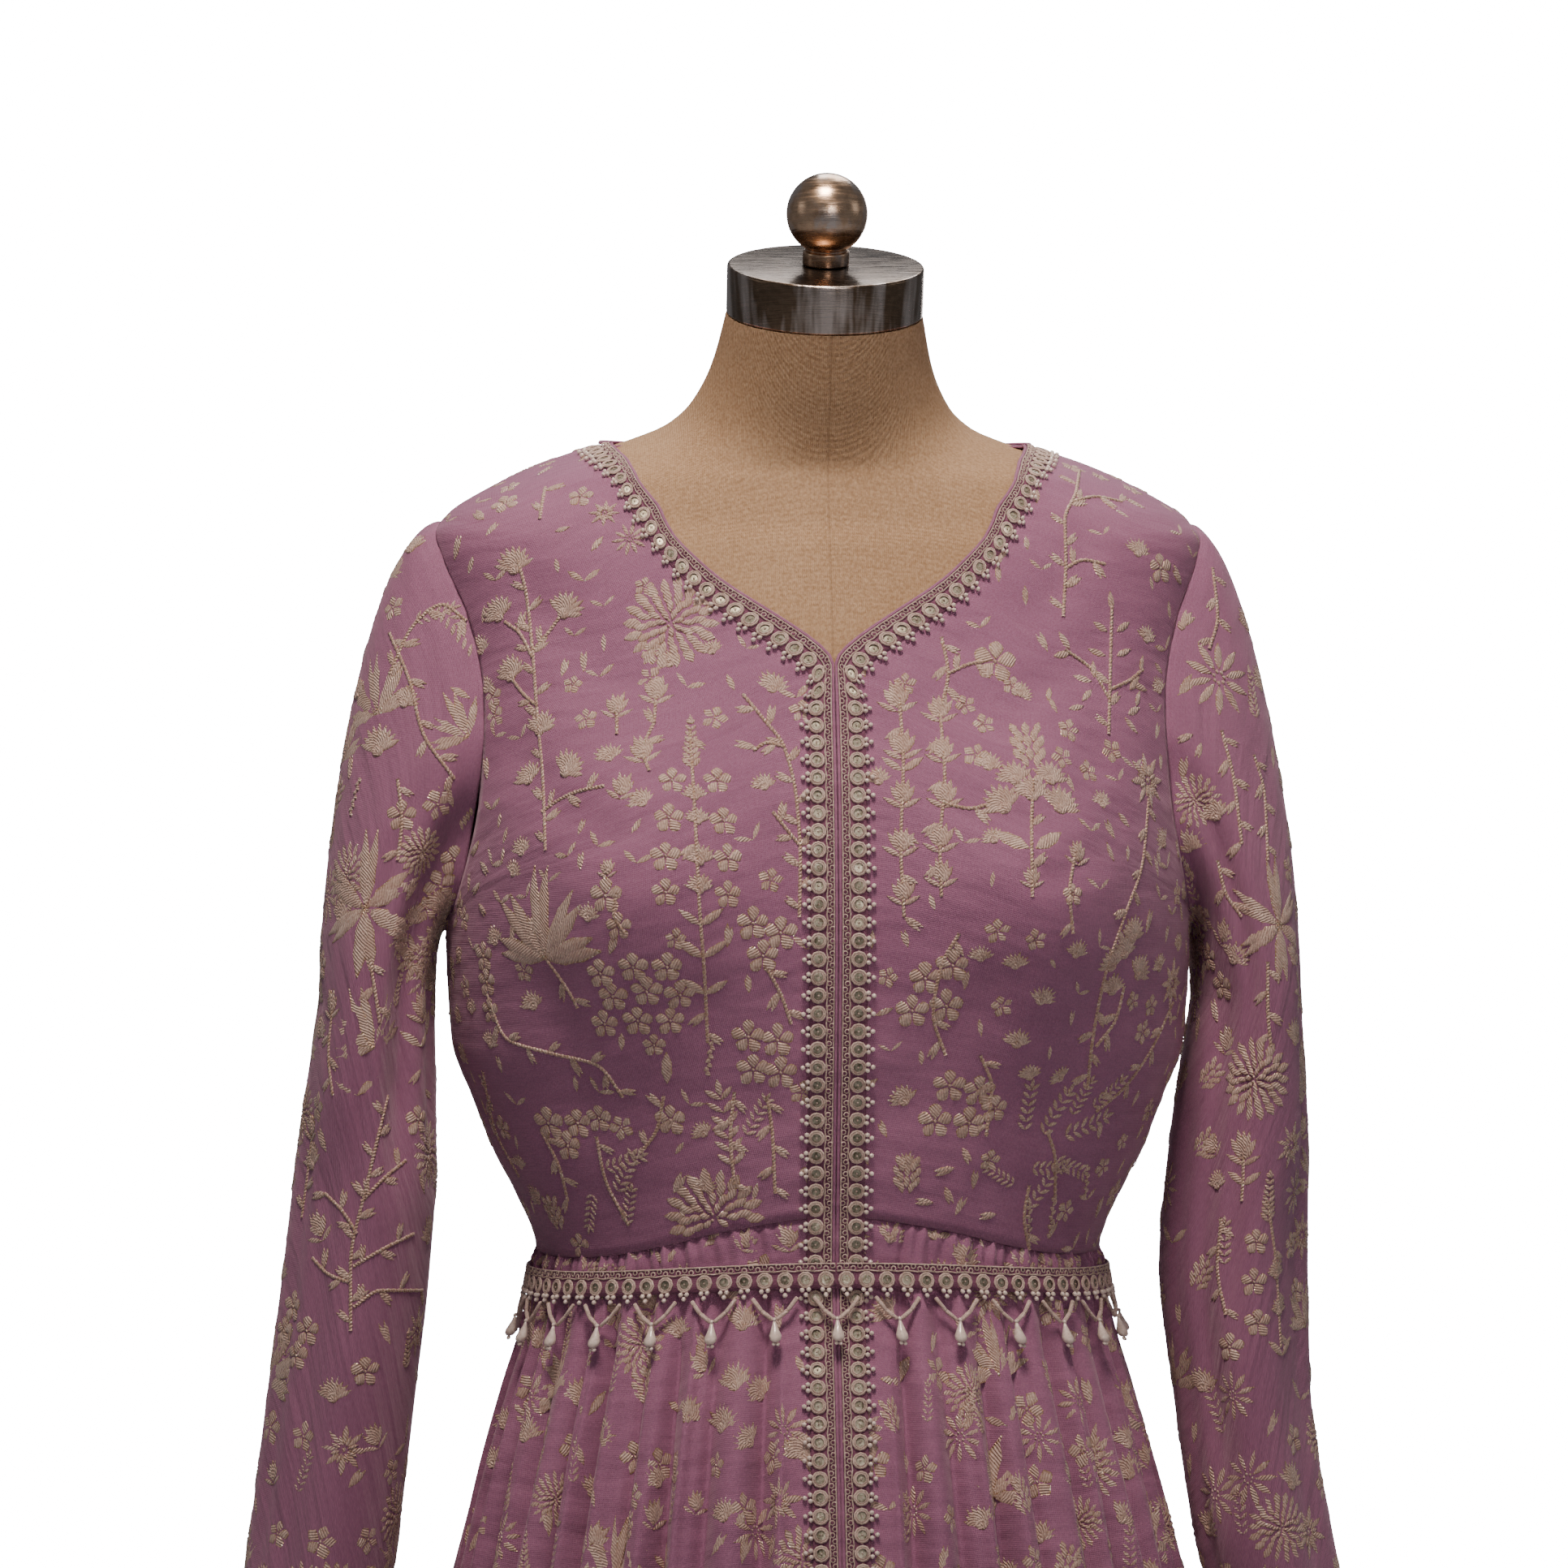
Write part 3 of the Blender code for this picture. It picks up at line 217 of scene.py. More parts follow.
def ring_point(rings, angle, height):
    """x is half the width times the sine of the angle, y the depth times its cosine, each filled
    out at the corners by its square share, and the bust is a bell curve taken off y."""
    angle, height = np.broadcast_arrays(np.asarray(angle, float), np.asarray(height, float))
    half, front, back, centre, lean, square = np.moveaxis(smooth_rows(rings, height), -1, 0)
    sine, cosine = np.sin(angle), np.cos(angle)
    depth = np.where(cosine > 0, centre - front, back - centre)
    x = half * sine * (1 + square * cosine ** 2)
    y = centre - depth * cosine * (1 + square * sine ** 2)
    far = ((np.abs(x) - BUST_OUT) / BUST_SPREAD_X) ** 2 + ((height - BUST_HEIGHT) / BUST_SPREAD_Z) ** 2
    y = y - BUST_RISE * np.exp(-far / 2) * soft_step(0, 0.5, cosine)
    return np.stack([x, y, height + lean * (y - centre)], axis=-1)


def unit(vectors):
    """Each vector over its own length."""
    return vectors / np.maximum(np.linalg.norm(vectors, axis=-1, keepdims=True), 1e-9)


def run_along(points):
    """The length run from the first point to each point: the sum of the steps between them."""
    return np.concatenate([[0], np.cumsum(np.linalg.norm(np.diff(points, axis=0), axis=1))])


def outward(rings, angle, height):
    """Unit normals: the cross product of a small step along the ring and a small step up."""
    small = 1e-4
    along = ring_point(rings, angle + small, height) - ring_point(rings, angle - small, height)
    up = ring_point(rings, angle, height + small) - ring_point(rings, angle, height - small)
    normal = np.cross(along, up)
    return unit(normal)


def turn_of(angle):
    """An angle brought to between minus and plus half a turn."""
    return np.arctan2(np.sin(angle), np.cos(angle))


def waist_seam(angle):
    """Height of the waist seam: level at the side, with a bell curve up to the centre front."""
    return WAIST_SIDE + WAIST_FRONT_RISE * np.exp(-(turn_of(angle) / WAIST_RISE_SPREAD) ** 2)


def belt_top(angle):
    """Height of the belt's upper edge, a lower and wider bell curve."""
    return BELT_TOP_SIDE + BELT_FRONT_RISE * np.exp(-(turn_of(angle) / BELT_RISE_SPREAD) ** 2)


print("bust point:", np.round(ring_point(GOWN_RINGS, 0.62, BUST_HEIGHT), 3))

# %% [markdown]
# ## Gathers and folds
# A skirt gathered into a seam stands in many small folds. Fabric folds have round crests and narrow
# valleys, so a plain cosine looks like corrugated iron: here a power flattens the crests. Tiny
# puckers sit under the seam where the stitches pull, and broad soft folds grow towards the hem.


# %% Folds of the skirt
def gather_phase(angle):
    """Turns of the gathers: a whole number at each side seam, and of uneven width between."""
    turn = np.mod(angle + math.pi, 2 * math.pi) - math.pi
    front = np.abs(turn) <= math.pi / 2
    share = np.where(front, np.abs(turn), np.pi - np.abs(turn)) / (math.pi / 2)
    wobble = 0.012 * np.sin(3 * math.pi * share + np.sign(turn)) - 0.012 * np.sin(np.sign(turn))
    wobble = wobble * (1 - share) + 0.007 * np.sin(9 * math.pi * share)
    count = np.where(front, FRONT_GATHERS, BACK_GATHERS / 2)
    return 2 * math.pi * count * (1 - share + wobble)


def gather_depth(height):
    """How far a gather stands from the middle surface: slight at the waist, fullest at the hip."""
    near = soft_step(1.056, 1.00, height)
    return (0.0006 + 0.0018 * near + 0.0030 * soft_step(1.0, 0.90, height)
            - 0.0020 * soft_step(0.6, 0.1, height))


def soft_fold(angle, height):
    """The broad folds: a cosine whose place wanders, growing from the waist to the hem."""
    growth = soft_step(0.98, 0.0, height) ** 0.8
    wave = np.cos(SOFT_FOLDS * angle + 0.9 * np.sin(2 * angle + 0.6) + 0.5 * np.sin(5 * angle))
    return SOFT_FOLD_DEPTH * growth * wave


def pinched(phase):
    """A wave from -1 to 1 with round crests and narrow valleys: a power of the raised cosine."""
    return 2 * ((1 + np.cos(phase)) / 2 + 0.004) ** 0.62 - 1


def skirt_point(angle, height, out=0.0, fine=1.0):
    """The level rings moved out by pinched gathers, puckers under the seam and soft folds."""
    base = ring_point(GOWN_RINGS, angle, height)
    level = outward(GOWN_RINGS, angle, height) * np.array([1.0, 1.0, 0.0])
    level = unit(level)
    from_middle = np.where(np.cos(angle) > 0, np.abs(base[..., 0]), 1.0)
    free = soft_step(FLAT_BAND, FLAT_BAND + 0.012, from_middle)
    phase = gather_phase(angle)
    under_seam = waist_seam(angle) - height
    pucker = np.exp(-(under_seam / 0.022) ** 2) * 0.0011 * np.cos(2.7 * phase + 1.3 * np.sin(phase / 3))
    ripple = 0.0010 * soft_step(0.005, 0.04, under_seam) * soft_step(0.45, 0.10, under_seam)
    ripple = ripple * np.sin(1.9 * phase + 2.0 * np.sin(0.61 * phase) + 14 * under_seam)
    sunk = fine * soft_step(1.010, 0.975, height) * (0.55 + 0.45 * np.sin(0.41 * phase + 1.0))
    wave = 1 - (1 - pinched(phase)) * (1 + sunk * np.where(height > 0.9, 0.0030 / gather_depth(height), 0.6))
    move = free * (gather_depth(height) * wave + fine * (pucker + ripple))
    move = move + (0.35 + 0.65 * free) * soft_fold(angle, height)
    return base + level * (move + out)[..., None]


print("gathers:", 2 * FRONT_GATHERS + BACK_GATHERS, "round the waist")

# %% [markdown]
# ## From a grid of points to a mesh
# A surface worked out on a grid needs no modelling tools: neighbours in the grid become the corners
# of a face. One helper puts whole arrays into a mesh, with the cloth's own measure in metres as its
# UV map, so that weave and grain have their real size. A Solidify modifier gives cloth its wall.


# %% Grid helpers
def grid_quads(rows, columns, around=False):
    """Corner numbers of each grid square: a point, the next in its row, and the two above them."""
    row = np.arange(rows - 1)[:, None] * columns
    column = np.arange(columns if around else columns - 1)[None, :]
    after = (column + 1) % columns
    square = [row + column, row + after, row + columns + after, row + columns + column]
    return np.stack(np.broadcast_arrays(*square), axis=-1).reshape(-1, 4)


def new_piece(name, points, faces, material, corner_uv=None, smooth=True):
    """A named object from arrays of points and of faces that all have the same number of corners."""
    mesh = bpy.data.meshes.new(name)
    points = np.asarray(points, np.float32).reshape(-1, 3)
    faces = np.asarray(faces, np.int32)
    mesh.vertices.add(len(points))
    mesh.vertices.foreach_set("co", points.ravel())
    mesh.loops.add(faces.size)
    mesh.loops.foreach_set("vertex_index", faces.ravel())
    mesh.polygons.add(len(faces))
    mesh.polygons.foreach_set("loop_start", np.arange(0, faces.size, faces.shape[1], dtype=np.int32))
    mesh.update(calc_edges=True)
    if corner_uv is not None:
        layer = mesh.uv_layers.new(name="UVMap")
        layer.data.foreach_set("uv", np.asarray(corner_uv, np.float32).ravel())
    mesh.materials.append(material)
    if smooth:
        mesh.shade_smooth()
    thing = bpy.data.objects.new(name, mesh)
    bpy.context.scene.collection.objects.link(thing)
    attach(thing, "root")
    return thing


def cloth_measure(points):
    """UV of a grid in metres: the length run along each row and the length run along each column."""
    along = np.linalg.norm(np.diff(points, axis=1), axis=-1)
    across = np.linalg.norm(np.diff(points, axis=0), axis=-1)
    u = np.concatenate([np.zeros((len(points), 1)), np.cumsum(along, axis=1)], axis=1)
    v = np.concatenate([np.zeros((1, points.shape[1])), np.cumsum(across, axis=0)], axis=0)
    return np.stack([u - u[:, -1:] / 2, v], axis=-1)


def grid_piece(name, points, material, around=False, turned=False, wall=None):
    """A piece from a grid of points; around joins the last column to the first."""
    rows, columns = points.shape[:2]
    faces = grid_quads(rows, columns, around)
    unrolled = np.concatenate([points, points[:, :1]], axis=1) if around else points
    measure = cloth_measure(unrolled).reshape(-1, 2)
    uv_faces = grid_quads(rows, unrolled.shape[1])
    if turned:
        faces, uv_faces = faces[:, ::-1], uv_faces[:, ::-1]
    piece = new_piece(name, points, faces, material, measure[uv_faces])
    if wall:
        solid = piece.modifiers.new("wall", "SOLIDIFY")
        solid.thickness, solid.offset, solid.use_even_offset = wall, -1.0, False
    return piece


def finer(grid, row_steps, column_steps):
    """A coarse grid read at more places: the smooth curve through its rows, then its columns."""
    rows, columns = grid.shape[:2]
    at = np.linspace(0, rows - 1, (rows - 1) * row_steps + 1)
    table = np.column_stack([np.arange(rows), grid.reshape(rows, -1)])
    tall = smooth_rows(table, at).reshape(len(at), columns, -1)
    at = np.linspace(0, columns - 1, (columns - 1) * column_steps + 1)
    table = np.column_stack([np.arange(columns), tall.transpose(1, 0, 2).reshape(columns, -1)])
    return smooth_rows(table, at).reshape(len(at), tall.shape[0], -1).transpose(1, 0, 2)


print("a 3 by 4 grid has", len(grid_quads(3, 4)), "squares")

# %% [markdown]
# ## Shared effects for the finishes
# Crepe, canvas, lace thread and embroidery thread all share two things: a small grain and a colour
# that wanders a little. Each is one node group with named inputs, built once and placed in every
# material with its own values. The grain is two crossed rows of waves, roughened by noise.


# %% Node helpers
def add_node(tree, kind, **values):
    """A node with its named inputs and settings filled in; a socket as a value is linked."""
    node = tree.nodes.new(kind)
    for key, value in values.items():
        socket = next((s for s in node.inputs if s.name.replace(" ", "_") == key and s.enabled), None)
        if isinstance(value, bpy.types.NodeSocket):
            tree.links.new(value, socket)
        elif socket is not None:
            socket.default_value = value
        else:
            setattr(node, key, value)
    return node


def sum_of(tree, kind, first, second):
    """One Math node on two values or sockets."""
    node = tree.nodes.new("ShaderNodeMath")
    node.operation = kind
    for place, value in enumerate((first, second)):
        if isinstance(value, bpy.types.NodeSocket):
            tree.links.new(value, node.inputs[place])
        else:
            node.inputs[place].default_value = value
    return node.outputs[0]


def mixed(tree, share, first, second):
    """A colour mix; each colour is a socket or four numbers."""
    node = tree.nodes.new("ShaderNodeMix")
    node.data_type = "RGBA"
    for socket, value in ((node.inputs[0], share), (node.inputs[6], first), (node.inputs[7], second)):
        if isinstance(value, bpy.types.NodeSocket):
            tree.links.new(value, socket)
        else:
            socket.default_value = value
    return node.outputs[2]


def new_group(name, inputs, outputs):
    """An empty node group with its named sockets, and its two end nodes."""
    tree = bpy.data.node_groups.new(name, "ShaderNodeTree")
    for label, kind, value in inputs:
        socket = tree.interface.new_socket(label, in_out="INPUT", socket_type=kind)
        if value is not None:
            socket.default_value = value
    for label, kind in outputs:
        tree.interface.new_socket(label, in_out="OUTPUT", socket_type=kind)
    return tree, tree.nodes.new("NodeGroupInput").outputs, tree.nodes.new("NodeGroupOutput").inputs


# %% Thread grain: crossed waves and noise
grain, given, result = new_group(
    "thread grain",
    (("Place", "NodeSocketVector", None), ("Threads a metre", "NodeSocketFloat", 1000.0),
     ("Roughening", "NodeSocketFloat", 0.5)),
    (("Height", "NodeSocketFloat"),))
warp = add_node(grain, "ShaderNodeTexWave", bands_direction="X", Vector=given["Place"],
                Scale=given["Threads a metre"], Distortion=1.5)
weft = add_node(grain, "ShaderNodeTexWave", bands_direction="Y", Vector=given["Place"],
                Scale=given["Threads a metre"], Distortion=1.5)
fuzz = add_node(grain, "ShaderNodeTexNoise", Vector=given["Place"], Scale=given["Threads a metre"],
                Detail=3.0)
threads = sum_of(grain, "MULTIPLY", warp.outputs["Fac"], weft.outputs["Fac"])
rough = sum_of(grain, "MULTIPLY", fuzz.outputs["Fac"], given["Roughening"])
grain.links.new(sum_of(grain, "ADD", threads, rough), result["Height"])

# %% Uneven colour: two colours mixed by wide and fine noise
uneven, given, result = new_group(
    "uneven colour",
    (("Place", "NodeSocketVector", None), ("First", "NodeSocketColor", (1, 1, 1, 1)),
     ("Second", "NodeSocketColor", (0, 0, 0, 1)), ("Wide", "NodeSocketFloat", 12.0),
     ("Fine", "NodeSocketFloat", 600.0), ("Speckle", "NodeSocketFloat", 0.4)),
    (("Colour", "NodeSocketColor"), ("Share", "NodeSocketFloat")))
wide = add_node(uneven, "ShaderNodeTexNoise", Vector=given["Place"], Scale=given["Wide"], Detail=4.0)
fine = add_node(uneven, "ShaderNodeTexNoise", Vector=given["Place"], Scale=given["Fine"], Detail=2.0)
speck = sum_of(uneven, "MULTIPLY", sum_of(uneven, "SUBTRACT", fine.outputs["Fac"], 0.5), given["Speckle"])
share = sum_of(uneven, "ADD", wide.outputs["Fac"], sum_of(uneven, "MULTIPLY", speck, 3.0))
uneven.links.new(mixed(uneven, share, given["First"], given["Second"]), result["Colour"])
uneven.links.new(share, result["Share"])
print("shared effects:", [g.name for g in bpy.data.node_groups])


# %% Start of every finish
def new_finish(name, **sockets):
    """A material, its tree and its Principled shader, with plain numbers set on its sockets."""
    material = bpy.data.materials.new(name)
    material.use_nodes = True
    tree = material.node_tree
    shader = tree.nodes["Principled BSDF"]
    for key, value in sockets.items():
        shader.inputs[key.replace("_", " ")].default_value = value
    return material, tree, shader


def placed(tree, group, **values):
    """A node group placed in a material with its own values."""
    node = tree.nodes.new("ShaderNodeGroup")
    node.node_tree = group
    for key, value in values.items():
        socket = node.inputs[key.replace("_", " ")]
        if isinstance(value, bpy.types.NodeSocket):
            tree.links.new(value, socket)
        else:
            socket.default_value = value
    return node


def uneven_base(tree, shader, first, second, wide, fine, speckle):
    """The uneven colour, read by the place on the object, as a shader's base colour."""
    place = tree.nodes.new("ShaderNodeTexCoord").outputs["Object"]
    colour = placed(tree, uneven, Place=place, First=(*first, 1), Second=(*second, 1), Wide=wide,
                    Fine=fine, Speckle=speckle)
    tree.links.new(colour.outputs["Colour"], shader.inputs["Base Color"])
    return place


def relief(tree, shader, height, distance, strength=1.0):
    """A Bump node between a height in the tree and the shader's normal."""
    node = add_node(tree, "ShaderNodeBump", Strength=strength, Distance=distance, Height=height)
    tree.links.new(node.outputs["Normal"], shader.inputs["Normal"])
    return node


# %% [markdown]
# ## Mauve crepe
# Crepe is woven from hard-twisted thread, so its face is pebbly and nearly matt, with a soft sheen
# where it turns away. The finish reads the cloth's own UV in metres, so the grain follows every fold.
# Faint drag lines, longer than they are wide, come from a stretched noise in the bump alone.


# %% The crepe finish
def crepe_finish(name, light, dark):
    """Crepe between a light and a dark shade, with pebbled grain and faint drag lines."""
    material, tree, shader = new_finish(name, Roughness=0.74, Sheen_Weight=0.30, Sheen_Roughness=0.40,
                                        Specular_IOR_Level=0.25)
    shader.inputs["Sheen Tint"].default_value = (0.95, 0.72, 0.80, 1.0)
    place = tree.nodes.new("ShaderNodeTexCoord").outputs["UV"]
    colour = placed(tree, uneven, Place=place, First=dark, Second=light, Wide=9.0, Fine=900.0, Speckle=0.55)
    weft = add_node(tree, "ShaderNodeMapping", Vector=place, Scale=(22.0, 700.0, 1.0))
    slubs = add_node(tree, "ShaderNodeTexNoise", Vector=weft.outputs[0], Scale=1.0, Detail=2.0)
    thick = add_node(tree, "ShaderNodeMapRange", Value=slubs.outputs["Fac"], From_Min=0.35, From_Max=0.7,
                     To_Min=0.0, To_Max=0.15)
    tree.links.new(mixed(tree, thick.outputs[0], colour.outputs["Colour"], dark), shader.inputs["Base Color"])
    pebbles = placed(tree, grain, Place=place, Threads_a_metre=330.0, Roughening=1.2)
    stretch = add_node(tree, "ShaderNodeMapping", Vector=place, Scale=(22.0, 60.0, 1.0),
                       Rotation=(0.0, 0.0, 0.45))
    drag = add_node(tree, "ShaderNodeTexNoise", Vector=stretch.outputs[0], Scale=1.0, Detail=2.0)
    woven = sum_of(tree, "ADD", pebbles.outputs["Height"], slubs.outputs["Fac"])
    height = sum_of(tree, "ADD", sum_of(tree, "MULTIPLY", woven, 0.00014),
                    sum_of(tree, "MULTIPLY", drag.outputs["Fac"], 0.0026))
    relief(tree, shader, height, 1.0)
    return material


crepe = crepe_finish("mauve crepe", (0.400, 0.170, 0.277, 1), (0.275, 0.108, 0.196, 1))
# A darker copy of the crepe: painted shade for the lace's open net ground.
painted_shade_crepe = crepe_finish("shaded crepe", (0.270, 0.105, 0.170, 1), (0.170, 0.060, 0.105, 1))
print("finish:", crepe.name)

# %% [markdown]
# ## Tan canvas
# The dress form is covered in plain tan cotton canvas with one seam down the centre front. The
# weave is coarser than crepe and has no sheen. The seam is a real groove in the mesh, and the
# finish also paints shade into it: the colour turns darker close to the middle line, by the x of Object
# coordinates.

# %% The canvas finish
canvas, tree, shader = new_finish("tan canvas", Roughness=0.9, Specular_IOR_Level=0.2)
place = tree.nodes.new("ShaderNodeTexCoord").outputs["Object"]
colour = placed(tree, uneven, Place=place, First=(0.370, 0.222, 0.125, 1), Second=(0.520, 0.335, 0.205, 1),
                Wide=14.0, Fine=700.0, Speckle=0.9)
x = add_node(tree, "ShaderNodeSeparateXYZ", Vector=place).outputs["X"]
from_seam = sum_of(tree, "ABSOLUTE", x, 0.0)
# Painted shade in the seam's groove: within a millimetre of the middle line the colour turns darker.
seam_painted_shade = add_node(tree, "ShaderNodeMapRange", Value=from_seam, From_Min=0.0002, From_Max=0.0010,
                   To_Min=0.25, To_Max=0.0)
dark = mixed(tree, seam_painted_shade.outputs[0], colour.outputs["Colour"], (0.16, 0.085, 0.045, 1))
tree.links.new(dark, shader.inputs["Base Color"])
weave = placed(tree, grain, Place=place, Threads_a_metre=300.0, Roughening=0.8)
relief(tree, shader, weave.outputs["Height"], 0.00022)

# %% [markdown]
# ## Brushed steel
# The cap, collar and ball are turned steel, brushed round their axis and a little brown with age.
# Fine scratches are noise stretched along the brushing, which changes the roughness and the bump.
# The pole and the base below are the same steel. Broad light bands in the colour are painted reflections, and
# faces turned up get painted shade.


# %% The steel finish
def steel_finish(name, squeeze, bands, gain=1.0):
    """Brushed steel: noise squeezed along an axis gives the fine lines, a noise without that axis
    gives broad bands of painted reflection that fade on faces turned up, where painted shade darkens the
    colour, and a wide noise gives the stains."""
    material, tree, shader = new_finish(name, Metallic=1.0, Roughness=0.3)
    place = tree.nodes.new("ShaderNodeTexCoord").outputs["Object"]
    turned = add_node(tree, "ShaderNodeMapping", Vector=place, Rotation=(-NECK_LEAN, 0.0, 0.0), Scale=squeeze)
    lines = add_node(tree, "ShaderNodeTexNoise", Vector=turned.outputs[0], Scale=60.0, Detail=4.0)
    upright = add_node(tree, "ShaderNodeMapping", Vector=place, Rotation=(-NECK_LEAN, 0.0, 0.0), Scale=bands)
    # Painted reflection: a noise without the axis gives broad bands of light in the colour; they fade on
    # faces turned up.
    painted_reflection_noise = add_node(tree, "ShaderNodeTexNoise", Vector=upright.outputs[0], Scale=1.0, Detail=3.0,
                       Roughness=0.65)
    bright = add_node(tree, "ShaderNodeMapRange", Value=painted_reflection_noise.outputs["Fac"], From_Min=0.50, From_Max=0.66)
    stains = placed(tree, uneven, Place=place, First=(0.075 * gain, 0.045 * gain, 0.028 * gain, 1),
                    Second=(0.21 * gain, 0.145 * gain, 0.100 * gain, 1),
                    Wide=30.0, Fine=300.0, Speckle=0.3)
    facing = tree.nodes.new("ShaderNodeNewGeometry").outputs["Normal"]
    up = add_node(tree, "ShaderNodeSeparateXYZ", Vector=facing)
    level = add_node(tree, "ShaderNodeMapRange", Value=up.outputs["Z"], From_Min=0.75, From_Max=0.95,
                     To_Min=1.0, To_Max=0.12)
    share = sum_of(tree, "MULTIPLY", bright.outputs[0], level.outputs[0])
    shine = mixed(tree, share, stains.outputs["Colour"], (0.74, 0.63, 0.58, 1))
    # Painted shade: faces turned up are mixed toward near black.
    painted_top_shade = add_node(tree, "ShaderNodeMapRange", Value=up.outputs["Z"], From_Min=0.85, From_Max=0.97,
                      To_Min=0.0, To_Max=0.7)
    shine = mixed(tree, painted_top_shade.outputs[0], shine, (0.03, 0.016, 0.009, 1))
    tree.links.new(shine, shader.inputs["Base Color"])
    rough = add_node(tree, "ShaderNodeMapRange", Value=lines.outputs["Fac"], From_Min=0.3, From_Max=0.7,
                     To_Min=0.16, To_Max=0.34)
    tree.links.new(rough.outputs[0], shader.inputs["Roughness"])
    relief(tree, shader, lines.outputs["Fac"], 0.00012)
    return material


steel = steel_finish("brushed steel", (1.0, 1.0, 26.0), (85.0, 40.0, 2.0), 1.4)
print("finishes:", [m.name for m in bpy.data.materials if m.users == 0])

# %% [markdown]
# ## The dress form
# The torso is a padded body under canvas. Its rings are the solid's own, read four times finer, so
# that the neck has no corners against the pale surround. A narrow groove down the front is the
# canvas seam: a bell curve taken off the surface close to the middle line.

# %% Torso with its centre seam
SEAM_DEEP, SEAM_WIDE = 0.00025, 0.0010
even = np.linspace(-1, 1, 117)[:-1]
form_angles = math.pi * (0.12 * even + 0.88 * even ** 3)
form_heights = np.concatenate([np.linspace(0.800, 1.38, 40, endpoint=False),
                               np.linspace(1.38, NECK_TOP, 52)])
torso = ring_point(FORM_RINGS, form_angles[None, :], form_heights[:, None])
front_seam = np.exp(-(torso[..., 0] / SEAM_WIDE) ** 2) * (torso[..., 1] < NECK_TOP_Y)
seam_sink = (SEAM_DEEP * front_seam)[..., None]
torso = torso - outward(FORM_RINGS, form_angles[None, :], form_heights[:, None]) * seam_sink
rows, columns = torso.shape[:2]
ends = np.stack([torso[0].mean(axis=0), torso[-1].mean(axis=0)])
points = np.concatenate([torso.reshape(-1, 3), ends])
column = np.arange(columns)
after = (column + 1) % columns
low_fan = np.stack([after, column, np.full(columns, len(points) - 2)], axis=1)
high_fan = np.stack([column, after, np.full(columns, len(points) - 1)], axis=1) + np.array(
    [(rows - 1) * columns, (rows - 1) * columns, 0])
squares = grid_quads(rows, columns, True)
halves = np.concatenate([squares[:, [0, 1, 2]], squares[:, [0, 2, 3]]])
form = new_piece("form_body", points, np.concatenate([halves, low_fan, high_fan]), canvas)
form.data.set_sharp_from_angle(angle=math.radians(50))
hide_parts("form_torso")
print("torso:", rows, "by", columns, "points")


# %% Turned cap, collar and ball
def turned_piece(name, profile, material, steps=96):
    """A profile of radius and height carried round the neck's axis, which leans back 19 degrees:
    x is the radius times the cosine of each step's angle, y the radius times its sine."""
    profile = np.array(profile)
    spin = np.linspace(0, 2 * math.pi, steps, endpoint=False)
    radius, height = profile[:, :1], profile[:, 1:]
    flat = np.stack([radius * np.cos(spin), radius * np.sin(spin), height + 0 * spin], axis=-1)
    lean = np.array([[1, 0, 0], [0, math.cos(NECK_LEAN), math.sin(NECK_LEAN)],
                     [0, -math.sin(NECK_LEAN), math.cos(NECK_LEAN)]])
    points = flat @ lean + np.array([0.0, NECK_TOP_Y, NECK_TOP])
    piece = grid_piece(name, points, material, around=True)
    merge = piece.modifiers.new("poles", "WELD")
    merge.merge_threshold = 0.00002
    piece.data.set_sharp_from_angle(angle=math.radians(40))
    return piece


def rounded(corners, radius, steps=5):
    """A profile whose inner corners are replaced by short curves between two points beside each."""
    corners = np.array(corners, float)
    path = [corners[:1]]
    for before, corner, following in zip(corners, corners[1:-1], corners[2:]):
        sides = [unit(other - corner) for other in (before, following)]
        t = np.linspace(0, 1, steps)[:, None]
        path.append((1 - t) ** 2 * (corner + radius * sides[0]) + 2 * t * (1 - t) * corner
                    + t ** 2 * (corner + radius * sides[1]))
    return np.concatenate(path + [corners[-1:]])


CAP_RADIUS, CAP_LOW, CAP_HIGH = 0.0506, 0.0003, 0.0256
COLLAR_RADIUS, COLLAR_HIGH, BALL_RADIUS = 0.0119, 0.0334, 0.0208
cap = turned_piece("form_cap", rounded([(0.00001, CAP_LOW), (CAP_RADIUS, CAP_LOW), (CAP_RADIUS, CAP_HIGH),
                                        (0.00001, CAP_HIGH)], 0.0016), steel)
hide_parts("form_neck_cap")
ball_middle = COLLAR_HIGH + BALL_RADIUS * 0.9
climb = np.radians(np.linspace(150, 0, 26))
ball = np.column_stack([BALL_RADIUS * np.sin(climb), ball_middle + BALL_RADIUS * np.cos(climb)])
collar = rounded([(0.00001, CAP_HIGH + 0.0003), (COLLAR_RADIUS, CAP_HIGH + 0.0003),
                  (COLLAR_RADIUS, COLLAR_HIGH - 0.0004), (ball[0, 0], COLLAR_HIGH)], 0.0009)
ball[-1, 0] = 0.00001
bright_steel = steel_finish("polished steel", (1.0, 1.0, 12.0), (60.0, 60.0, 45.0), 5.0)
finial = turned_piece("form_ball", np.concatenate([collar, ball]), bright_steel, 72)
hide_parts("form_finial")
base_steel = steel_finish("stand steel", (26.0, 26.0, 1.0), (12.0, 12.0, 12.0))
for node in ("form_pole", "form_base"):
    for place in bpy.data.objects[node].material_slots:
        place.material = base_steel
print("cap, ball and stand finished")

# %% [markdown]
# ## The bodice
# The bodice is two fronts and a back, cut to the waist seam, with the neckline, armholes and side
# seams as edges. Each is a grid in angle and height: the front edge and the side edge are drawn
# first, and the columns between them are blended. The same coarse net as the solid's is read
# eight times finer, then the darts and drag lines are pressed in.


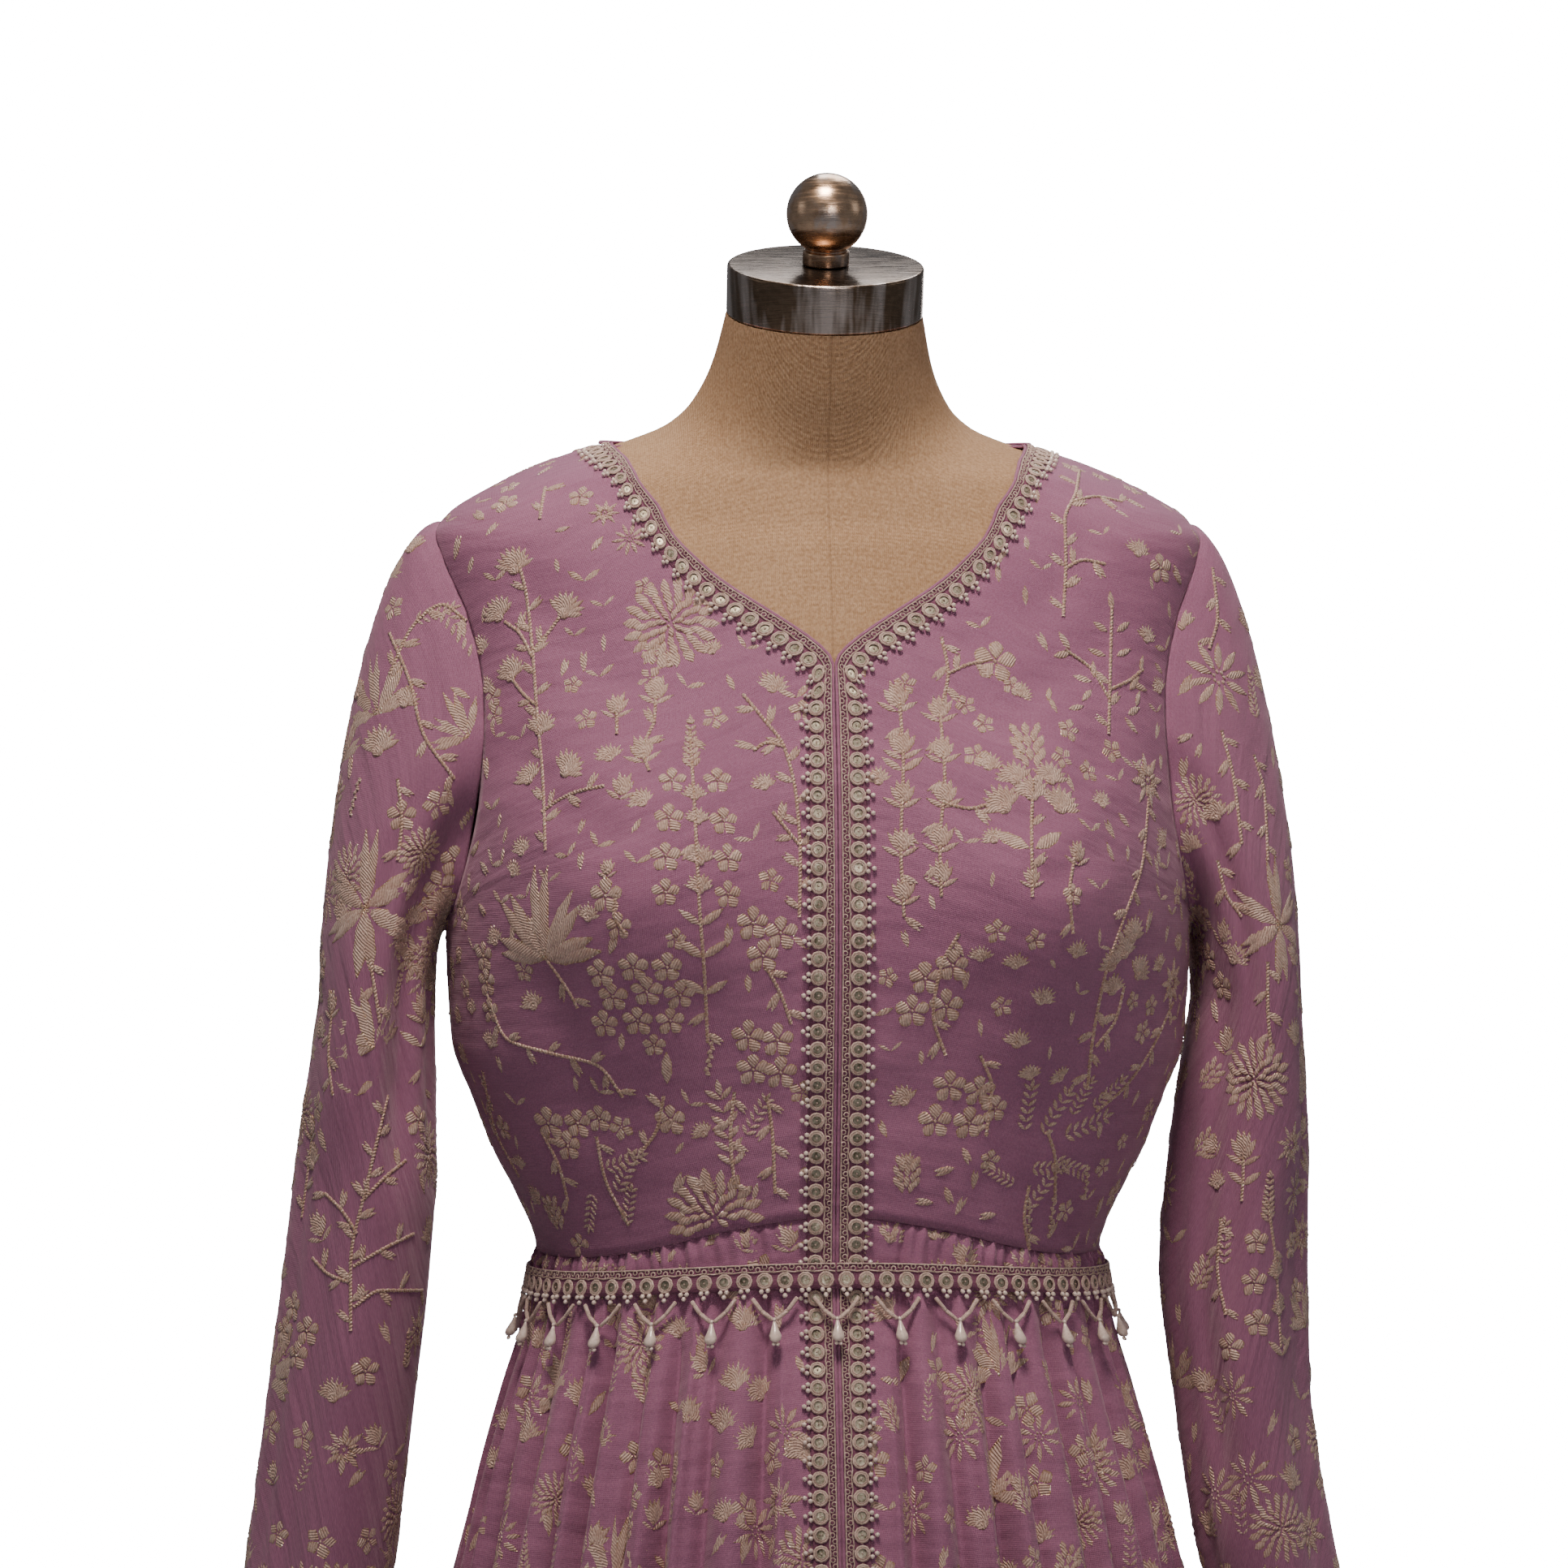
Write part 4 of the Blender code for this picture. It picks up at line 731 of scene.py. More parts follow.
# %% Edges of the bodice
def rings_at(x, z):
    """Angle and ring height of the gown's front where it is seen at x and z, by interpolation."""
    heights = np.linspace(1.20, SHOULDER_POINT, 400)
    angles = np.linspace(0, math.pi / 2, 181)
    found = np.array([np.interp(x, ring_point(GOWN_RINGS, angles, h)[:, 0], angles) for h in heights])
    seen = ring_point(GOWN_RINGS, found, heights)[:, 2]
    height = np.interp(z, seen, heights)
    return np.interp(height, heights, found), height


def closer_to_end(points, count):
    """Rows along the smooth curve through points, at the sine of even steps of a quarter turn."""
    length = run_along(points)
    share = np.sin(np.linspace(0, math.pi / 2, count + 1))
    return smooth_rows(np.column_stack([length, points]), length[-1] * share)


def step_on_gown(angle, height, move):
    """Angle and height reached by a short move: the move solved in the two surface directions."""
    small = 1e-4
    along = ring_point(GOWN_RINGS, angle + small, height) - ring_point(GOWN_RINGS, angle - small, height)
    up = ring_point(GOWN_RINGS, angle, height + small) - ring_point(GOWN_RINGS, angle, height - small)
    basis = np.stack([along, up], axis=-1) / 2 / small
    change = np.einsum("...ij,...j->...i", np.linalg.pinv(basis), move)
    return angle + change[..., 0], height + change[..., 1]


def front_edge():
    """The front edge from the waist up the opening, then along the neckline to the shoulder."""
    opening = np.column_stack([np.zeros(OPENING_ROWS + 1),
                               np.linspace(waist_seam(0.0), NECKLINE_POINT, OPENING_ROWS + 1)])
    solved = np.array([rings_at(x, z) for x, z in NECKLINE[1:]])
    turn = np.vstack([[0.0, NECKLINE_POINT], solved, [math.pi / 2, SHOULDER_POINT]])
    radius = np.array([0.13, 1.0])
    return np.vstack([opening, closer_to_end(turn * radius, BODICE_ROWS - OPENING_ROWS)[1:] / radius])


def back_edge():
    """The centre back line, then the back neckline as a power curve up to the shoulder."""
    opening = np.column_stack([np.full(CENTRE_BACK_ROWS + 1, math.pi),
                               np.linspace(waist_seam(math.pi), BACK_NECK, CENTRE_BACK_ROWS + 1)])
    share = np.sin(np.linspace(0, math.pi / 2, BODICE_ROWS - CENTRE_BACK_ROWS + 1))[1:]
    height = BACK_NECK + (SHOULDER_POINT - BACK_NECK) * share ** 1.6
    return np.vstack([opening, np.column_stack([math.pi - share * math.pi / 2, height])])


def armhole_turns():
    """Rows round half the armhole, with a sine added so that they lie closer near the shoulder."""
    even = np.linspace(0, 1, ARMHOLE_ROWS + 1)
    return math.pi * (even + 0.12 * np.sin(math.pi * even))


def armhole(turn, share=1.0, side=1):
    """The armhole oval: the angle leaves the side line by a sine, the height by a cosine."""
    angle = math.pi / 2 - side * share * ARMHOLE_HALF_ANGLE * np.sin(turn)
    return angle, ARMHOLE_MIDDLE - share * ARMHOLE_HALF_HEIGHT * np.cos(turn)


def side_edge(side):
    """The side seam and then the armhole; side 1 is the front, -1 the back."""
    seam = np.linspace(waist_seam(math.pi / 2), ARMHOLE_MIDDLE - ARMHOLE_HALF_HEIGHT, SIDE_ROWS + 1)
    angle, height = armhole(armhole_turns()[1:], side=side)
    return np.vstack([np.column_stack([np.full(SIDE_ROWS + 1, math.pi / 2), seam]),
                      np.column_stack([angle, height])])


def offset_edge(edge, side, distance):
    """An edge moved into its panel, square to itself, or down along the shoulder seam."""
    points = ring_point(GOWN_RINGS, edge[:, 0], edge[:, 1])
    move = np.cross(np.gradient(points, axis=0), outward(GOWN_RINGS, edge[:, 0], edge[:, 1])) * side
    on_seam = np.abs(np.cos(edge[:, 0])) < 0.01
    down = points - ring_point(GOWN_RINGS, edge[:, 0], edge[:, 1] - 0.001)
    move[on_seam] = -down[on_seam]
    return np.column_stack(step_on_gown(edge[:, 0], edge[:, 1], unit(move) * distance))


def bodice_net(side):
    """Angles and heights of a bodice half: columns blended from the front edge to the side edge,
    with the bottom row lifted to the waist seam by a share that fades up the panel."""
    edge = front_edge() if side == 1 else back_edge()
    start = PIPING_WIDTH + SEAM_GAP
    if side == 1:
        first = [offset_edge(edge, side, start + d) for d in (0, LACE_WIDTH / 2, LACE_WIDTH)]
    else:
        neck = offset_edge(edge, side, start)
        first = [np.vstack([edge[:CENTRE_BACK_ROWS], [[math.pi, BACK_NECK - start]],
                            neck[CENTRE_BACK_ROWS + 1:]])]
    outer = side_edge(side)
    shares = np.linspace(0, 1, PANEL_COLUMNS + 3 - len(first))[1:]
    net = np.stack(first + [first[-1] * (1 - share) + outer * share for share in shares], axis=1)
    lift = waist_seam(net[0, :, 0]) - net[0, :, 1]
    net[:, :, 1] += np.linspace(1, 0, BODICE_ROWS + 1)[:, None] ** 2 * lift[None, :]
    below_seam = math.radians(1.5) * np.arange(BODICE_ROWS, -1, -1)[:, None]
    neck = slice(CENTRE_BACK_ROWS + 1, BODICE_ROWS)
    reach = side * (math.pi / 2 - net[neck, :, 0])
    net[neck, :, 0] = math.pi / 2 - side * np.maximum(reach, below_seam[neck])
    return net


front_net, back_net = finer(bodice_net(1), 5, 6), finer(bodice_net(-1), 5, 6)
print("bodice nets:", front_net.shape, back_net.shape)


# %% Creases pressed in
def crease(points, normal, line, width, depth):
    """A soft trough along a line seen from the front: the depth times a bell curve of the distance
    from the line, fading at both ends. A minus depth makes a ridge."""
    flat = points[..., [0, 2]]
    line = np.array(line)
    start, run = line[0], line[-1] - line[0]
    share = np.clip(((flat - start) @ run) / (run @ run), 0, 1)
    bend = 4 * share * (1 - share)
    middle = line[1] - (line[0] + line[2]) / 2 if len(line) == 3 else np.zeros(2)
    nearest = start + share[..., None] * run + bend[..., None] * middle
    away = np.linalg.norm(flat - nearest, axis=-1)
    ends = soft_step(-0.02, 0.18, share) * (1 - soft_step(0.82, 1.02, share)) + 1e-6
    return points - normal * (depth * np.exp(-(away / width) ** 2) * ends)[..., None]


def seen_at(px, py, y=-0.11):
    """x and z of a place on the gown's front from its place in the photograph's frame."""
    scale = METRES_A_PIXEL * (1 + y / CAMERA_AWAY)
    across = (px - PHOTO_SIDE / 2) * scale
    x = (across + 0.0698 * (y - TARGET[1])) / 0.9976 + TARGET[0]
    return x, TARGET[2] + (PHOTO_SIDE / 2 - py) * scale


# Every crease: three places in the frame, its width and its depth in millimetres
FRONT_CREASES = (
    ((1325, 1085), (1262, 1300), (1195, 1505), 1.6, 0.9),
    ((1310, 1085), (1247, 1300), (1180, 1505), 5.0, -0.7),
    ((770, 1085), (778, 1200), (805, 1300), 1.6, 0.9), ((784, 1085), (792, 1200), (820, 1300), 5.0, -0.6),
    ((1385, 900), (1300, 990), (1180, 1010), 14, 1.6), ((1400, 980), (1330, 1060), (1240, 1090), 10, 1.2),
    ((640, 700), (700, 790), (800, 850), 14, 1.4), ((620, 880), (690, 990), (790, 1040), 12, 1.5),
    ((1120, 840), (1200, 880), (1290, 880), 13, 1.0), ((1400, 760), (1330, 820), (1250, 850), 10, 1.0),
    ((1370, 1180), (1330, 1290), (1300, 1420), 11, 1.6), ((1250, 1180), (1150, 1290), (1090, 1420), 12, 1.2),
    ((650, 1180), (700, 1290), (720, 1420), 11, 1.6), ((840, 1190), (900, 1310), (950, 1420), 12, 1.2),
    ((1030, 1180), (1010, 1280), (1000, 1380), 9, 0.7), ((1360, 620), (1330, 700), (1260, 760), 12, 1.1),
)


CREASE_GAIN = 1.7


def pressed(points, normal, creases, flip=1.0):
    """All creases of a list pressed into a surface; flip -1 mirrors them to the other side."""
    for first, second, third, width, depth in creases:
        line = [np.array(seen_at(*place)) * np.array([flip, 1.0]) for place in (first, second, third)]
        points = crease(points, normal, line, width / 1000, CREASE_GAIN * depth / 1000)
    return points


# %% Cut the two fronts and the back
cloths = {}


def keep_cloth(name, points, normal, around=False):
    """Remember a cloth's points and normals, so that embroidery can be laid on them later."""
    cloths[name] = {"points": points, "normal": normal, "around": around}


outer = ring_point(GOWN_RINGS, front_net[..., 0], front_net[..., 1])
normal = outward(GOWN_RINGS, front_net[..., 0], front_net[..., 1])
to_minus_x = np.array([-1.0, 1.0, 1.0])
for name, flip in (("front_left", np.ones(3)), ("front_right", to_minus_x)):
    points = pressed(outer * flip, normal * flip, FRONT_CREASES)
    piece = grid_piece("cloth_" + name, points, crepe, turned=flip[0] < 0, wall=WALL)
    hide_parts("bodice_" + name)
    keep_cloth(name, points, normal * flip)

outer = ring_point(GOWN_RINGS, back_net[..., 0], back_net[..., 1])
normal = outward(GOWN_RINGS, back_net[..., 0], back_net[..., 1])
outer[:CENTRE_BACK_ROWS * 5 + 1, 0, 0] = 0.0
outer = np.concatenate([outer[:, :0:-1] * to_minus_x, outer], axis=1)[:, ::-1]
normal = np.concatenate([normal[:, :0:-1] * to_minus_x, normal], axis=1)[:, ::-1]
BACK_CREASES = tuple(c for c in FRONT_CREASES if c[3] > 6)
points = pressed(pressed(outer, normal, BACK_CREASES[:6]), normal, BACK_CREASES[6:], -1.0)
middle = BODICE_ROWS * 5 + 1
piece = grid_piece("cloth_back", points, crepe, wall=WALL)
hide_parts("bodice_back")
keep_cloth("back", points, normal)
for name, cloth in cloths.items():
    print(name, "grid", cloth["points"].shape[:2])

# %% [markdown]
# ## Underlap
# Behind the closed front opening lies a narrow strip of the same crepe, so that nothing shows
# through. It is in shade, and at the point of the neckline a little of it can be seen.

# %% The strip behind the opening
heights = np.linspace(1.075, NECKLINE_POINT - 0.004, 60)
radius = ring_point(GOWN_RINGS, 0.01, heights)[:, 0] / 0.01
angle = np.linspace(-0.011, 0.011, 9)[None, :] / radius[:, None]
height = np.repeat(heights[:, None], 9, axis=1)
behind = outward(GOWN_RINGS, angle, height) * 0.0022
points = ring_point(GOWN_RINGS, angle, height) - behind
underlap = grid_piece("cloth_underlap", points, crepe, wall=0.001)
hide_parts("bodice_underlap")
print("underlap", len(underlap.data.polygons), "faces")

# %% [markdown]
# ## The gathered skirt
# Two fronts meet at the centre and one back closes the ring. Each is one grid from the waist seam
# to the hem. Near the centre front the columns keep their distance from the edge, so that the lace
# stays as wide as it is at the waist while the skirt widens. The top edge is tucked in behind the
# bodice, as a sewn seam is.

# %% Three skirt panels
sewn = np.vstack([front_net[0], back_net[0][::-1]])
band = np.concatenate([[0.0], PIPING_WIDTH + SEAM_GAP + np.linspace(0, LACE_WIDTH, 7)])


def skirt_panel(name, first, last, columns, rows, side, with_band):
    """A panel between two angles: heights from the seam to the hem at a power of even steps, and
    columns by distance in the lace band and by angle beyond it."""
    fall = (np.linspace(0, 1, rows) ** 1.45)[:, None]
    if with_band:
        start = band[-1] / 0.2 + first
        free = np.linspace(0, 1, columns)[None, 1:]
        radius = ring_point(GOWN_RINGS, 0.01, WAIST_SIDE + (HEM - WAIST_SIDE) * fall)[..., 0] / 0.01
        edge = band[None, :] / radius
        angle = np.concatenate([edge, edge[:, -1:] + (last - edge[:, -1:]) * free], axis=1)
    else:
        angle = np.repeat(np.linspace(first, last, columns)[None, :], rows, axis=0)
    turn = np.abs(turn_of(angle))
    top = np.interp(turn, sewn[:, 0], sewn[:, 1]) + 0.001
    height = top + (HEM - top) * fall
    tuck = -0.0022 * soft_step(0.0035, 0.0, top - 0.001 - height)
    return skirt_point(side * angle, height, tuck)


panels = (
    ("skirt_front_left", 0.0, math.pi / 2, 205, 76, 1, True),
    ("skirt_front_right", 0.0, math.pi / 2, 205, 76, -1, True),
    ("skirt_back", math.pi / 2, 1.5 * math.pi, 240, 60, 1, False),
)
for name, first, last, columns, rows, side, with_band in panels:
    points = skirt_panel(name, first, last, columns, rows, side, with_band)
    by_row, by_column = np.gradient(points, axis=0), np.gradient(points, axis=1)
    normal = np.cross(by_column, -by_row) * side
    normal = unit(normal)
    piece = grid_piece("cloth_" + name, points, crepe, turned=side > 0, wall=WALL)
    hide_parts(name)
    keep_cloth(name, points, normal)
    print(name, "grid", points.shape[:2], "top", round(float(points[0, :, 2].max()), 3))

# %% [markdown]
# ## The long sleeves
# An empty sleeve hangs as a soft oval tube. Its top ring lies on the armhole and its lower rings
# are level ovals with the edges seen in the photograph. Smooth paths join the two, and long soft
# creases are pushed towards the tube's middle. Small puckers at the top come from the armhole seam.


# %% Sleeve surfaces
def crease_tube(points, turns, creases):
    """Soft troughs along a tube: the depth times a bell curve round it, between two heights."""
    middle = points.mean(axis=1, keepdims=True)
    for place, width, depth, top, bottom in creases:
        away = np.degrees(turn_of(turns - math.radians(place)))
        level = points[..., 2]
        window = (soft_step(bottom - 0.05, bottom + 0.02, level)
                  * (1 - soft_step(top - 0.02, top + 0.04, level)))
        inward = (middle - points) * np.array([1.0, 1.0, 0.0])
        inward = unit(inward)
        points = points + inward * (depth * np.exp(-(away / width) ** 2) * window)[..., None]
    return points


def sleeve_surface(table, creases, extra, bulge, columns=96):
    """Rows from the armhole down on cubic paths that leave along the gown's normal and arrive
    straight down, then level ovals to the cuff; turn 0 is the side next to the body."""
    turns = np.linspace(0, 2 * math.pi, columns, endpoint=False)
    side = np.where(turns <= math.pi, 1, -1)
    half_turn = np.where(turns < math.pi, turns, 2 * math.pi - turns)
    angle, height = armhole(half_turn, 0.996, side)
    start = ring_point(GOWN_RINGS, angle, height)
    first_normal = outward(GOWN_RINGS, angle, height)

    def oval(level):
        inner, outer, front, back = np.moveaxis(smooth_rows(table[::-1], level), -1, 0)
        x = (inner + outer) / 2 - (outer - inner) / 2 * np.cos(turns)
        y = (front + back) / 2 + (front - back) / 2 * np.sin(turns)
        return np.stack([x, y, np.full_like(x, level)], axis=-1)

    end = oval(SLEEVE_OVAL_TOP)
    drop = (start - end)[:, 2:3]
    up_share = (1 - np.cos(turns))[:, None] / 2
    angle, height = armhole(half_turn, 0.946, side)
    across = ring_point(GOWN_RINGS, angle, height) - start
    across = unit(across)
    leave = first_normal * (0.010 + 0.026 * np.abs(np.sin(turns))[:, None] + 0.016 * up_share)
    leave = leave + across * (0.012 + 0.022 * up_share) + np.array([1.0, 0.0, 0.0]) * bulge * up_share ** 2
    arrive = np.array([0.0, 0.0, -1.0]) * (0.012 + 0.9 * drop)
    share = (np.linspace(0, 1, 40) ** 1.3)[:, None, None]
    cap_rows = ((2 * share ** 3 - 3 * share ** 2 + 1) * start + (share ** 3 - 2 * share ** 2 + share) * leave
                + (3 * share ** 2 - 2 * share ** 3) * end + (share ** 3 - share ** 2) * arrive)
    low_rows = np.array([oval(level) for level in np.linspace(SLEEVE_OVAL_TOP, CUFF, 54)[1:]])
    points = np.concatenate([cap_rows, low_rows])
    points = crease_tube(crease_tube(points, turns, creases), turns, extra)
    wave = 0.0005 * np.cos(26 * turns + 2 * np.sin(3 * turns)) * soft_step(1.19, 1.30, points[..., 2])
    near = np.exp(-(share[:, 0, 0] / 0.12) ** 2)
    wave = wave * np.concatenate([near, np.zeros(53)])[:, None]
    around = np.roll(points, -1, axis=1) - np.roll(points, 1, axis=1)
    normal = np.cross(np.gradient(points, axis=0), around)
    normal = unit(normal)
    points = points + normal * wave[..., None]
    points[0] -= first_normal * (0.0010 - 0.0009 * up_share)
    return points, normal


LEFT_EXTRA = ((75, 9, 0.005, 1.30, 1.02), (150, 12, 0.004, 1.20, 0.95), (25, 9, 0.003, 1.10, 0.86))
RIGHT_EXTRA = ((20, 9, 0.004, 1.27, 1.10), (95, 10, 0.004, 1.25, 1.02), (150, 12, 0.004, 1.10, 0.88))
for name, table, creases, bulge, flip in (
        ("sleeve_left", LEFT_SLEEVE, (LEFT_CREASES, LEFT_EXTRA), 0.042, np.ones(3)),
        ("sleeve_right", RIGHT_SLEEVE, (RIGHT_CREASES, RIGHT_EXTRA), 0.074, to_minus_x)):
    points, normal = sleeve_surface(table, *creases, bulge)
    piece = grid_piece("cloth_" + name, points * flip, crepe, around=True,
                       turned=flip[0] > 0, wall=WALL)
    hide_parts(name)
    keep_cloth(name, points * flip, normal * flip, around=True)
    print(name, "grid", points.shape[:2])

# %% [markdown]
# ## Laying trims on the cloth
# Piping, lace and belt all follow an edge. Each gets a strip: a fine net of points on the gown whose
# rows run along the edge and whose columns are distances from it. A small shape is drawn once in
# the strip's own measures, along, across and up, copied to every place, and then every corner
# of every copy is carried to the gown together. So the rings bend with the cloth and never float.


# %% Strips along the front edges
def make_strip(points, normal, across):
    """A strip's net, with the length run along its middle column and the columns' distances."""
    return {"points": points, "normal": normal, "across": np.asarray(across),
            "along": run_along(points[:, points.shape[1] // 2])}


def edge_strip(distances, side, rows=260):
    """From the shoulder down the neckline and opening on the bodice, then down the skirt to the
    hem, at distances from the front edge; side -1 works on the other side's own folds."""
    coarse = front_edge()
    net = np.stack([offset_edge(coarse, 1, d) for d in distances], axis=1)[::-1]
    net = finer(net, 8, 1)
    bodice = ring_point(GOWN_RINGS, net[..., 0], net[..., 1])
    up = outward(GOWN_RINGS, net[..., 0], net[..., 1])
    height = np.linspace(waist_seam(0.0) - 0.004, HEM + 0.001, rows)[:, None]
    radius = ring_point(GOWN_RINGS, 0.01, height)[..., 0] / 0.01
    angle = side * np.asarray(distances)[None, :] / radius
    height = np.repeat(height, len(distances), axis=1)
    flip = np.array([side, 1.0, 1.0])
    skirt = skirt_point(angle, height, 0.0002) * flip
    down = outward(GOWN_RINGS, angle, height) * flip
    return make_strip(np.concatenate([bodice, skirt]) * flip, np.concatenate([up, down]) * flip, distances)


def on_strip(strip, along, across, up):
    """A place on a strip: its row by length, its column by distance, the four points round it
    weighted by their nearness, and then a step along the normal."""
    along = np.mod(along, strip["along"][-1]) if strip.get("closed") else along
    row = np.interp(along, strip["along"], np.arange(len(strip["along"])))
    column = np.interp(across, strip["across"], np.arange(len(strip["across"])))
    low_row = np.clip(row.astype(int), 0, len(strip["along"]) - 2)
    low_column = np.clip(column.astype(int), 0, len(strip["across"]) - 2)
    r, c = (row - low_row)[..., None], (column - low_column)[..., None]

    def blend(net):
        return ((1 - r) * ((1 - c) * net[low_row, low_column] + c * net[low_row, low_column + 1])
                + r * ((1 - c) * net[low_row + 1, low_column] + c * net[low_row + 1, low_column + 1]))

    past = np.asarray(across) - np.clip(across, strip["across"][0], strip["across"][-1])
    side = strip["points"][low_row, -1] - strip["points"][low_row, 0]
    side = unit(side)
    rise = blend(strip["normal"]) * np.asarray(up)[..., None]
    return blend(strip["points"]) + side * past[..., None] + rise


LACE_START = PIPING_WIDTH + SEAM_GAP
lace_strips = {}
piping_strips = {}
for name, side in (("left", 1), ("right", -1)):
    lace_strips[name] = edge_strip(LACE_START + np.linspace(0, LACE_WIDTH, 5), side)
    piping_strips[name] = edge_strip(np.array([0.0001, 0.0009, 0.0019]), side)
lace_length = lace_strips["left"]["along"][-1]
print("lace on each side:", round(lace_length, 3), "m")


# %% Small shapes in a strip's measures
def tube(path, radius, sides=6):
    """A tube along a path of points: at each point a circle square to the path, whose first axis
    is the cross product of the path's direction and the up axis. Radius may change along it."""
    path = np.asarray(path, float)
    run = np.gradient(path, axis=0)
    run = unit(run)
    side = unit(np.cross(run, [0.0, 0.0, 1.0]))
    top = np.cross(side, run)
    spin = np.linspace(0, 2 * math.pi, sides, endpoint=False)[None, :, None]
    radius = np.broadcast_to(radius, len(path))[:, None, None]
    points = path[:, None] + radius * (np.cos(spin) * side[:, None] + np.sin(spin) * top[:, None])
    faces = grid_quads(len(path), sides, True)
    return points.reshape(-1, 3), np.concatenate([faces[:, [0, 1, 2]], faces[:, [0, 2, 3]]])


def thread_ring(radius, thick, steps=12, sides=4):
    """A ring of thread: a circle of the given radius carrying a small circle round itself."""
    turn = np.linspace(0, 2 * math.pi, steps, endpoint=False)[:, None]
    small = np.linspace(0, 2 * math.pi, sides, endpoint=False)[None, :]
    far = radius + thick * np.cos(small)
    points = np.stack([far * np.cos(turn), far * np.sin(turn), thick * np.sin(small) + 0 * turn], axis=-1)
    row = np.arange(steps)[:, None] * sides
    after_row = (row + sides) % (steps * sides)
    column, after = np.arange(sides)[None, :], (np.arange(sides)[None, :] + 1) % sides
    square = np.stack([row + column, after_row + column, after_row + after, row + after], axis=-1)
    square = square.reshape(-1, 4)
    return points.reshape(-1, 3), np.concatenate([square[:, [0, 1, 2]], square[:, [0, 2, 3]]])


def turned_bead(profile, steps=8):
    """A bead spun from a profile of radius and height, closed by a point at each end."""
    profile = np.array(profile, float)
    turn = np.linspace(0, 2 * math.pi, steps, endpoint=False)
    ring = np.stack([profile[1:-1, :1] * np.cos(turn), profile[1:-1, :1] * np.sin(turn),
                     profile[1:-1, 1:] + 0 * turn], axis=-1)
    points = np.concatenate([ring.reshape(-1, 3), [[0, 0, profile[0, 1]], [0, 0, profile[-1, 1]]]])
    square = grid_quads(len(ring), steps, True)
    column, after = np.arange(steps), (np.arange(steps) + 1) % steps
    last = (len(ring) - 1) * steps
    low = np.stack([after, column, np.full(steps, len(points) - 2)], axis=1)
    high = np.stack([last + column, last + after, np.full(steps, len(points) - 1)], axis=1)
    return points, np.concatenate([square[:, [0, 1, 2]], square[:, [0, 2, 3]], low, high])


def round_bead(radius, steps=8, rows=4):
    """A round bead: the profile is half a circle of radius sine and height cosine."""
    climb = np.linspace(math.pi, 0, rows + 1)
    return turned_bead(np.column_stack([radius * np.sin(climb), radius * np.cos(climb)]), steps)


def copies(shape, places):
    """A small shape copied to every place: all points in one array, all faces in another."""
    points, faces = shape
    places = np.asarray(places, float).reshape(-1, 3)
    moved = places[:, None] + points[None]
    numbers = np.arange(len(places))[:, None, None] * len(points) + faces[None]
    return moved.reshape(-1, 3), numbers.reshape(-1, 3)


def together(parts):
    """Several point and face arrays joined into one pair."""
    counts = np.cumsum([0] + [len(points) for points, faces in parts])
    return (np.concatenate([points for points, faces in parts]),
            np.concatenate([faces + count for (points, faces), count in zip(parts, counts)]))


def laid_piece(name, strip, parts, material, turned=False):
    """Shapes in a strip's measures carried onto the gown and made one piece."""
    points, faces = together(parts)
    world_points = on_strip(strip, points[:, 0], points[:, 1], points[:, 2])
    corner = points[faces.reshape(-1)][:, :2]
    faces = faces[:, ::-1] if turned else faces
    if turned:
        corner = corner.reshape(-1, 3, 2)[:, ::-1].reshape(-1, 2)
    return new_piece(name, world_points, faces, material, corner)


print("a pearl has", len(round_bead(0.0013)[1]), "faces")

# %% [markdown]
# ## Lace thread, mirrors and pearls
# The lace is pinkish beige cotton, looped and satin stitched, so its thread has a fine twist that
# shows as small dark and light lines. The mirrors are grey-green metal sequins with a knot of thread in
# the middle: a rough metal with a darker centre. The pearls are plastic with a glossy coat.

# %% Finishes of the trims
lace_thread, tree, shader = new_finish("lace thread", Roughness=0.62, Sheen_Weight=0.25,
                                       Specular_IOR_Level=0.3)
shader.inputs["Sheen Tint"].default_value = (1.0, 0.88, 0.84, 1.0)
place = uneven_base(tree, shader, (0.430, 0.285, 0.240), (0.830, 0.640, 0.560), 260.0, 1500.0, 0.7)
twist = placed(tree, grain, Place=place, Threads_a_metre=900.0, Roughening=0.6)
relief(tree, shader, twist.outputs["Height"], 0.00015)

mirror, tree, shader = new_finish("old mirror", Metallic=0.75, Roughness=0.40)
uneven_base(tree, shader, (0.12, 0.10, 0.06), (0.55, 0.50, 0.40), 170.0, 800.0, 0.6)

pearl, tree, shader = new_finish("pearl bead", Roughness=0.24, Coat_Weight=0.8, Coat_Roughness=0.10,
                                 Sheen_Weight=0.2)
uneven_base(tree, shader, (0.60, 0.44, 0.38), (0.92, 0.78, 0.70), 300.0, 900.0, 0.4)
print("trim finishes:", lace_thread.name, mirror.name, pearl.name)

# %% [markdown]
# ## The lace
# One repeat is 9 mm long: a double thread ring round a mirror, a heading of little loops between two
# cords on the side of the edge, and three pearls on the far side. The ground is a fine net in the
# gown's mauve, which is the sheet that is sewn down; its colour is a darker copy of the crepe, painted shade
# under the open net, and the rings and pearls sit on it.

# %% One repeat of the lace
REPEAT = 0.009
RING_AT, LOOPS_AT, EDGE_CORD_AT, INNER_CORD_AT = 0.0083, 0.0021, 0.0004, 0.0039
PEARLS = ((-0.0016, 0.0132), (0.0016, 0.0132), (0.0, 0.0156))
PEARL = 0.00135


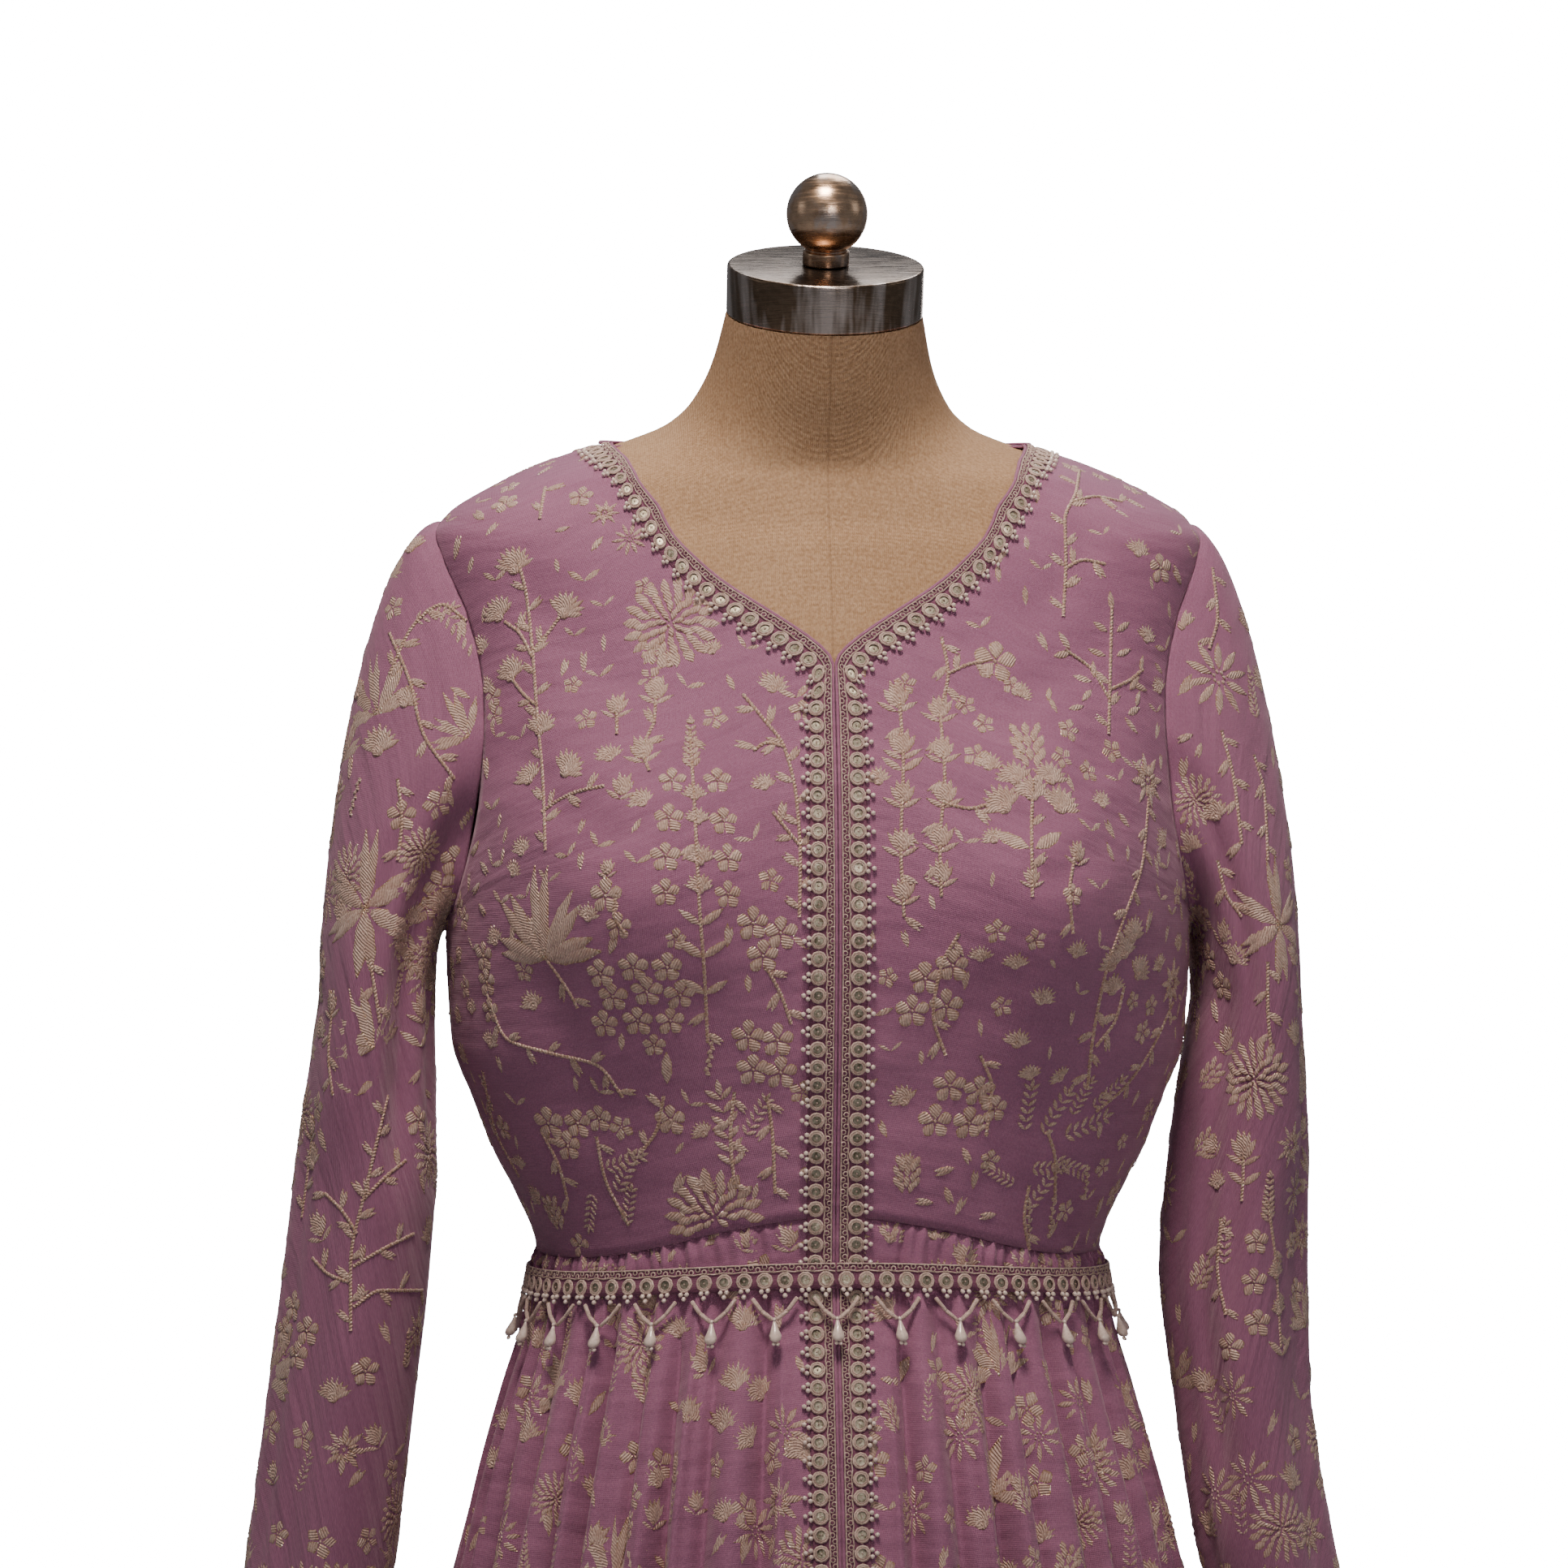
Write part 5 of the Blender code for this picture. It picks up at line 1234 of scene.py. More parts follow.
def lace_parts(length, across, count, seed):
    """All threads, mirrors and pearls along a length: every array is the repeat's own small shape
    copied at even steps; mirrors are tipped a little at random, so that a few catch the light."""
    chance = np.random.default_rng(seed)
    at = (np.arange(count) + 0.5) * length / count
    step = length / count
    zero = np.zeros_like(at)
    ring_places = np.column_stack([at, zero + across + RING_AT, zero + 0.0008])
    loops = (np.arange(3 * count) + 0.5) * step / 3
    zigzag = across + LOOPS_AT + 0.0006 * (-1.0) ** np.arange(3 * count)
    loop_places = np.column_stack([loops, zigzag, zigzag * 0 + 0.0006])
    threads = [copies(thread_ring(0.0036, 0.00066, 10), ring_places + [0, 0, 0.0004]),
               copies(thread_ring(0.00265, 0.00050, 10, 3), ring_places + [0, 0, 0.0007]),
               copies(thread_ring(0.00112, 0.00036, 7, 3), loop_places + [0, 0, 0.0008])]
    fine = np.linspace(0.0005, length - 0.0005, 2 * count + 1)
    for start, sway, beat in ((EDGE_CORD_AT, 0.0001, 2.0), (INNER_CORD_AT, 0.0003, 1.0)):
        cord = np.column_stack([fine, across + start + sway * np.cos(2 * math.pi * beat * fine / step),
                                fine * 0 + 0.0005])
        threads.append(tube(cord + [0, 0, 0.0007], 0.00036, 4))
    spokes = np.linspace(0, 2 * math.pi, 10, endpoint=False)
    rim = np.column_stack([0.0023 * np.cos(spokes), 0.0023 * np.sin(spokes), spokes * 0])
    mid = np.column_stack([0.0009 * np.cos(spokes), 0.0009 * np.sin(spokes), spokes * 0 + 0.00022])
    dish = np.concatenate([rim, mid, [[0, 0, -0.0001]]])
    square = grid_quads(2, 10, True)
    cap_faces = np.stack([10 + np.arange(10), 10 + (np.arange(10) + 1) % 10, np.full(10, 20)], axis=1)
    dish_faces = np.concatenate([square[:, [0, 1, 2]], square[:, [0, 2, 3]], cap_faces])
    points, faces = copies((dish, dish_faces), ring_places)
    tip = np.repeat(chance.normal(0, 0.06, (count, 2)), len(dish), axis=0)
    own = np.tile(dish, (count, 1))
    points[:, 2] += own[:, 0] * tip[:, 0] + own[:, 1] * tip[:, 1] + 0.0003
    mirrors = [(points, faces)]
    nudge = chance.normal(0, 0.00015, (3, count, 2))
    pearls = []
    for (dx, dy), shift in zip(PEARLS, nudge):
        centre = np.column_stack([at + dx + shift[:, 0], zero + across + dy + shift[:, 1], zero + 0.0013])
        pearls.append(copies(round_bead(PEARL, 6, 4), centre))
    knots = [copies(round_bead(0.0005, 5, 2), ring_places + [0, 0, 0.0009])]
    return threads + knots, mirrors, pearls


def lace_pieces(name, strip, across, length, count, node, seed, turned):
    """The net, threads, mirrors and pearls of one run of lace."""
    rows = np.linspace(0, length, 2 * count + 1)[:, None]
    columns = across + np.linspace(0.0001, 0.0128, 4)[None, :]
    along, away = np.broadcast_arrays(rows, columns)
    net_points = on_strip(strip, along, away, 0 * along + 0.0005)
    # The net takes the darker crepe, painted shade under the open net.
    net_piece = grid_piece(name + "_net", net_points, painted_shade_crepe, turned=turned, wall=0.0003)
    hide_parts(node)
    threads, mirrors, pearls = lace_parts(length, across, count, seed)
    on_it = [laid_piece(name + "_threads", strip, threads, lace_thread, turned),
             laid_piece(name + "_mirrors", strip, mirrors, mirror, turned),
             laid_piece(name + "_pearls", strip, pearls, pearl, turned)]
    print(name, "repeats:", count, "faces:", [len(p.data.polygons) for p in on_it])


# %% Lace down both front edges
for seed, (name, turned) in enumerate((("left", True), ("right", False))):
    lace_pieces("lace_" + name, lace_strips[name], LACE_START, lace_length, round(lace_length / REPEAT),
                "lace_" + name, seed, turned)

# %% [markdown]
# ## Piping
# A bias strip of the crepe is folded round a cord and sewn to each edge. It shows as a narrow
# half-round ridge. Its profile is carried along the same edge, and another along the back neck.


# %% Piping on the fronts and the back neck
def piping_piece(name, strip, width, turned, node):
    """A half-round profile of the strip's width carried along it: the height is a half circle."""
    lean = np.linspace(0, math.pi, 7)
    across = width / 2 * (1 - np.cos(lean)) + strip["across"][0]
    up = 0.0011 * np.sin(lean) ** 0.8 - 0.0004
    along = strip["along"][:, None] + 0 * lean
    points = on_strip(strip, along, across + 0 * along, up + 0 * along)
    piece = grid_piece(name, points, crepe, turned=turned, wall=0.0006)
    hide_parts(node)
    return piece


for name, turned in (("left", True), ("right", False)):
    piping_piece("trim_piping_" + name, piping_strips[name], 0.0018, turned, "piping_" + name)
half = finer(np.stack([offset_edge(back_edge()[CENTRE_BACK_ROWS:], -1, d) for d in (0.0001, 0.001, 0.0019)],
                      axis=1), 12, 1)
points = ring_point(GOWN_RINGS, half[..., 0], half[..., 1])
up = outward(GOWN_RINGS, half[..., 0], half[..., 1])
points[0, :, 0] = 0.0
points = np.concatenate([points[:0:-1] * to_minus_x, points])
up = np.concatenate([up[:0:-1] * to_minus_x, up])
back_strip = make_strip(points, up, (0.0001, 0.001, 0.0019))
piping_piece("trim_piping_back", back_strip, 0.0018, False, "piping_back")
print("piping on three edges")

# %% [markdown]
# ## The belt
# The belt is the same lace, closed round the waist, and it rests on the crests of the gathers. Under
# its lower edge hang forked strands of two glass bugle beads each, which meet over a pearl teardrop
# and two seed beads. All of it is drawn in the belt's own measures: along, down and out.

# %% Belt lace
fine = np.linspace(0, 2 * math.pi, 721)


def belt_strip(out):
    """The belt's net: columns are distances down from its upper edge, 1 to 24 mm below it too."""
    down = np.array([0.0, 0.009, 0.018, 0.030, 0.046])
    height = belt_top(fine)[:, None] - down[None, :]
    angle = np.repeat(fine[:, None], len(down), axis=1)
    base = ring_point(GOWN_RINGS, angle, height)
    level = outward(GOWN_RINGS, angle, height) * np.array([1.0, 1.0, 0.0])
    level = unit(level)
    away = gather_depth(height) + np.abs(soft_fold(angle, height)) + out + 0.03 * np.maximum(down - 0.018, 0)
    return make_strip(base + level * away[..., None], level, down)


belt = belt_strip(0.0014)
belt["closed"] = True
belt_length = belt["along"][-1]
lace_pieces("belt", belt, 0.0, belt_length, 3 * 28, "belt_band", 7, True)

# %% Beaded drops
DROPS = 28
pitch = belt_length / DROPS
centres = np.arange(DROPS) * pitch
low_edge = 0.0166
fork = low_edge + 0.0105


def bugle(start, end):
    """A glass tube bead between two places, with closed and slightly narrowed ends."""
    share = np.array([0.0, 0.001, 0.06, 0.94, 0.999, 1.0])[:, None]
    radius = np.array([0.0001, 0.0008, 0.00105, 0.00105, 0.0008, 0.0001])
    return tube(start + (end - start) * share, radius, 6)


strands = []
for side in (-1, 1):
    top, foot = np.array([side * 0.0112, low_edge, 0.0012]), np.array([side * 0.0010, fork, 0.0014])
    bend = (top + foot) / 2 + np.array([side * 0.0004, 0.0008, 0.0003])
    strands.append(bugle(top, bend))
    strands.append(bugle(bend, foot))
chance = np.random.default_rng(21)
swing = chance.normal(0, 0.05, DROPS)
pear = np.array([(0.0, 0.0), (0.0007, 0.0004), (0.0011, 0.0020), (0.0020, 0.0045), (0.0030, 0.0072),
                 (0.0029, 0.0090), (0.0018, 0.0102), (0.0, 0.0105)])
tear_points, tear_faces = turned_bead(pear, 10)
tear_points = tear_points[:, [0, 2, 1]] * np.array([1, 1, -1])
fork_places = np.column_stack([centres, 0 * centres + fork, 0 * centres + 0.003])
tears = copies((tear_points, tear_faces), fork_places)
seeds = [copies(round_bead(0.0011, 7, 4), fork_places + [dx, dy, 0])
         for dx, dy in ((0.0, -0.0004), (-0.0009, 0.0112), (0.0010, 0.0114))]
parts = [copies(shape, fork_places * [1, 0, 0]) for shape in strands]
laid_piece("belt_bugles", belt, parts, lace_thread, True)
hung = []
for points, faces in [tears] + seeds:
    below = np.maximum(points[:, 1] - fork, 0)
    number = np.clip(np.round((points[:, 0]) / pitch).astype(int), 0, DROPS - 1)
    points = points.copy()
    points[:, 0] = points[:, 0] + below * swing[number]
    hung.append((points, faces))
teardrops = laid_piece("belt_teardrops", belt, hung, pearl, True)
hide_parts("belt_drops")
print("drops:", DROPS, "at", round(pitch * 1000, 1), "mm")

# %% [markdown]
# ## Thread embroidery
# The gown is covered in beige satin-stitch flowers, leaves and sprays on chain-stitch stems, edged
# with fine gold thread. Each petal is a small domed patch, wide in the middle, with a groove down its
# length. A picture could be painted on, but real stitches stand a little off the cloth and shade
# themselves, so they are meshes here. The drawings are plain flower and leaf shapes of our own,
# set out in roughly the photograph's layout. Every patch walks over the cloth from its anchor in
# short steps, so that it lies in the folds.


# %% Finding a place on a cloth and walking over it
def read_net(cloth, row, column):
    """Point, normal and both grid directions at any place of a cloth's net, by nearness."""
    rows, columns = cloth["points"].shape[:2]
    low_row = np.clip(row.astype(int), 0, rows - 2)
    low_column = np.floor(column).astype(int)
    low_column = low_column % columns if cloth["around"] else np.clip(low_column, 0, columns - 2)
    high_column = (low_column + 1) % columns
    r, c = (row - low_row)[:, None], (column - np.floor(column))[:, None]
    c = c if cloth["around"] else (column - low_column)[:, None]
    corners = [cloth["points"][a, b] for a in (low_row, low_row + 1) for b in (low_column, high_column)]
    normals = [cloth["normal"][a, b] for a in (low_row, low_row + 1) for b in (low_column, high_column)]
    weights = ((1 - r) * (1 - c), (1 - r) * c, r * (1 - c), r * c)
    point = sum(w * p for w, p in zip(weights, corners))
    normal = sum(w * n for w, n in zip(weights, normals))
    by_row = (1 - c) * (corners[2] - corners[0]) + c * (corners[3] - corners[1])
    by_column = (1 - r) * (corners[1] - corners[0]) + r * (corners[3] - corners[2])
    return point, unit(normal), by_row, by_column


def solved(by_row, by_column, move):
    """The row and column steps whose sum is nearest to a move: two equations, two unknowns."""
    pairs = ((by_column, by_column), (by_column, by_row), (by_row, by_row))
    a, b, c = [np.sum(p * q, axis=1) for p, q in pairs]
    d, e = np.sum(move * by_column, axis=1), np.sum(move * by_row, axis=1)
    room = np.maximum(a * c - b * b, 1e-16)
    return (a * e - b * d) / room, (c * d - b * e) / room


STRIDE = 0.0016


def walk(cloth, row, column, across, up):
    """The place reached from each start by going across and up on the cloth, in short strides:
    up is the world's up laid flat on the cloth, across is square to it."""
    strides = int(np.ceil(np.max(np.hypot(across, up)) / STRIDE)) + 1
    row, column = row.astype(float), column.astype(float)
    inside = np.ones(len(row), bool)
    rows, columns = cloth["points"].shape[:2]
    for _ in range(strides):
        point, normal, by_row, by_column = read_net(cloth, row, column)
        rise = np.array([0.0, 0.0, 1.0]) - normal[:, 2:] * normal
        rise = rise / np.maximum(np.linalg.norm(rise, axis=1, keepdims=True), 1e-6)
        move = (across[:, None] * np.cross(rise, normal) + up[:, None] * rise) / strides
        row_step, column_step = solved(by_row, by_column, move)
        row, column = row + np.clip(row_step, -2, 2), column + np.clip(column_step, -2, 2)
        inside &= (row >= 0) & (row <= rows - 1)
        if not cloth["around"]:
            inside &= (column >= 0) & (column <= columns - 1)
            column = np.clip(column, 0, columns - 1)
        row = np.clip(row, 0, rows - 1)
    return row, column, inside


RIGHT_OF_CAMERA = np.array([LOOK[1], -LOOK[0], 0.0])


def in_frame(points):
    """Where the camera sees points, in the photograph's pixels: sideways and upward distance over
    depth, times the focal length in pixels."""
    away = points - (TARGET - CAMERA_AWAY * LOOK)
    focal = CAMERA_AWAY / METRES_A_PIXEL
    depth = away @ LOOK
    return np.stack([PHOTO_SIDE / 2 + focal * (away @ RIGHT_OF_CAMERA) / depth,
                     PHOTO_SIDE / 2 - focal * away[..., 2] / depth], axis=-1)


def found_on(cloth, places):
    """Rows and columns at which a cloth is seen at given pixels: the nearest net point that faces
    the camera, then a few corrections by the net's own two directions."""
    if "frame" not in cloth:
        cloth["frame"] = in_frame(cloth["points"])
        cloth["facing"] = (cloth["normal"] @ LOOK) < -0.12
    flat = cloth["frame"].reshape(-1, 2)
    hidden = ~cloth["facing"].reshape(-1) * 1e6
    columns = cloth["points"].shape[1]
    near = np.array([np.argmin(np.sum((flat - place) ** 2, axis=1) + hidden) for place in places])
    row, column = (near // columns).astype(float), (near % columns).astype(float)
    miss = None
    for _ in range(4):
        point, normal, by_row, by_column = read_net(cloth, row, column)
        here = in_frame(point)
        miss = places - here
        step_row, step_column = in_frame(point + by_row) - here, in_frame(point + by_column) - here
        row_step, column_step = solved(step_row, step_column, miss)
        row = np.clip(row + np.clip(row_step, -1, 1), 0, cloth["points"].shape[0] - 1.001)
        column = column + np.clip(column_step, -1, 1)
        if not cloth["around"]:
            column = np.clip(column, 0, columns - 1.001)
    return row, column, np.linalg.norm(miss, axis=1) < 4.0


print("bodice front seen from", np.round(in_frame(cloths["front_left"]["points"]).min(axis=(0, 1))))

# %% [markdown]
# ## Drawing flowers and leaves
# A drawing is a list of petals. Each petal has a base, a heading, a length, a width, a height and
# how round its tip is. Flowers are petals set round a circle, sprays are petals set along a line.
# The same few kinds make the whole gown, at different sizes and turns.


# %% The kinds of drawing, in millimetres
def petal(x, y, heading, length, width, high=0.8, rounding=0.0):
    """One petal: base x and y, heading in degrees with 90 up, length, width, height, rounding."""
    return (x, y, heading, length, width, high, rounding)


def round_of(count, inner, length, width, high=0.8, rounding=1.0, start=0.0, x=0.0, y=0.0):
    """Petals set round a circle: the base lies on the circle, the heading points outward."""
    turns = start + np.arange(count) * 360.0 / count
    return [petal(x + inner * math.cos(math.radians(t)), y + inner * math.sin(math.radians(t)),
                  t, length, width, high, rounding) for t in turns]


def knots_at(places, radius=0.9):
    """French knots: the shortest petals, as wide as they are long."""
    return [petal(x, y - radius, 90.0, 2 * radius, 2.0 * radius, 0.9, 0.6) for x, y in places]


def five(size):
    """A small flower of five round petals and a knot."""
    return round_of(5, 0.13 * size, 0.87 * size, 0.86 * size, 0.9, 0.8, 90) + knots_at([(0, 0)], 0.11 * size)


def rose(size):
    """A full flower of three rounds of petals, each standing higher, and knots in the middle."""
    return (round_of(18, 0.62 * size, 0.40 * size, 0.23 * size, 0.7, 0.2)
            + round_of(16, 0.42 * size, 0.34 * size, 0.20 * size, 1.0, 0.5, 8)
            + round_of(12, 0.24 * size, 0.29 * size, 0.17 * size, 1.3, 0.6, 3)
            + round_of(7, 0.08 * size, 0.24 * size, 0.15 * size, 1.6, 0.6, 20)
            + knots_at([(0.07 * size * math.cos(a), 0.07 * size * math.sin(a)) for a in (0, 2.1, 4.2)]))


def daisy(size):
    """Ten narrow petals round a ring of knots."""
    ring = [(0.16 * size * math.cos(a), 0.16 * size * math.sin(a)) for a in np.arange(7) * 0.8976]
    return round_of(10, 0.24 * size, 0.76 * size, 0.25 * size, 0.9, 0.2, 9) + knots_at(ring, 0.06 * size)


def star(size):
    """Eight pointed petals with small ones between."""
    return (round_of(8, 0.2 * size, 0.8 * size, 0.26 * size, 0.9, 0.0)
            + round_of(8, 0.15 * size, 0.45 * size, 0.16 * size, 1.1, 0.0, 22.5)
            + knots_at([(0, 0)], 0.1 * size))


def fan(size):
    """A fan of nine petals over a small cup of three."""
    spread = np.linspace(-68, 68, 9)
    back = [petal(0, 0.1 * size, 90 + s, size * (1 - 0.0016 * abs(s)), 0.27 * size, 0.8, 0.5) for s in spread]
    cup = [petal(0, -0.06 * size, 90 + s, 0.42 * size, 0.24 * size, 1.2, 0.0) for s in (-40, 0, 40)]
    return back + cup


def leaf(size):
    """One leaf of two halves, so that a rib shows between them."""
    return [petal(0, 0, 90 + s, size, 0.30 * size, 0.8, 0.15) for s in (-7, 7)]


def blade(size):
    """A long plain leaf."""
    return [petal(0, 0, 90, size, 0.38 * size, 0.9, 0.1)]


def bud(size):
    """A pointed bud between two leaves, as on a climbing spray."""
    inner = ((-34, 0.80, 0.8), (34, 0.80, 0.8), (-14, 0.95, 1.0), (14, 0.95, 1.0), (0, 0.9, 1.3))
    return ([petal(0, 0, 90 + s, size * k, 0.30 * size, h, 0.1) for s, k, h in inner]
            + [petal(0, -0.15 * size, 90 + s, 0.75 * size, 0.20 * size, 0.8) for s in (-62, 62)])


def pair(size):
    """Two leaves that leave a stem to both sides."""
    return [petal(0, 0, 90 + s, size, 0.34 * size, 0.8, 0.15) for s in (-55, 55)]


def spike(size):
    """A pointed spike: pairs of small petals that get shorter towards the tip."""
    built = [petal(0, 0.86 * size, 90, 0.18 * size, 0.09 * size, 0.9)]
    for share in np.linspace(0, 0.86, 8):
        for s in (-42, 42):
            built.append(petal(0, share * size, 90 + s, (0.26 - 0.17 * share) * size,
                               (0.11 - 0.04 * share) * size, 0.9, 0.3))
    return built


def fern(size):
    """A light spray: small leaves in pairs all along."""
    sides = [petal(0, share * size, 90 + s, 0.22 * size, 0.085 * size, 0.7, 0.3)
             for share in np.linspace(0.05, 0.85, 6) for s in (-48, 48)]
    return sides + [petal(0, 0.9 * size, 90, 0.2 * size, 0.08 * size)]


def berries(size):
    """A drooping spray of round berries along a short stem."""
    share = np.linspace(0.1, 1, 9)
    return [petal(0.09 * size * (-1) ** k, s * size, 90 + 50 * (-1) ** k, 0.15 * size, 0.13 * size, 0.9, 0.8)
            for k, s in enumerate(share)]


def cone(size):
    """A cone of overlapping scales, the low ones first."""
    built = []
    for k, share in enumerate(np.linspace(0, 0.75, 6)):
        wide = math.sin(math.pi * (0.25 + 0.6 * share))
        for s in ((-1, 0, 1) if k % 2 else (-0.6, 0.6)):
            built.append(petal(s * 0.22 * size * wide, share * size, 90 - 26 * s, 0.34 * size, 0.2 * size,
                               0.8 + 0.06 * k, 0.4))
    return built


def palm(size):
    """Five great leaves opening from one point, each of two halves."""
    return [petal(0, 0, 90 + s + h, size * k, 0.19 * size, 0.9, 0.1)
            for s, k in ((-78, 0.72), (-40, 0.9), (0, 1.0), (40, 0.9), (78, 0.72)) for h in (-6, 6)]


def star_leaf(size):
    """Six great leaves all round a point, each of two halves."""
    leaves = ((90, 1.0), (35, 0.85), (-25, 0.8), (-90, 0.9), (-150, 0.8), (150, 0.9))
    return [petal(0, 0, t + h, size * k, 0.19 * size, 0.9, 0.1) for t, k in leaves for h in (-6, 6)]


KINDS = {"five": five, "rose": rose, "daisy": daisy, "star": star, "fan": fan, "leaf": leaf, "blade": blade,
         "bud": bud, "pair": pair, "spike": spike, "fern": fern, "berries": berries, "cone": cone,
         "palm": palm, "star_leaf": star_leaf}
for kind, draw in KINDS.items():
    print(kind, len(draw(10.0)), "petals", end="; ")

# %% [markdown]
# ## Where the drawings lie
# Each cloth has a list of stems, as a few places in the frame that a smooth line runs through,
# and its drawings by kind, each with a place, a heading and a size in millimetres. Small leaves
# grow from every stem by themselves. Where the frame shows nothing, and in the gaps, the same kinds
# are set out in staggered rows.

# %% Layout of the front
STEMS = {
    "front_right": (
        ((672, 1048), (669, 960), (662, 880), (656, 800), (648, 730), (638, 690)),
        ((656, 810), (640, 780), (622, 766)), ((658, 800), (675, 780), (690, 760)),
        ((662, 870), (645, 855), (632, 838)), ((668, 1000), (690, 985), (712, 975), (745, 968)),
        ((665, 640), (668, 620), (672, 600)), ((760, 905), (760, 880)), ((806, 890), (808, 860)),
        ((800, 950), (792, 925), (806, 890)),
        ((850, 900), (856, 1000), (862, 1120), (868, 1200), (872, 1285)),
        ((985, 1130), (986, 1060), (982, 990), (966, 920), (940, 885), (915, 855)),
        ((966, 920), (945, 915), (928, 925)), ((984, 1040), (968, 1020), (952, 1000)),
        ((672, 1180), (700, 1220), (712, 1242)),
        ((600, 1225), (625, 1280), (680, 1298), (735, 1312), (768, 1352)),
        ((943, 1190), (962, 1225), (975, 1262)), ((905, 1345), (900, 1400), (905, 1460)),
        ((945, 1350), (952, 1400), (955, 1470)), ((790, 1420), (810, 1390), (818, 1350)),
        ((735, 1400), (745, 1450), (775, 1510)), ((668, 1395), (690, 1440), (700, 1480)),
        ((585, 1000), (592, 1060), (590, 1120)), ((640, 1500), (690, 1530), (740, 1525)),
        ((595, 1320), (610, 1390), (640, 1450)), ((760, 1100), (756, 1125), (770, 1150)),),
    "front_left": (
        ((1310, 760), (1313, 690), (1312, 640), (1326, 605), (1330, 580)),
        ((1320, 618), (1350, 612), (1382, 618)), ((1313, 700), (1335, 690), (1362, 695)),
        ((1366, 905), (1368, 820), (1370, 745)), ((1366, 860), (1345, 825), (1312, 800)),
        ((1367, 850), (1392, 838), (1408, 825)), ((1160, 785), (1168, 830), (1160, 870)),
        ((1168, 830), (1195, 818), (1212, 815)), ((1108, 860), (1113, 940), (1110, 1040), (1114, 1130)),
        ((1158, 875), (1164, 960), (1158, 1040), (1160, 1105)),
        ((1272, 1105), (1271, 1020), (1273, 960)),
        ((1415, 985), (1408, 1060), (1385, 1130), (1362, 1200), (1345, 1290), (1340, 1340)),
        ((1182, 1150), (1160, 1190), (1150, 1250), (1165, 1300)),
        ((1190, 1405), (1160, 1470), (1105, 1520)),
        ((1355, 1365), (1290, 1392), (1255, 1450), (1225, 1500), (1205, 1530)),
        ((1290, 1392), (1300, 1430), (1300, 1480)), ((1325, 1050), (1318, 1100), (1322, 1150)),
        ((1385, 1215), (1375, 1255), (1350, 1290)), ((1165, 990), (1195, 996), (1215, 992)),
        ((1445, 1235), (1420, 1290), (1385, 1340), (1350, 1370)),
        ((1450, 1330), (1420, 1400), (1380, 1460)), ((1268, 1460), (1262, 1500), (1268, 1540)),
        ((1208, 1300), (1222, 1340), (1215, 1400)), ((1450, 1010), (1470, 1060), (1478, 1100)),),
    "sleeve_left": (
        ((1494, 700), (1500, 760), (1490, 800)), ((1505, 900), (1520, 960), (1530, 1040)),
        ((1545, 930), (1558, 980), (1562, 1060)), ((1562, 1185), (1562, 1240), (1566, 1290)),
        ((1530, 1480), (1532, 1440), (1532, 1410)), ((1562, 1480), (1572, 1560), (1578, 1660)),
        ((1500, 1060), (1510, 1100), (1530, 1130)), ((1505, 1500), (1500, 1560), (1510, 1620)),),
    "sleeve_right": (
        ((480, 830), (510, 770), (545, 745), (575, 765)),
        ((480, 780), (505, 840), (520, 900), (560, 960)),
        ((432, 1640), (432, 1560), (452, 1460), (478, 1350)), ((440, 1520), (420, 1490), (400, 1470)),
        ((446, 1480), (475, 1450), (500, 1430)), ((436, 1560), (470, 1540), (510, 1520)),
        ((436, 1610), (470, 1590), (520, 1590)), ((410, 1240), (405, 1300), (410, 1350)),
        ((455, 1180), (462, 1220), (468, 1260)), ((430, 1580), (405, 1570), (385, 1550)),
        ((505, 690), (520, 670), (545, 660)), ((490, 960), (495, 1010), (490, 1060)),
        ((520, 1230), (515, 1290), (525, 1350)), ((372, 1500), (380, 1440), (385, 1400)),),
}
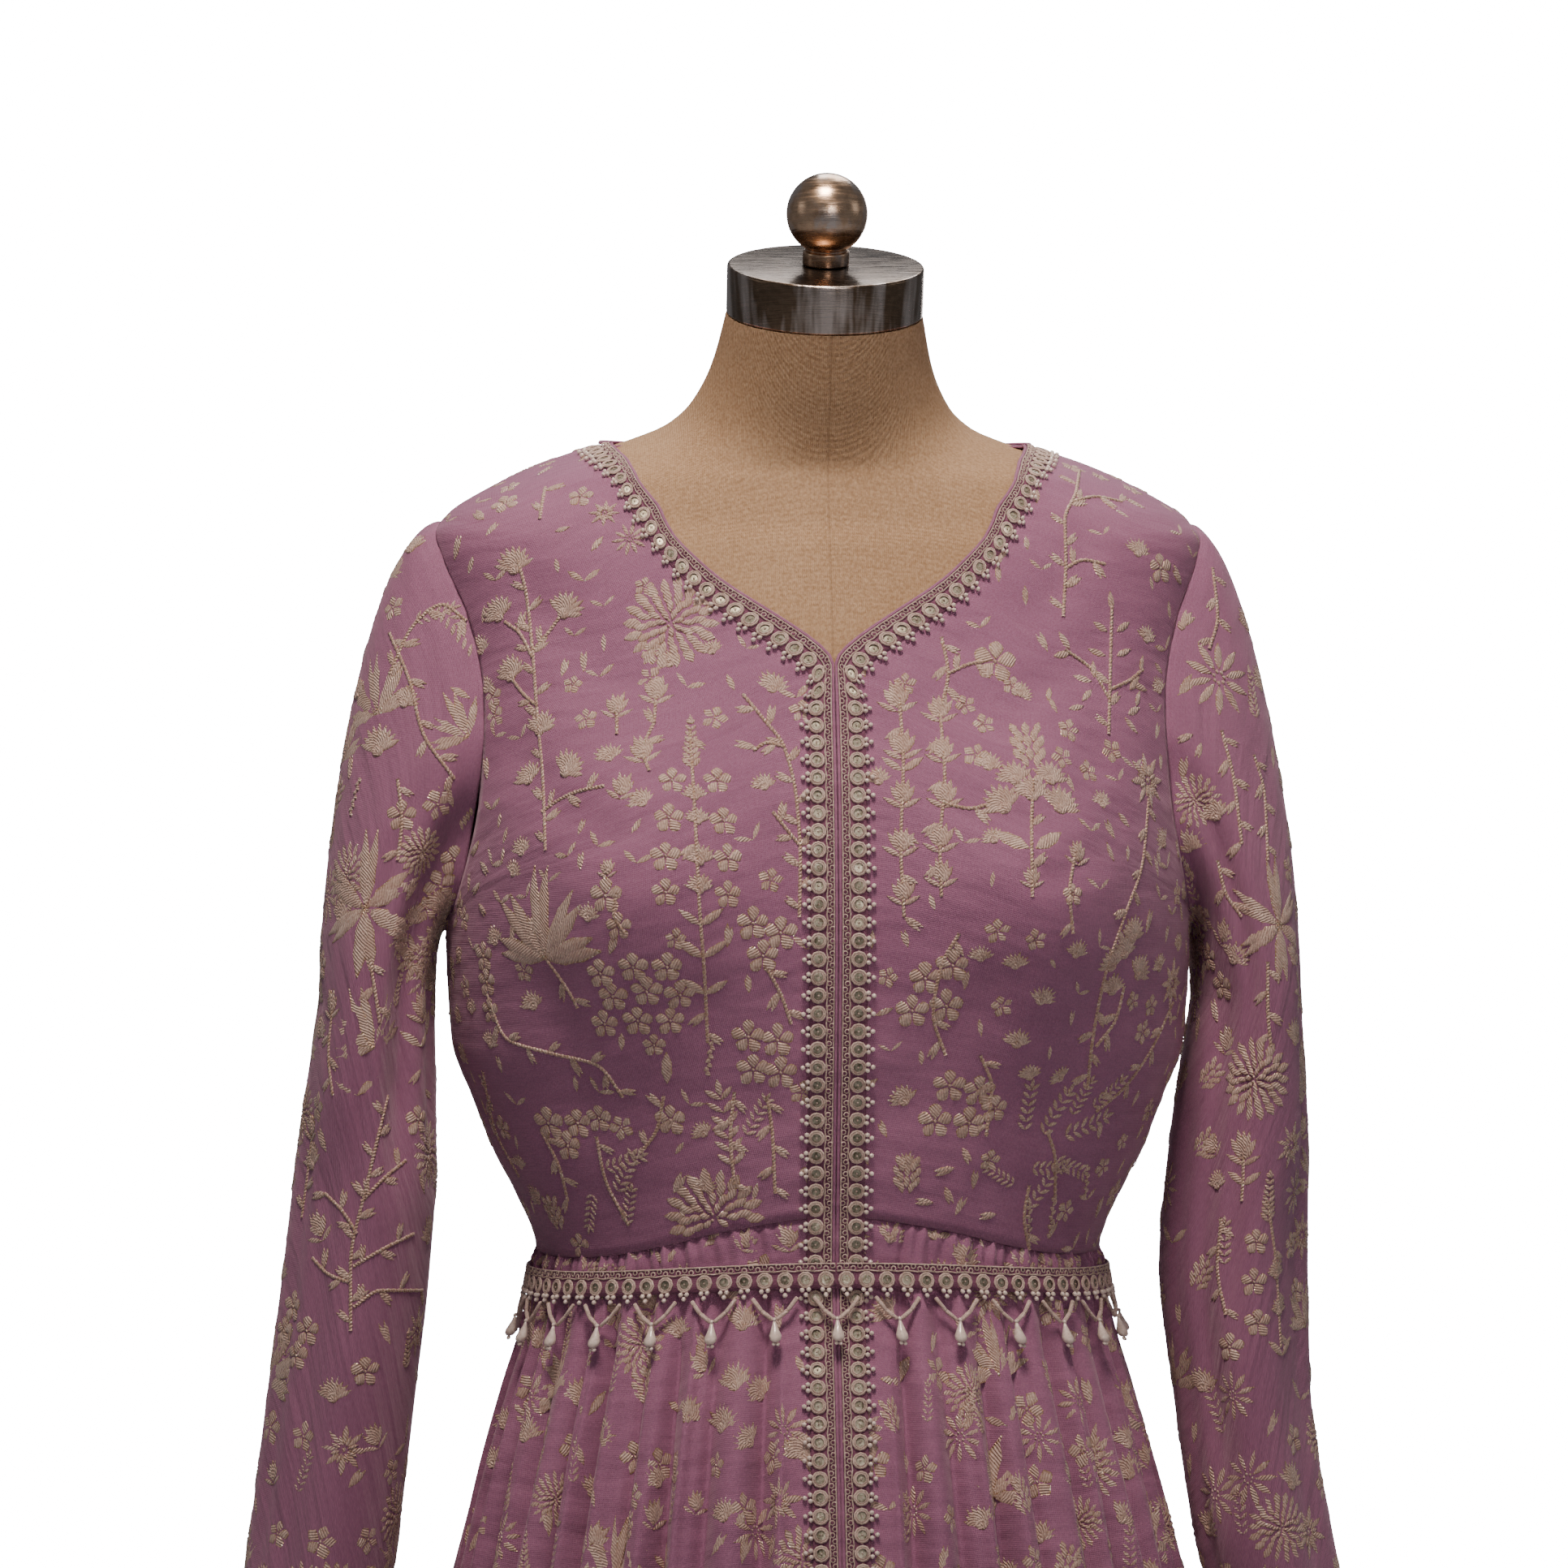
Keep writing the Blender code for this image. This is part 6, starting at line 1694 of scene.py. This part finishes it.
DRAWINGS = {
    "front_right": {
        "fan": ((634, 706, 100, 13), (616, 764, 118, 12), (692, 760, 66, 13), (630, 838, 108, 12),
            (664, 905, 90, 12), (652, 965, 118, 11), (694, 955, 62, 13), (856, 985, 90, 8),
            (860, 1015, 90, 8), (862, 1065, 90, 10), (862, 1100, 90, 9),),
        "blade": ((684, 655, 20, 8), (822, 1335, 88, 17),),
        "star": ((745, 632, 90, 8),),
        "daisy": ((776, 664, 90, 9),),
        "five": ((715, 612, 90, 7), (884, 962, 90, 7), (828, 962, 90, 7), (892, 1012, 90, 7.5),
            (824, 1008, 90, 7.5), (897, 1058, 90, 7.5), (820, 1055, 90, 7.5), (897, 1102, 90, 7),
            (820, 1100, 90, 7), (746, 1104, 90, 9), (762, 1142, 90, 7), (740, 1200, 90, 8),
            (780, 1192, 90, 8), (822, 1192, 90, 8), (755, 1228, 90, 8), (797, 1222, 90, 8.5),
            (838, 1226, 90, 8), (745, 1262, 90, 7.5), (786, 1258, 90, 8), (826, 1258, 90, 7.5),
            (806, 1288, 90, 6), (596, 1178, 90, 8), (600, 1210, 90, 8), (604, 1245, 90, 7),
            (928, 1138, 90, 8.5), (962, 1150, 90, 8.5), (940, 1178, 90, 8.5), (922, 1278, 90, 8.5),
            (958, 1282, 90, 8.5), (928, 1318, 90, 8.5), (962, 1322, 90, 8.5), (676, 1384, 90, 9),
            (712, 1384, 90, 8), (700, 1412, 90, 8), (738, 1378, 90, 7.5), (826, 1380, 90, 8),
            (620, 1390, 90, 7), (715, 1535, 90, 7), (622, 620, 60, 8),),
        "rose": ((826, 768, 90, 24), (880, 1500, 90, 25),),
        "bud": ((758, 880, 90, 13), (808, 862, 90, 14), (792, 935, 100, 14), (764, 980, 85, 13),
            (748, 1078, 95, 9),),
        "spike": ((852, 945, 90, 28),),
        "pair": ((863, 1140, 90, 13), (866, 1180, 90, 15), (869, 1225, 90, 14),),
        "palm": ((672, 1182, 92, 47),),
        "berries": ((870, 1330, 80, 20), (590, 1320, 270, 20),),
        "fern": ((905, 1440, 100, 42), (918, 1400, 60, 24), (760, 1470, 60, 26), (745, 1440, 20, 24),
            (772, 1510, 75, 22), (730, 1470, 250, 22), (640, 1560, 95, 18),),
        "cone": ((690, 1515, 92, 18),),
        "leaf": ((830, 1470, 60, 12), (600, 960, 110, 11), (596, 640, 150, 12), (560, 690, 80, 12),),
    },
    "front_left": {
        "blade": ((1370, 752, 90, 10), (1364, 778, 150, 10), (1376, 778, 30, 10), (1362, 808, 160, 10),
            (1376, 808, 20, 10), (1318, 800, 120, 10), (1318, 805, 190, 10), (1345, 840, 160, 11),
            (1348, 835, 80, 10), (1345, 850, 220, 10), (1335, 870, 190, 9), (1392, 850, 40, 11),
            (1396, 842, -20, 10), (1405, 828, 70, 9), (1390, 880, 20, 11), (1386, 884, -50, 11),
            (1400, 870, 60, 9), (1268, 1045, 152, 19), (1276, 1045, 28, 19),),
        "five": ((1226, 815, 80, 11), (1140, 1206, 90, 8.5), (1174, 1190, 90, 8.5),
            (1124, 1246, 90, 8.5), (1166, 1240, 90, 9), (1170, 1338, 90, 8.5), (1206, 1344, 90, 8.5),
            (1152, 1382, 90, 9), (1194, 1384, 90, 8.5), (1226, 1366, 90, 7.5), (1322, 1102, 90, 6),
            (1452, 1012, 90, 8), (1372, 1470, 90, 8), (1430, 700, 90, 8),),
        "bud": ((1105, 872, 90, 15), (1111, 930, 90, 15), (1112, 990, 90, 14), (1110, 1050, 90, 14),
            (1113, 1110, 90, 13), (1158, 885, 90, 14), (1161, 935, 90, 14), (1164, 990, 90, 14),
            (1158, 1045, 90, 14), (1160, 1088, 90, 13), (1272, 1090, 90, 10), (1328, 1062, 85, 12),),
        "pair": ((1112, 950, 90, 12),),
        "cone": ((1272, 945, 90, 24), (1116, 1470, 88, 18),),
        "fan": ((1240, 1000, 118, 14), (1305, 1000, 62, 14), (1252, 965, 105, 12), (1294, 965, 75, 12),
            (1272, 985, 90, 13), (1370, 1195, 115, 12), (1395, 1160, 85, 12), (1400, 1205, 60, 12),
            (1385, 1180, 95, 12), (1370, 1225, 100, 10), (1268, 1330, 95, 8),),
        "star": ((1414, 962, 90, 15), (1444, 1212, 90, 13),),
        "leaf": ((1412, 1150, 70, 12), (1350, 1500, 100, 12), (1455, 720, 130, 11),),
        "fern": ((1262, 1395, 88, 26), (1285, 1400, 62, 28), (1310, 1400, 20, 30),
            (1300, 1430, -20, 26), (1270, 1440, 0, 24), (1268, 1490, 60, 26), (1250, 1460, 150, 20),
            (1320, 1375, 70, 22), (1345, 1365, 40, 24), (1395, 1440, 60, 22), (1205, 1540, 100, 20),),
        "berries": ((1268, 1480, 280, 22), (1300, 1470, 275, 22), (1340, 1430, 290, 20),),
    },
    "sleeve_left": {
        "fan": ((1474, 690, 110, 12), (1455, 775, 100, 12), (1500, 1010, 110, 10), (1572, 1575, 90, 9),
            (1576, 1620, 90, 9), (1500, 1465, 100, 9),),
        "daisy": ((1502, 835, 90, 20),),
        "leaf": ((1470, 905, 200, 9), (1480, 915, 250, 9), (1500, 1260, 110, 12),),
        "star_leaf": ((1576, 1140, 90, 34),),
        "rose": ((1546, 1330, 90, 21),),
        "bud": ((1532, 1430, 90, 16),),
        "pair": ((1532, 1460, 90, 12), (1580, 1670, 90, 14),),
        "spike": ((1562, 1505, 88, 26),),
        "five": ((1548, 1530, 90, 7), (1590, 1535, 90, 7), (1545, 1580, 90, 7.5), (1596, 1590, 90, 7),
            (1550, 1630, 90, 7.5), (1515, 1660, 90, 8), (1490, 1180, 90, 8), (1506, 1215, 90, 8),),
        "fern": ((1508, 1560, 90, 24),),
    },
    "sleeve_right": {
        "fern": ((510, 765, 20, 24), (545, 750, -50, 30), (548, 1180, 80, 22),),
        "fan": ((505, 680, 110, 11), (545, 690, 60, 10), (496, 870, 70, 10), (465, 930, 95, 15),
            (440, 860, 110, 10), (385, 1440, 105, 13),),
        "star_leaf": ((450, 1120, 90, 40),),
        "five": ((495, 1005, 90, 8), (560, 1060, 90, 8), (398, 1190, 90, 8), (515, 1380, 90, 8),
            (362, 1610, 90, 8), (350, 1640, 90, 8), (378, 1640, 90, 8), (365, 1670, 90, 8),
            (450, 1690, 90, 8), (478, 720, 90, 8),),
        "rose": ((520, 1050, 90, 13),),
        "leaf": ((500, 1110, 60, 12), (430, 960, 100, 12),),
        "bud": ((408, 1250, 95, 14), (520, 1255, 95, 15), (384, 1400, 90, 12),),
        "pair": ((518, 1290, 90, 14),),
        "spike": ((500, 1685, 90, 20),),
        "berries": ((430, 1010, 80, 20),),
    },
}
print("drawings:", {name: sum(map(len, kinds.values())) for name, kinds in DRAWINGS.items()})

# %% [markdown]
# ## Stitching it on
# All petals of one cloth are built as one array. Across each petal runs a dome that is sunk a
# little at its rim, so that no light passes under it. Two values go with every corner for the finish:
# how near it is to the rim, and a shade of its own for each petal.


# %% Petals and stems as patches
def petal_shapes(petals, along=7, across=5):
    """Petal patches in metres: the width follows the sine of the length's share, wider at the tip
    for a round petal, with small steps for stitch ends; the height is a dome with a groove."""
    petals = np.asarray(petals, float)
    x, y, heading, length, width, high, rounding = [column[:, None, None] for column in petals.T]
    t = np.linspace(0, 1, along)[None, :, None]
    s = np.linspace(-1, 1, across)[None, None, :]
    pointed = np.sin(math.pi * t ** 0.85) ** 0.8
    narrowing = (1 - np.clip(t - 0.6, 0, 1) ** 2 / 0.17) ** 0.5
    plump = (np.sin(0.5 * math.pi * np.clip(t * 1.06, 0, 1)) ** 0.9) * narrowing
    shape = (1 - rounding) * pointed + rounding * plump
    stitched = 1 + 0.09 * (-1.0) ** np.arange(along)[None, :, None] * (1 - rounding)
    half = np.maximum(shape * stitched, 0.10) * width / 2
    u, v = s * half, t * length
    fullness = 0.55 + 0.45 * np.sin(math.pi * np.clip(t, 0.08, 0.92))
    dome = np.sqrt(np.maximum(1 - 0.98 * s ** 2, 0)) * fullness
    lift = high * (dome - 0.30 * np.exp(-(s / 0.22) ** 2)) - 0.22
    turn = np.radians(heading - 90.0)
    places = np.stack([x + u * np.cos(turn) - v * np.sin(turn), y + u * np.sin(turn) + v * np.cos(turn),
                       lift + 0 * u], axis=-1)
    rim = np.maximum(np.abs(s) + 0 * t, np.abs(2 * t - 1) ** 3) + 0 * u
    return places / 1000, rim, np.stack([u + 0 * t, v + 0 * s], axis=-1) / 1000


LEAF_STEP = 26


def stem_paths(cloth, stems):
    """Stems as even points on a cloth's net: a smooth curve through the places in the frame."""
    for stem in stems:
        stem = np.array(stem, float)
        length = run_along(stem)
        share = np.linspace(0, length[-1], max(4, int(length[-1] / 3.2)))
        row, column, good = found_on(cloth, smooth_rows(np.column_stack([length, stem]), share))
        if good.all():
            yield row, column


def stem_leaves(stems, others):
    """Leaves along each stem, left and right in turn, one for every 11 mm of its length: those
    too close to another drawing are left out. Each is a place, a heading and a size."""
    grown = []
    for stem in stems:
        stem = np.array(stem, float)
        length = run_along(stem)
        table = np.column_stack([length, stem])
        for k, at in enumerate(np.arange(10, length[-1], LEAF_STEP)):
            place, ahead = smooth_rows(table, at), smooth_rows(table, min(at + 4, length[-1]))
            run = ahead - smooth_rows(table, max(at - 4, 0))
            heading = math.degrees(math.atan2(-run[1], run[0])) + 52 * (-1) ** k
            if min(math.hypot(*(place - other)) for other in others) > 0.7 * LEAF_STEP:
                grown.append((place[0], place[1], heading, 9.0 + (k * 7 % 4) * 0.6))
    return grown


def stem_mesh(cloth, row, column, radius=0.00085):
    """A chain-stitched stem: a tube along the cloth whose radius swells and narrows at each stitch."""
    point, normal, _, _ = read_net(cloth, row, column)
    run = np.gradient(point, axis=0)
    run = unit(run)
    side = np.cross(run, normal)
    swell = radius * (1 + 0.2 * (-1.0) ** np.arange(len(point)))
    spin = np.linspace(-0.35, math.pi + 0.35, 5)[None, :, None]
    skin = point[:, None] + swell[:, None, None] * (np.cos(spin) * side[:, None] * 1.15
                                                    + np.sin(spin) * normal[:, None] * 0.9)
    return skin, grid_quads(len(point), 5)


thread_counts = {}


def embroider(name, cloth_name, row, column, kinds, turns, sizes, stems, along, across, seed):
    """One piece of embroidery: every drawing's petals walked from its anchor, and all stems."""
    cloth = cloths[cloth_name]
    chance = np.random.default_rng(seed)
    rows, columns_at, petals, turned_by = [], [], [], []
    for r, c, kind, heading, size in zip(row, column, kinds, turns, sizes):
        own = KINDS[kind](size)
        petals += own
        rows += [r] * len(own)
        columns_at += [c] * len(own)
        turned_by += [heading - 90.0] * len(own)
    petals = np.array(petals)
    petals[:, 3:5] *= chance.uniform(0.92, 1.08, (len(petals), 2))
    shapes, rim, stitch = petal_shapes(petals, along, across)
    turn = np.radians(turned_by)[:, None, None]
    flat_x = shapes[..., 0] * np.cos(turn) - shapes[..., 1] * np.sin(turn)
    flat_y = shapes[..., 0] * np.sin(turn) + shapes[..., 1] * np.cos(turn)
    count = along * across
    start_row, start_column = np.repeat(rows, count), np.repeat(columns_at, count)
    at_row, at_column, inside = walk(cloth, start_row, start_column, flat_x.ravel(), flat_y.ravel())
    point, normal, _, _ = read_net(cloth, at_row, at_column)
    order = np.repeat(np.arange(len(petals)) % 7 * 0.00003, count)
    point = point + normal * (shapes[..., 2].ravel() + order)[:, None]
    whole = inside.reshape(len(petals), count).all(axis=1)
    patch = grid_quads(along, across)
    numbers = (np.arange(len(petals))[whole][:, None, None] * count + patch[None]).reshape(-1, 4)
    shade = np.repeat(chance.random(len(petals)), count)
    values = np.stack([rim.ravel(), shade, rim.ravel() * 0], axis=1)
    points, faces, notes, marks = [point], [numbers], [values], [stitch.reshape(-1, 2)]
    total = len(point)
    for stem_row, stem_column in stems:
        skin, squares = stem_mesh(cloth, stem_row, stem_column)
        length = run_along(skin[:, 2])
        edge = np.abs(np.linspace(-1, 1, 5))[None, :] + 0 * length[:, None]
        points.append(skin.reshape(-1, 3))
        faces.append(squares + total)
        edge = edge.ravel()
        notes.append(np.stack([edge * 0.8, edge * 0 + chance.random(), edge * 0 + 1], axis=1))
        marks.append(np.stack([np.repeat(np.linspace(-0.001, 0.001, 5)[None], len(length), axis=0),
                               np.repeat(length[:, None], 5, axis=1)], axis=-1).reshape(-1, 2))
        total += skin.shape[0] * 5
    points, faces, notes, marks = [np.concatenate(parts) for parts in (points, faces, notes, marks)]
    used = np.unique(faces)
    fresh = np.zeros(len(points), int)
    fresh[used] = np.arange(len(used))
    points, notes, marks, faces = points[used], notes[used], marks[used], fresh[faces]
    piece = new_piece(name, points, faces, thread, marks[faces.ravel()])
    store = piece.data.attributes.new("stitch", "FLOAT_VECTOR", "POINT")
    store.data.foreach_set("vector", notes.astype(np.float32).ravel())
    flip_if_inward(piece, normal[used[0]] if used[0] < len(normal) else normal[0])
    thread_counts[name] = 2 * len(faces)
    return piece


def flip_if_inward(piece, normal):
    """Turn a piece's faces round if the first one looks against the cloth's own normal."""
    first = piece.data.polygons[0]
    if float(np.dot(first.normal, normal)) < 0:
        piece.data.flip_normals()


# %% [markdown]
# ## Embroidery thread
# The thread is a beige viscose with a soft shine. Fine lines run across each petal as the stitches
# do, with painted shade in their valleys. Toward the rim the colour turns to a dark antique gold and the
# thread becomes partly metal, in broken
# specks: the real outline is a gold thread couched between stitches, and the dark gold is also painted shade
# in the gaps between petals. Near-white specks on rims and stems are painted glints.

# %% The thread finish
thread, tree, shader = new_finish("embroidery thread", Specular_IOR_Level=0.4, Sheen_Weight=0.15)
marks = add_node(tree, "ShaderNodeAttribute", attribute_name="stitch").outputs["Vector"]
parts = add_node(tree, "ShaderNodeSeparateXYZ", Vector=marks).outputs
uv = tree.nodes.new("ShaderNodeTexCoord").outputs["UV"]
place = tree.nodes.new("ShaderNodeTexCoord").outputs["Object"]
body = placed(tree, uneven, Place=place, First=(0.430, 0.265, 0.220, 1), Second=(0.800, 0.600, 0.510, 1),
              Wide=160.0, Fine=900.0, Speckle=0.7)
own = mixed(tree, sum_of(tree, "MULTIPLY", parts[1], 0.40), body.outputs["Colour"], (0.47, 0.29, 0.225, 1))
lines = add_node(tree, "ShaderNodeTexWave", bands_direction="DIAGONAL", Vector=uv, Scale=340.0,
                 Distortion=1.5)
# Painted shade between stitches: the valleys of the stitch lines darken the colour.
painted_stitch_shade = add_node(tree, "ShaderNodeMapRange", Value=lines.outputs["Fac"], From_Min=0.0, From_Max=0.5,
                  To_Min=0.45, To_Max=0.0)
stitched = mixed(tree, painted_stitch_shade.outputs[0], own, (0.26, 0.13, 0.11, 1))
glints = add_node(tree, "ShaderNodeTexNoise", Vector=place, Scale=800.0, Detail=1.0)
broken = add_node(tree, "ShaderNodeMapRange", Value=glints.outputs["Fac"], From_Min=0.40, From_Max=0.50)
# Painted glints: where this noise peaks, rims and stems turn near white.
painted_glint = add_node(tree, "ShaderNodeMapRange", Value=glints.outputs["Fac"], From_Min=0.63, From_Max=0.66)
# Near the rim the colour turns dark antique gold: the couched gold outline, and also painted shade in the
# gaps between petals.
near_rim = add_node(tree, "ShaderNodeMapRange", Value=parts[0], From_Min=0.60, From_Max=0.92)
stem_share = sum_of(tree, "MULTIPLY", parts[2], 0.55)
rim_or_stem = sum_of(tree, "MAXIMUM", near_rim.outputs[0], stem_share)
gold = sum_of(tree, "MULTIPLY", rim_or_stem, broken.outputs[0])
gilded_with_gap_shade = mixed(tree, sum_of(tree, "MULTIPLY", gold, 0.85), stitched, (0.36, 0.20, 0.095, 1))
with_painted_glints = mixed(tree, sum_of(tree, "MULTIPLY", painted_glint.outputs[0], rim_or_stem), gilded_with_gap_shade, (1.0, 0.90, 0.74, 1))
tree.links.new(with_painted_glints, shader.inputs["Base Color"])
tree.links.new(sum_of(tree, "MULTIPLY", gold, 0.5), shader.inputs["Metallic"])
rough = add_node(tree, "ShaderNodeMapRange", Value=gold, To_Min=0.55, To_Max=0.30)
tree.links.new(rough.outputs[0], shader.inputs["Roughness"])
relief(tree, shader, lines.outputs["Fac"], 0.00035)
print("finish:", thread.name)

# %% Embroidery that the frame shows
for seed, (cloth_name, own_kinds) in enumerate(DRAWINGS.items()):
    cloth = cloths[cloth_name]
    drawings = [(kind, *row) for kind, rows in own_kinds.items() for row in rows]
    grown = stem_leaves(STEMS[cloth_name], [np.array(drawing[1:3]) for drawing in drawings])
    kinds, x, y, turns, sizes = zip(*drawings, *[("leaf", *leaf_row) for leaf_row in grown])
    row, column, good = found_on(cloth, np.column_stack([x, y]).astype(float))
    keep = np.flatnonzero(good)
    stems = list(stem_paths(cloth, STEMS[cloth_name]))
    embroider("thread_" + cloth_name, cloth_name, row[keep], column[keep], [kinds[k] for k in keep],
              np.array(turns)[keep], np.array(sizes)[keep], stems, 7, 5, seed)
    cloth["taken"] = np.column_stack([row[keep], column[keep]])
    print(cloth_name, "drawings:", len(keep), "triangles:", thread_counts["thread_" + cloth_name])

# %% Embroidery in the gaps and on the sides that the frame does not show
SCATTERED = (("fan", 12), ("leaf", 13), ("bud", 13), ("five", 8), ("fern", 24), ("star", 13), ("pair", 13),
             ("five", 8), ("spike", 24), ("fan", 12), ("daisy", 14), ("five", 8), ("leaf", 13), ("bud", 13),
             ("rose", 16), ("palm", 30), ("five", 8), ("cone", 17), ("leaf", 13), ("fan", 12))
SMALL = (("leaf", 10), ("five", 6), ("pair", 9), ("fan", 9), ("blade", 9))
VISIBLE_SKIRT = 0.87


def scatter(cloth_name, spacing, seed, low_spacing=None, kinds=SCATTERED, along=4, across=3):
    """Drawings in staggered rows over a cloth: rows at an even length down, places at an even
    length along, every second row shifted by half a step, and each nudged a little. Rows below the
    frame can lie farther apart."""
    cloth = cloths[cloth_name]
    points = cloth["points"]
    chance = np.random.default_rng(seed)
    measure = cloth_measure(points)
    middle = points.shape[1] // 2
    down = measure[:, middle, 1]
    rows, columns, picks = [], [], []
    length, level = 0.45 * spacing, 0
    while length < down[-1]:
        row = np.interp(length, down, np.arange(len(down)))
        below = low_spacing and points[int(row), middle, 2] < VISIBLE_SKIRT
        step = low_spacing if below else spacing
        width = measure[int(row), :, 0] - measure[int(row), 0, 0]
        places = np.arange((0.25 + 0.5 * (level % 2)) * step, width[-1], step)
        places = places + chance.normal(0, 0.13 * step, len(places))
        at = np.interp(places, width, np.arange(len(width)))
        rows.append(np.clip(row + chance.normal(0, 0.6, len(at)), 0, len(down) - 2))
        columns.append(at)
        picks.append(chance.integers(0, len(kinds), len(at)))
        length, level = length + step, level + 1
    rows, columns, picks = np.concatenate(rows), np.concatenate(columns), np.concatenate(picks)
    if "taken" in cloth:
        point = read_net(cloth, rows, columns)[0]
        other = read_net(cloth, cloth["taken"][:, 0], cloth["taken"][:, 1])[0]
        free = np.linalg.norm(point[:, None] - other[None], axis=-1).min(axis=1) > 0.6 * spacing
        rows, columns, picks = rows[free], columns[free], picks[free]
    names, sizes = zip(*[kinds[pick] for pick in picks])
    sizes = np.array(sizes) * chance.uniform(0.85, 1.15, len(picks))
    embroider("thread_more_" + cloth_name, cloth_name, rows, columns, names,
              90 + chance.normal(0, 22, len(picks)), sizes, [], along, across, seed + 50)
    print(cloth_name, "scattered:", len(picks), "triangles:", thread_counts["thread_more_" + cloth_name])


scatter("front_left", 0.019, 7, kinds=SMALL)
scatter("front_right", 0.019, 8, kinds=SMALL)
scatter("back", 0.032, 1)
scatter("sleeve_left", 0.025, 2)
scatter("sleeve_right", 0.025, 3)
scatter("skirt_front_left", 0.022, 4, 0.046)
scatter("skirt_front_right", 0.022, 5, 0.046)
scatter("skirt_back", 0.044, 6, 0.060)
print("triangles of thread:", sum(thread_counts.values()))


# %% [markdown]
# ## Floor and the end
# A plain pale floor carries the base.

# %% Floor
floor_points = np.array([(-4, -4, 0), (4, -4, 0), (4, 4, 0), (-4, 4, 0)], float)
floor_mesh = bpy.data.meshes.new("floor")
floor_mesh.from_pydata(floor_points.tolist(), [], [(0, 1, 2, 3)])
floor_paint, floor_tree, floor_shader = new_finish("pale floor", Roughness=0.7)
uneven_base(floor_tree, floor_shader, (0.80, 0.80, 0.80), (0.88, 0.88, 0.88), 2.0, 200.0, 0.1)
floor_mesh.materials.append(floor_paint)
floor = bpy.data.objects.new("floor", floor_mesh)
bpy.context.scene.collection.objects.link(floor)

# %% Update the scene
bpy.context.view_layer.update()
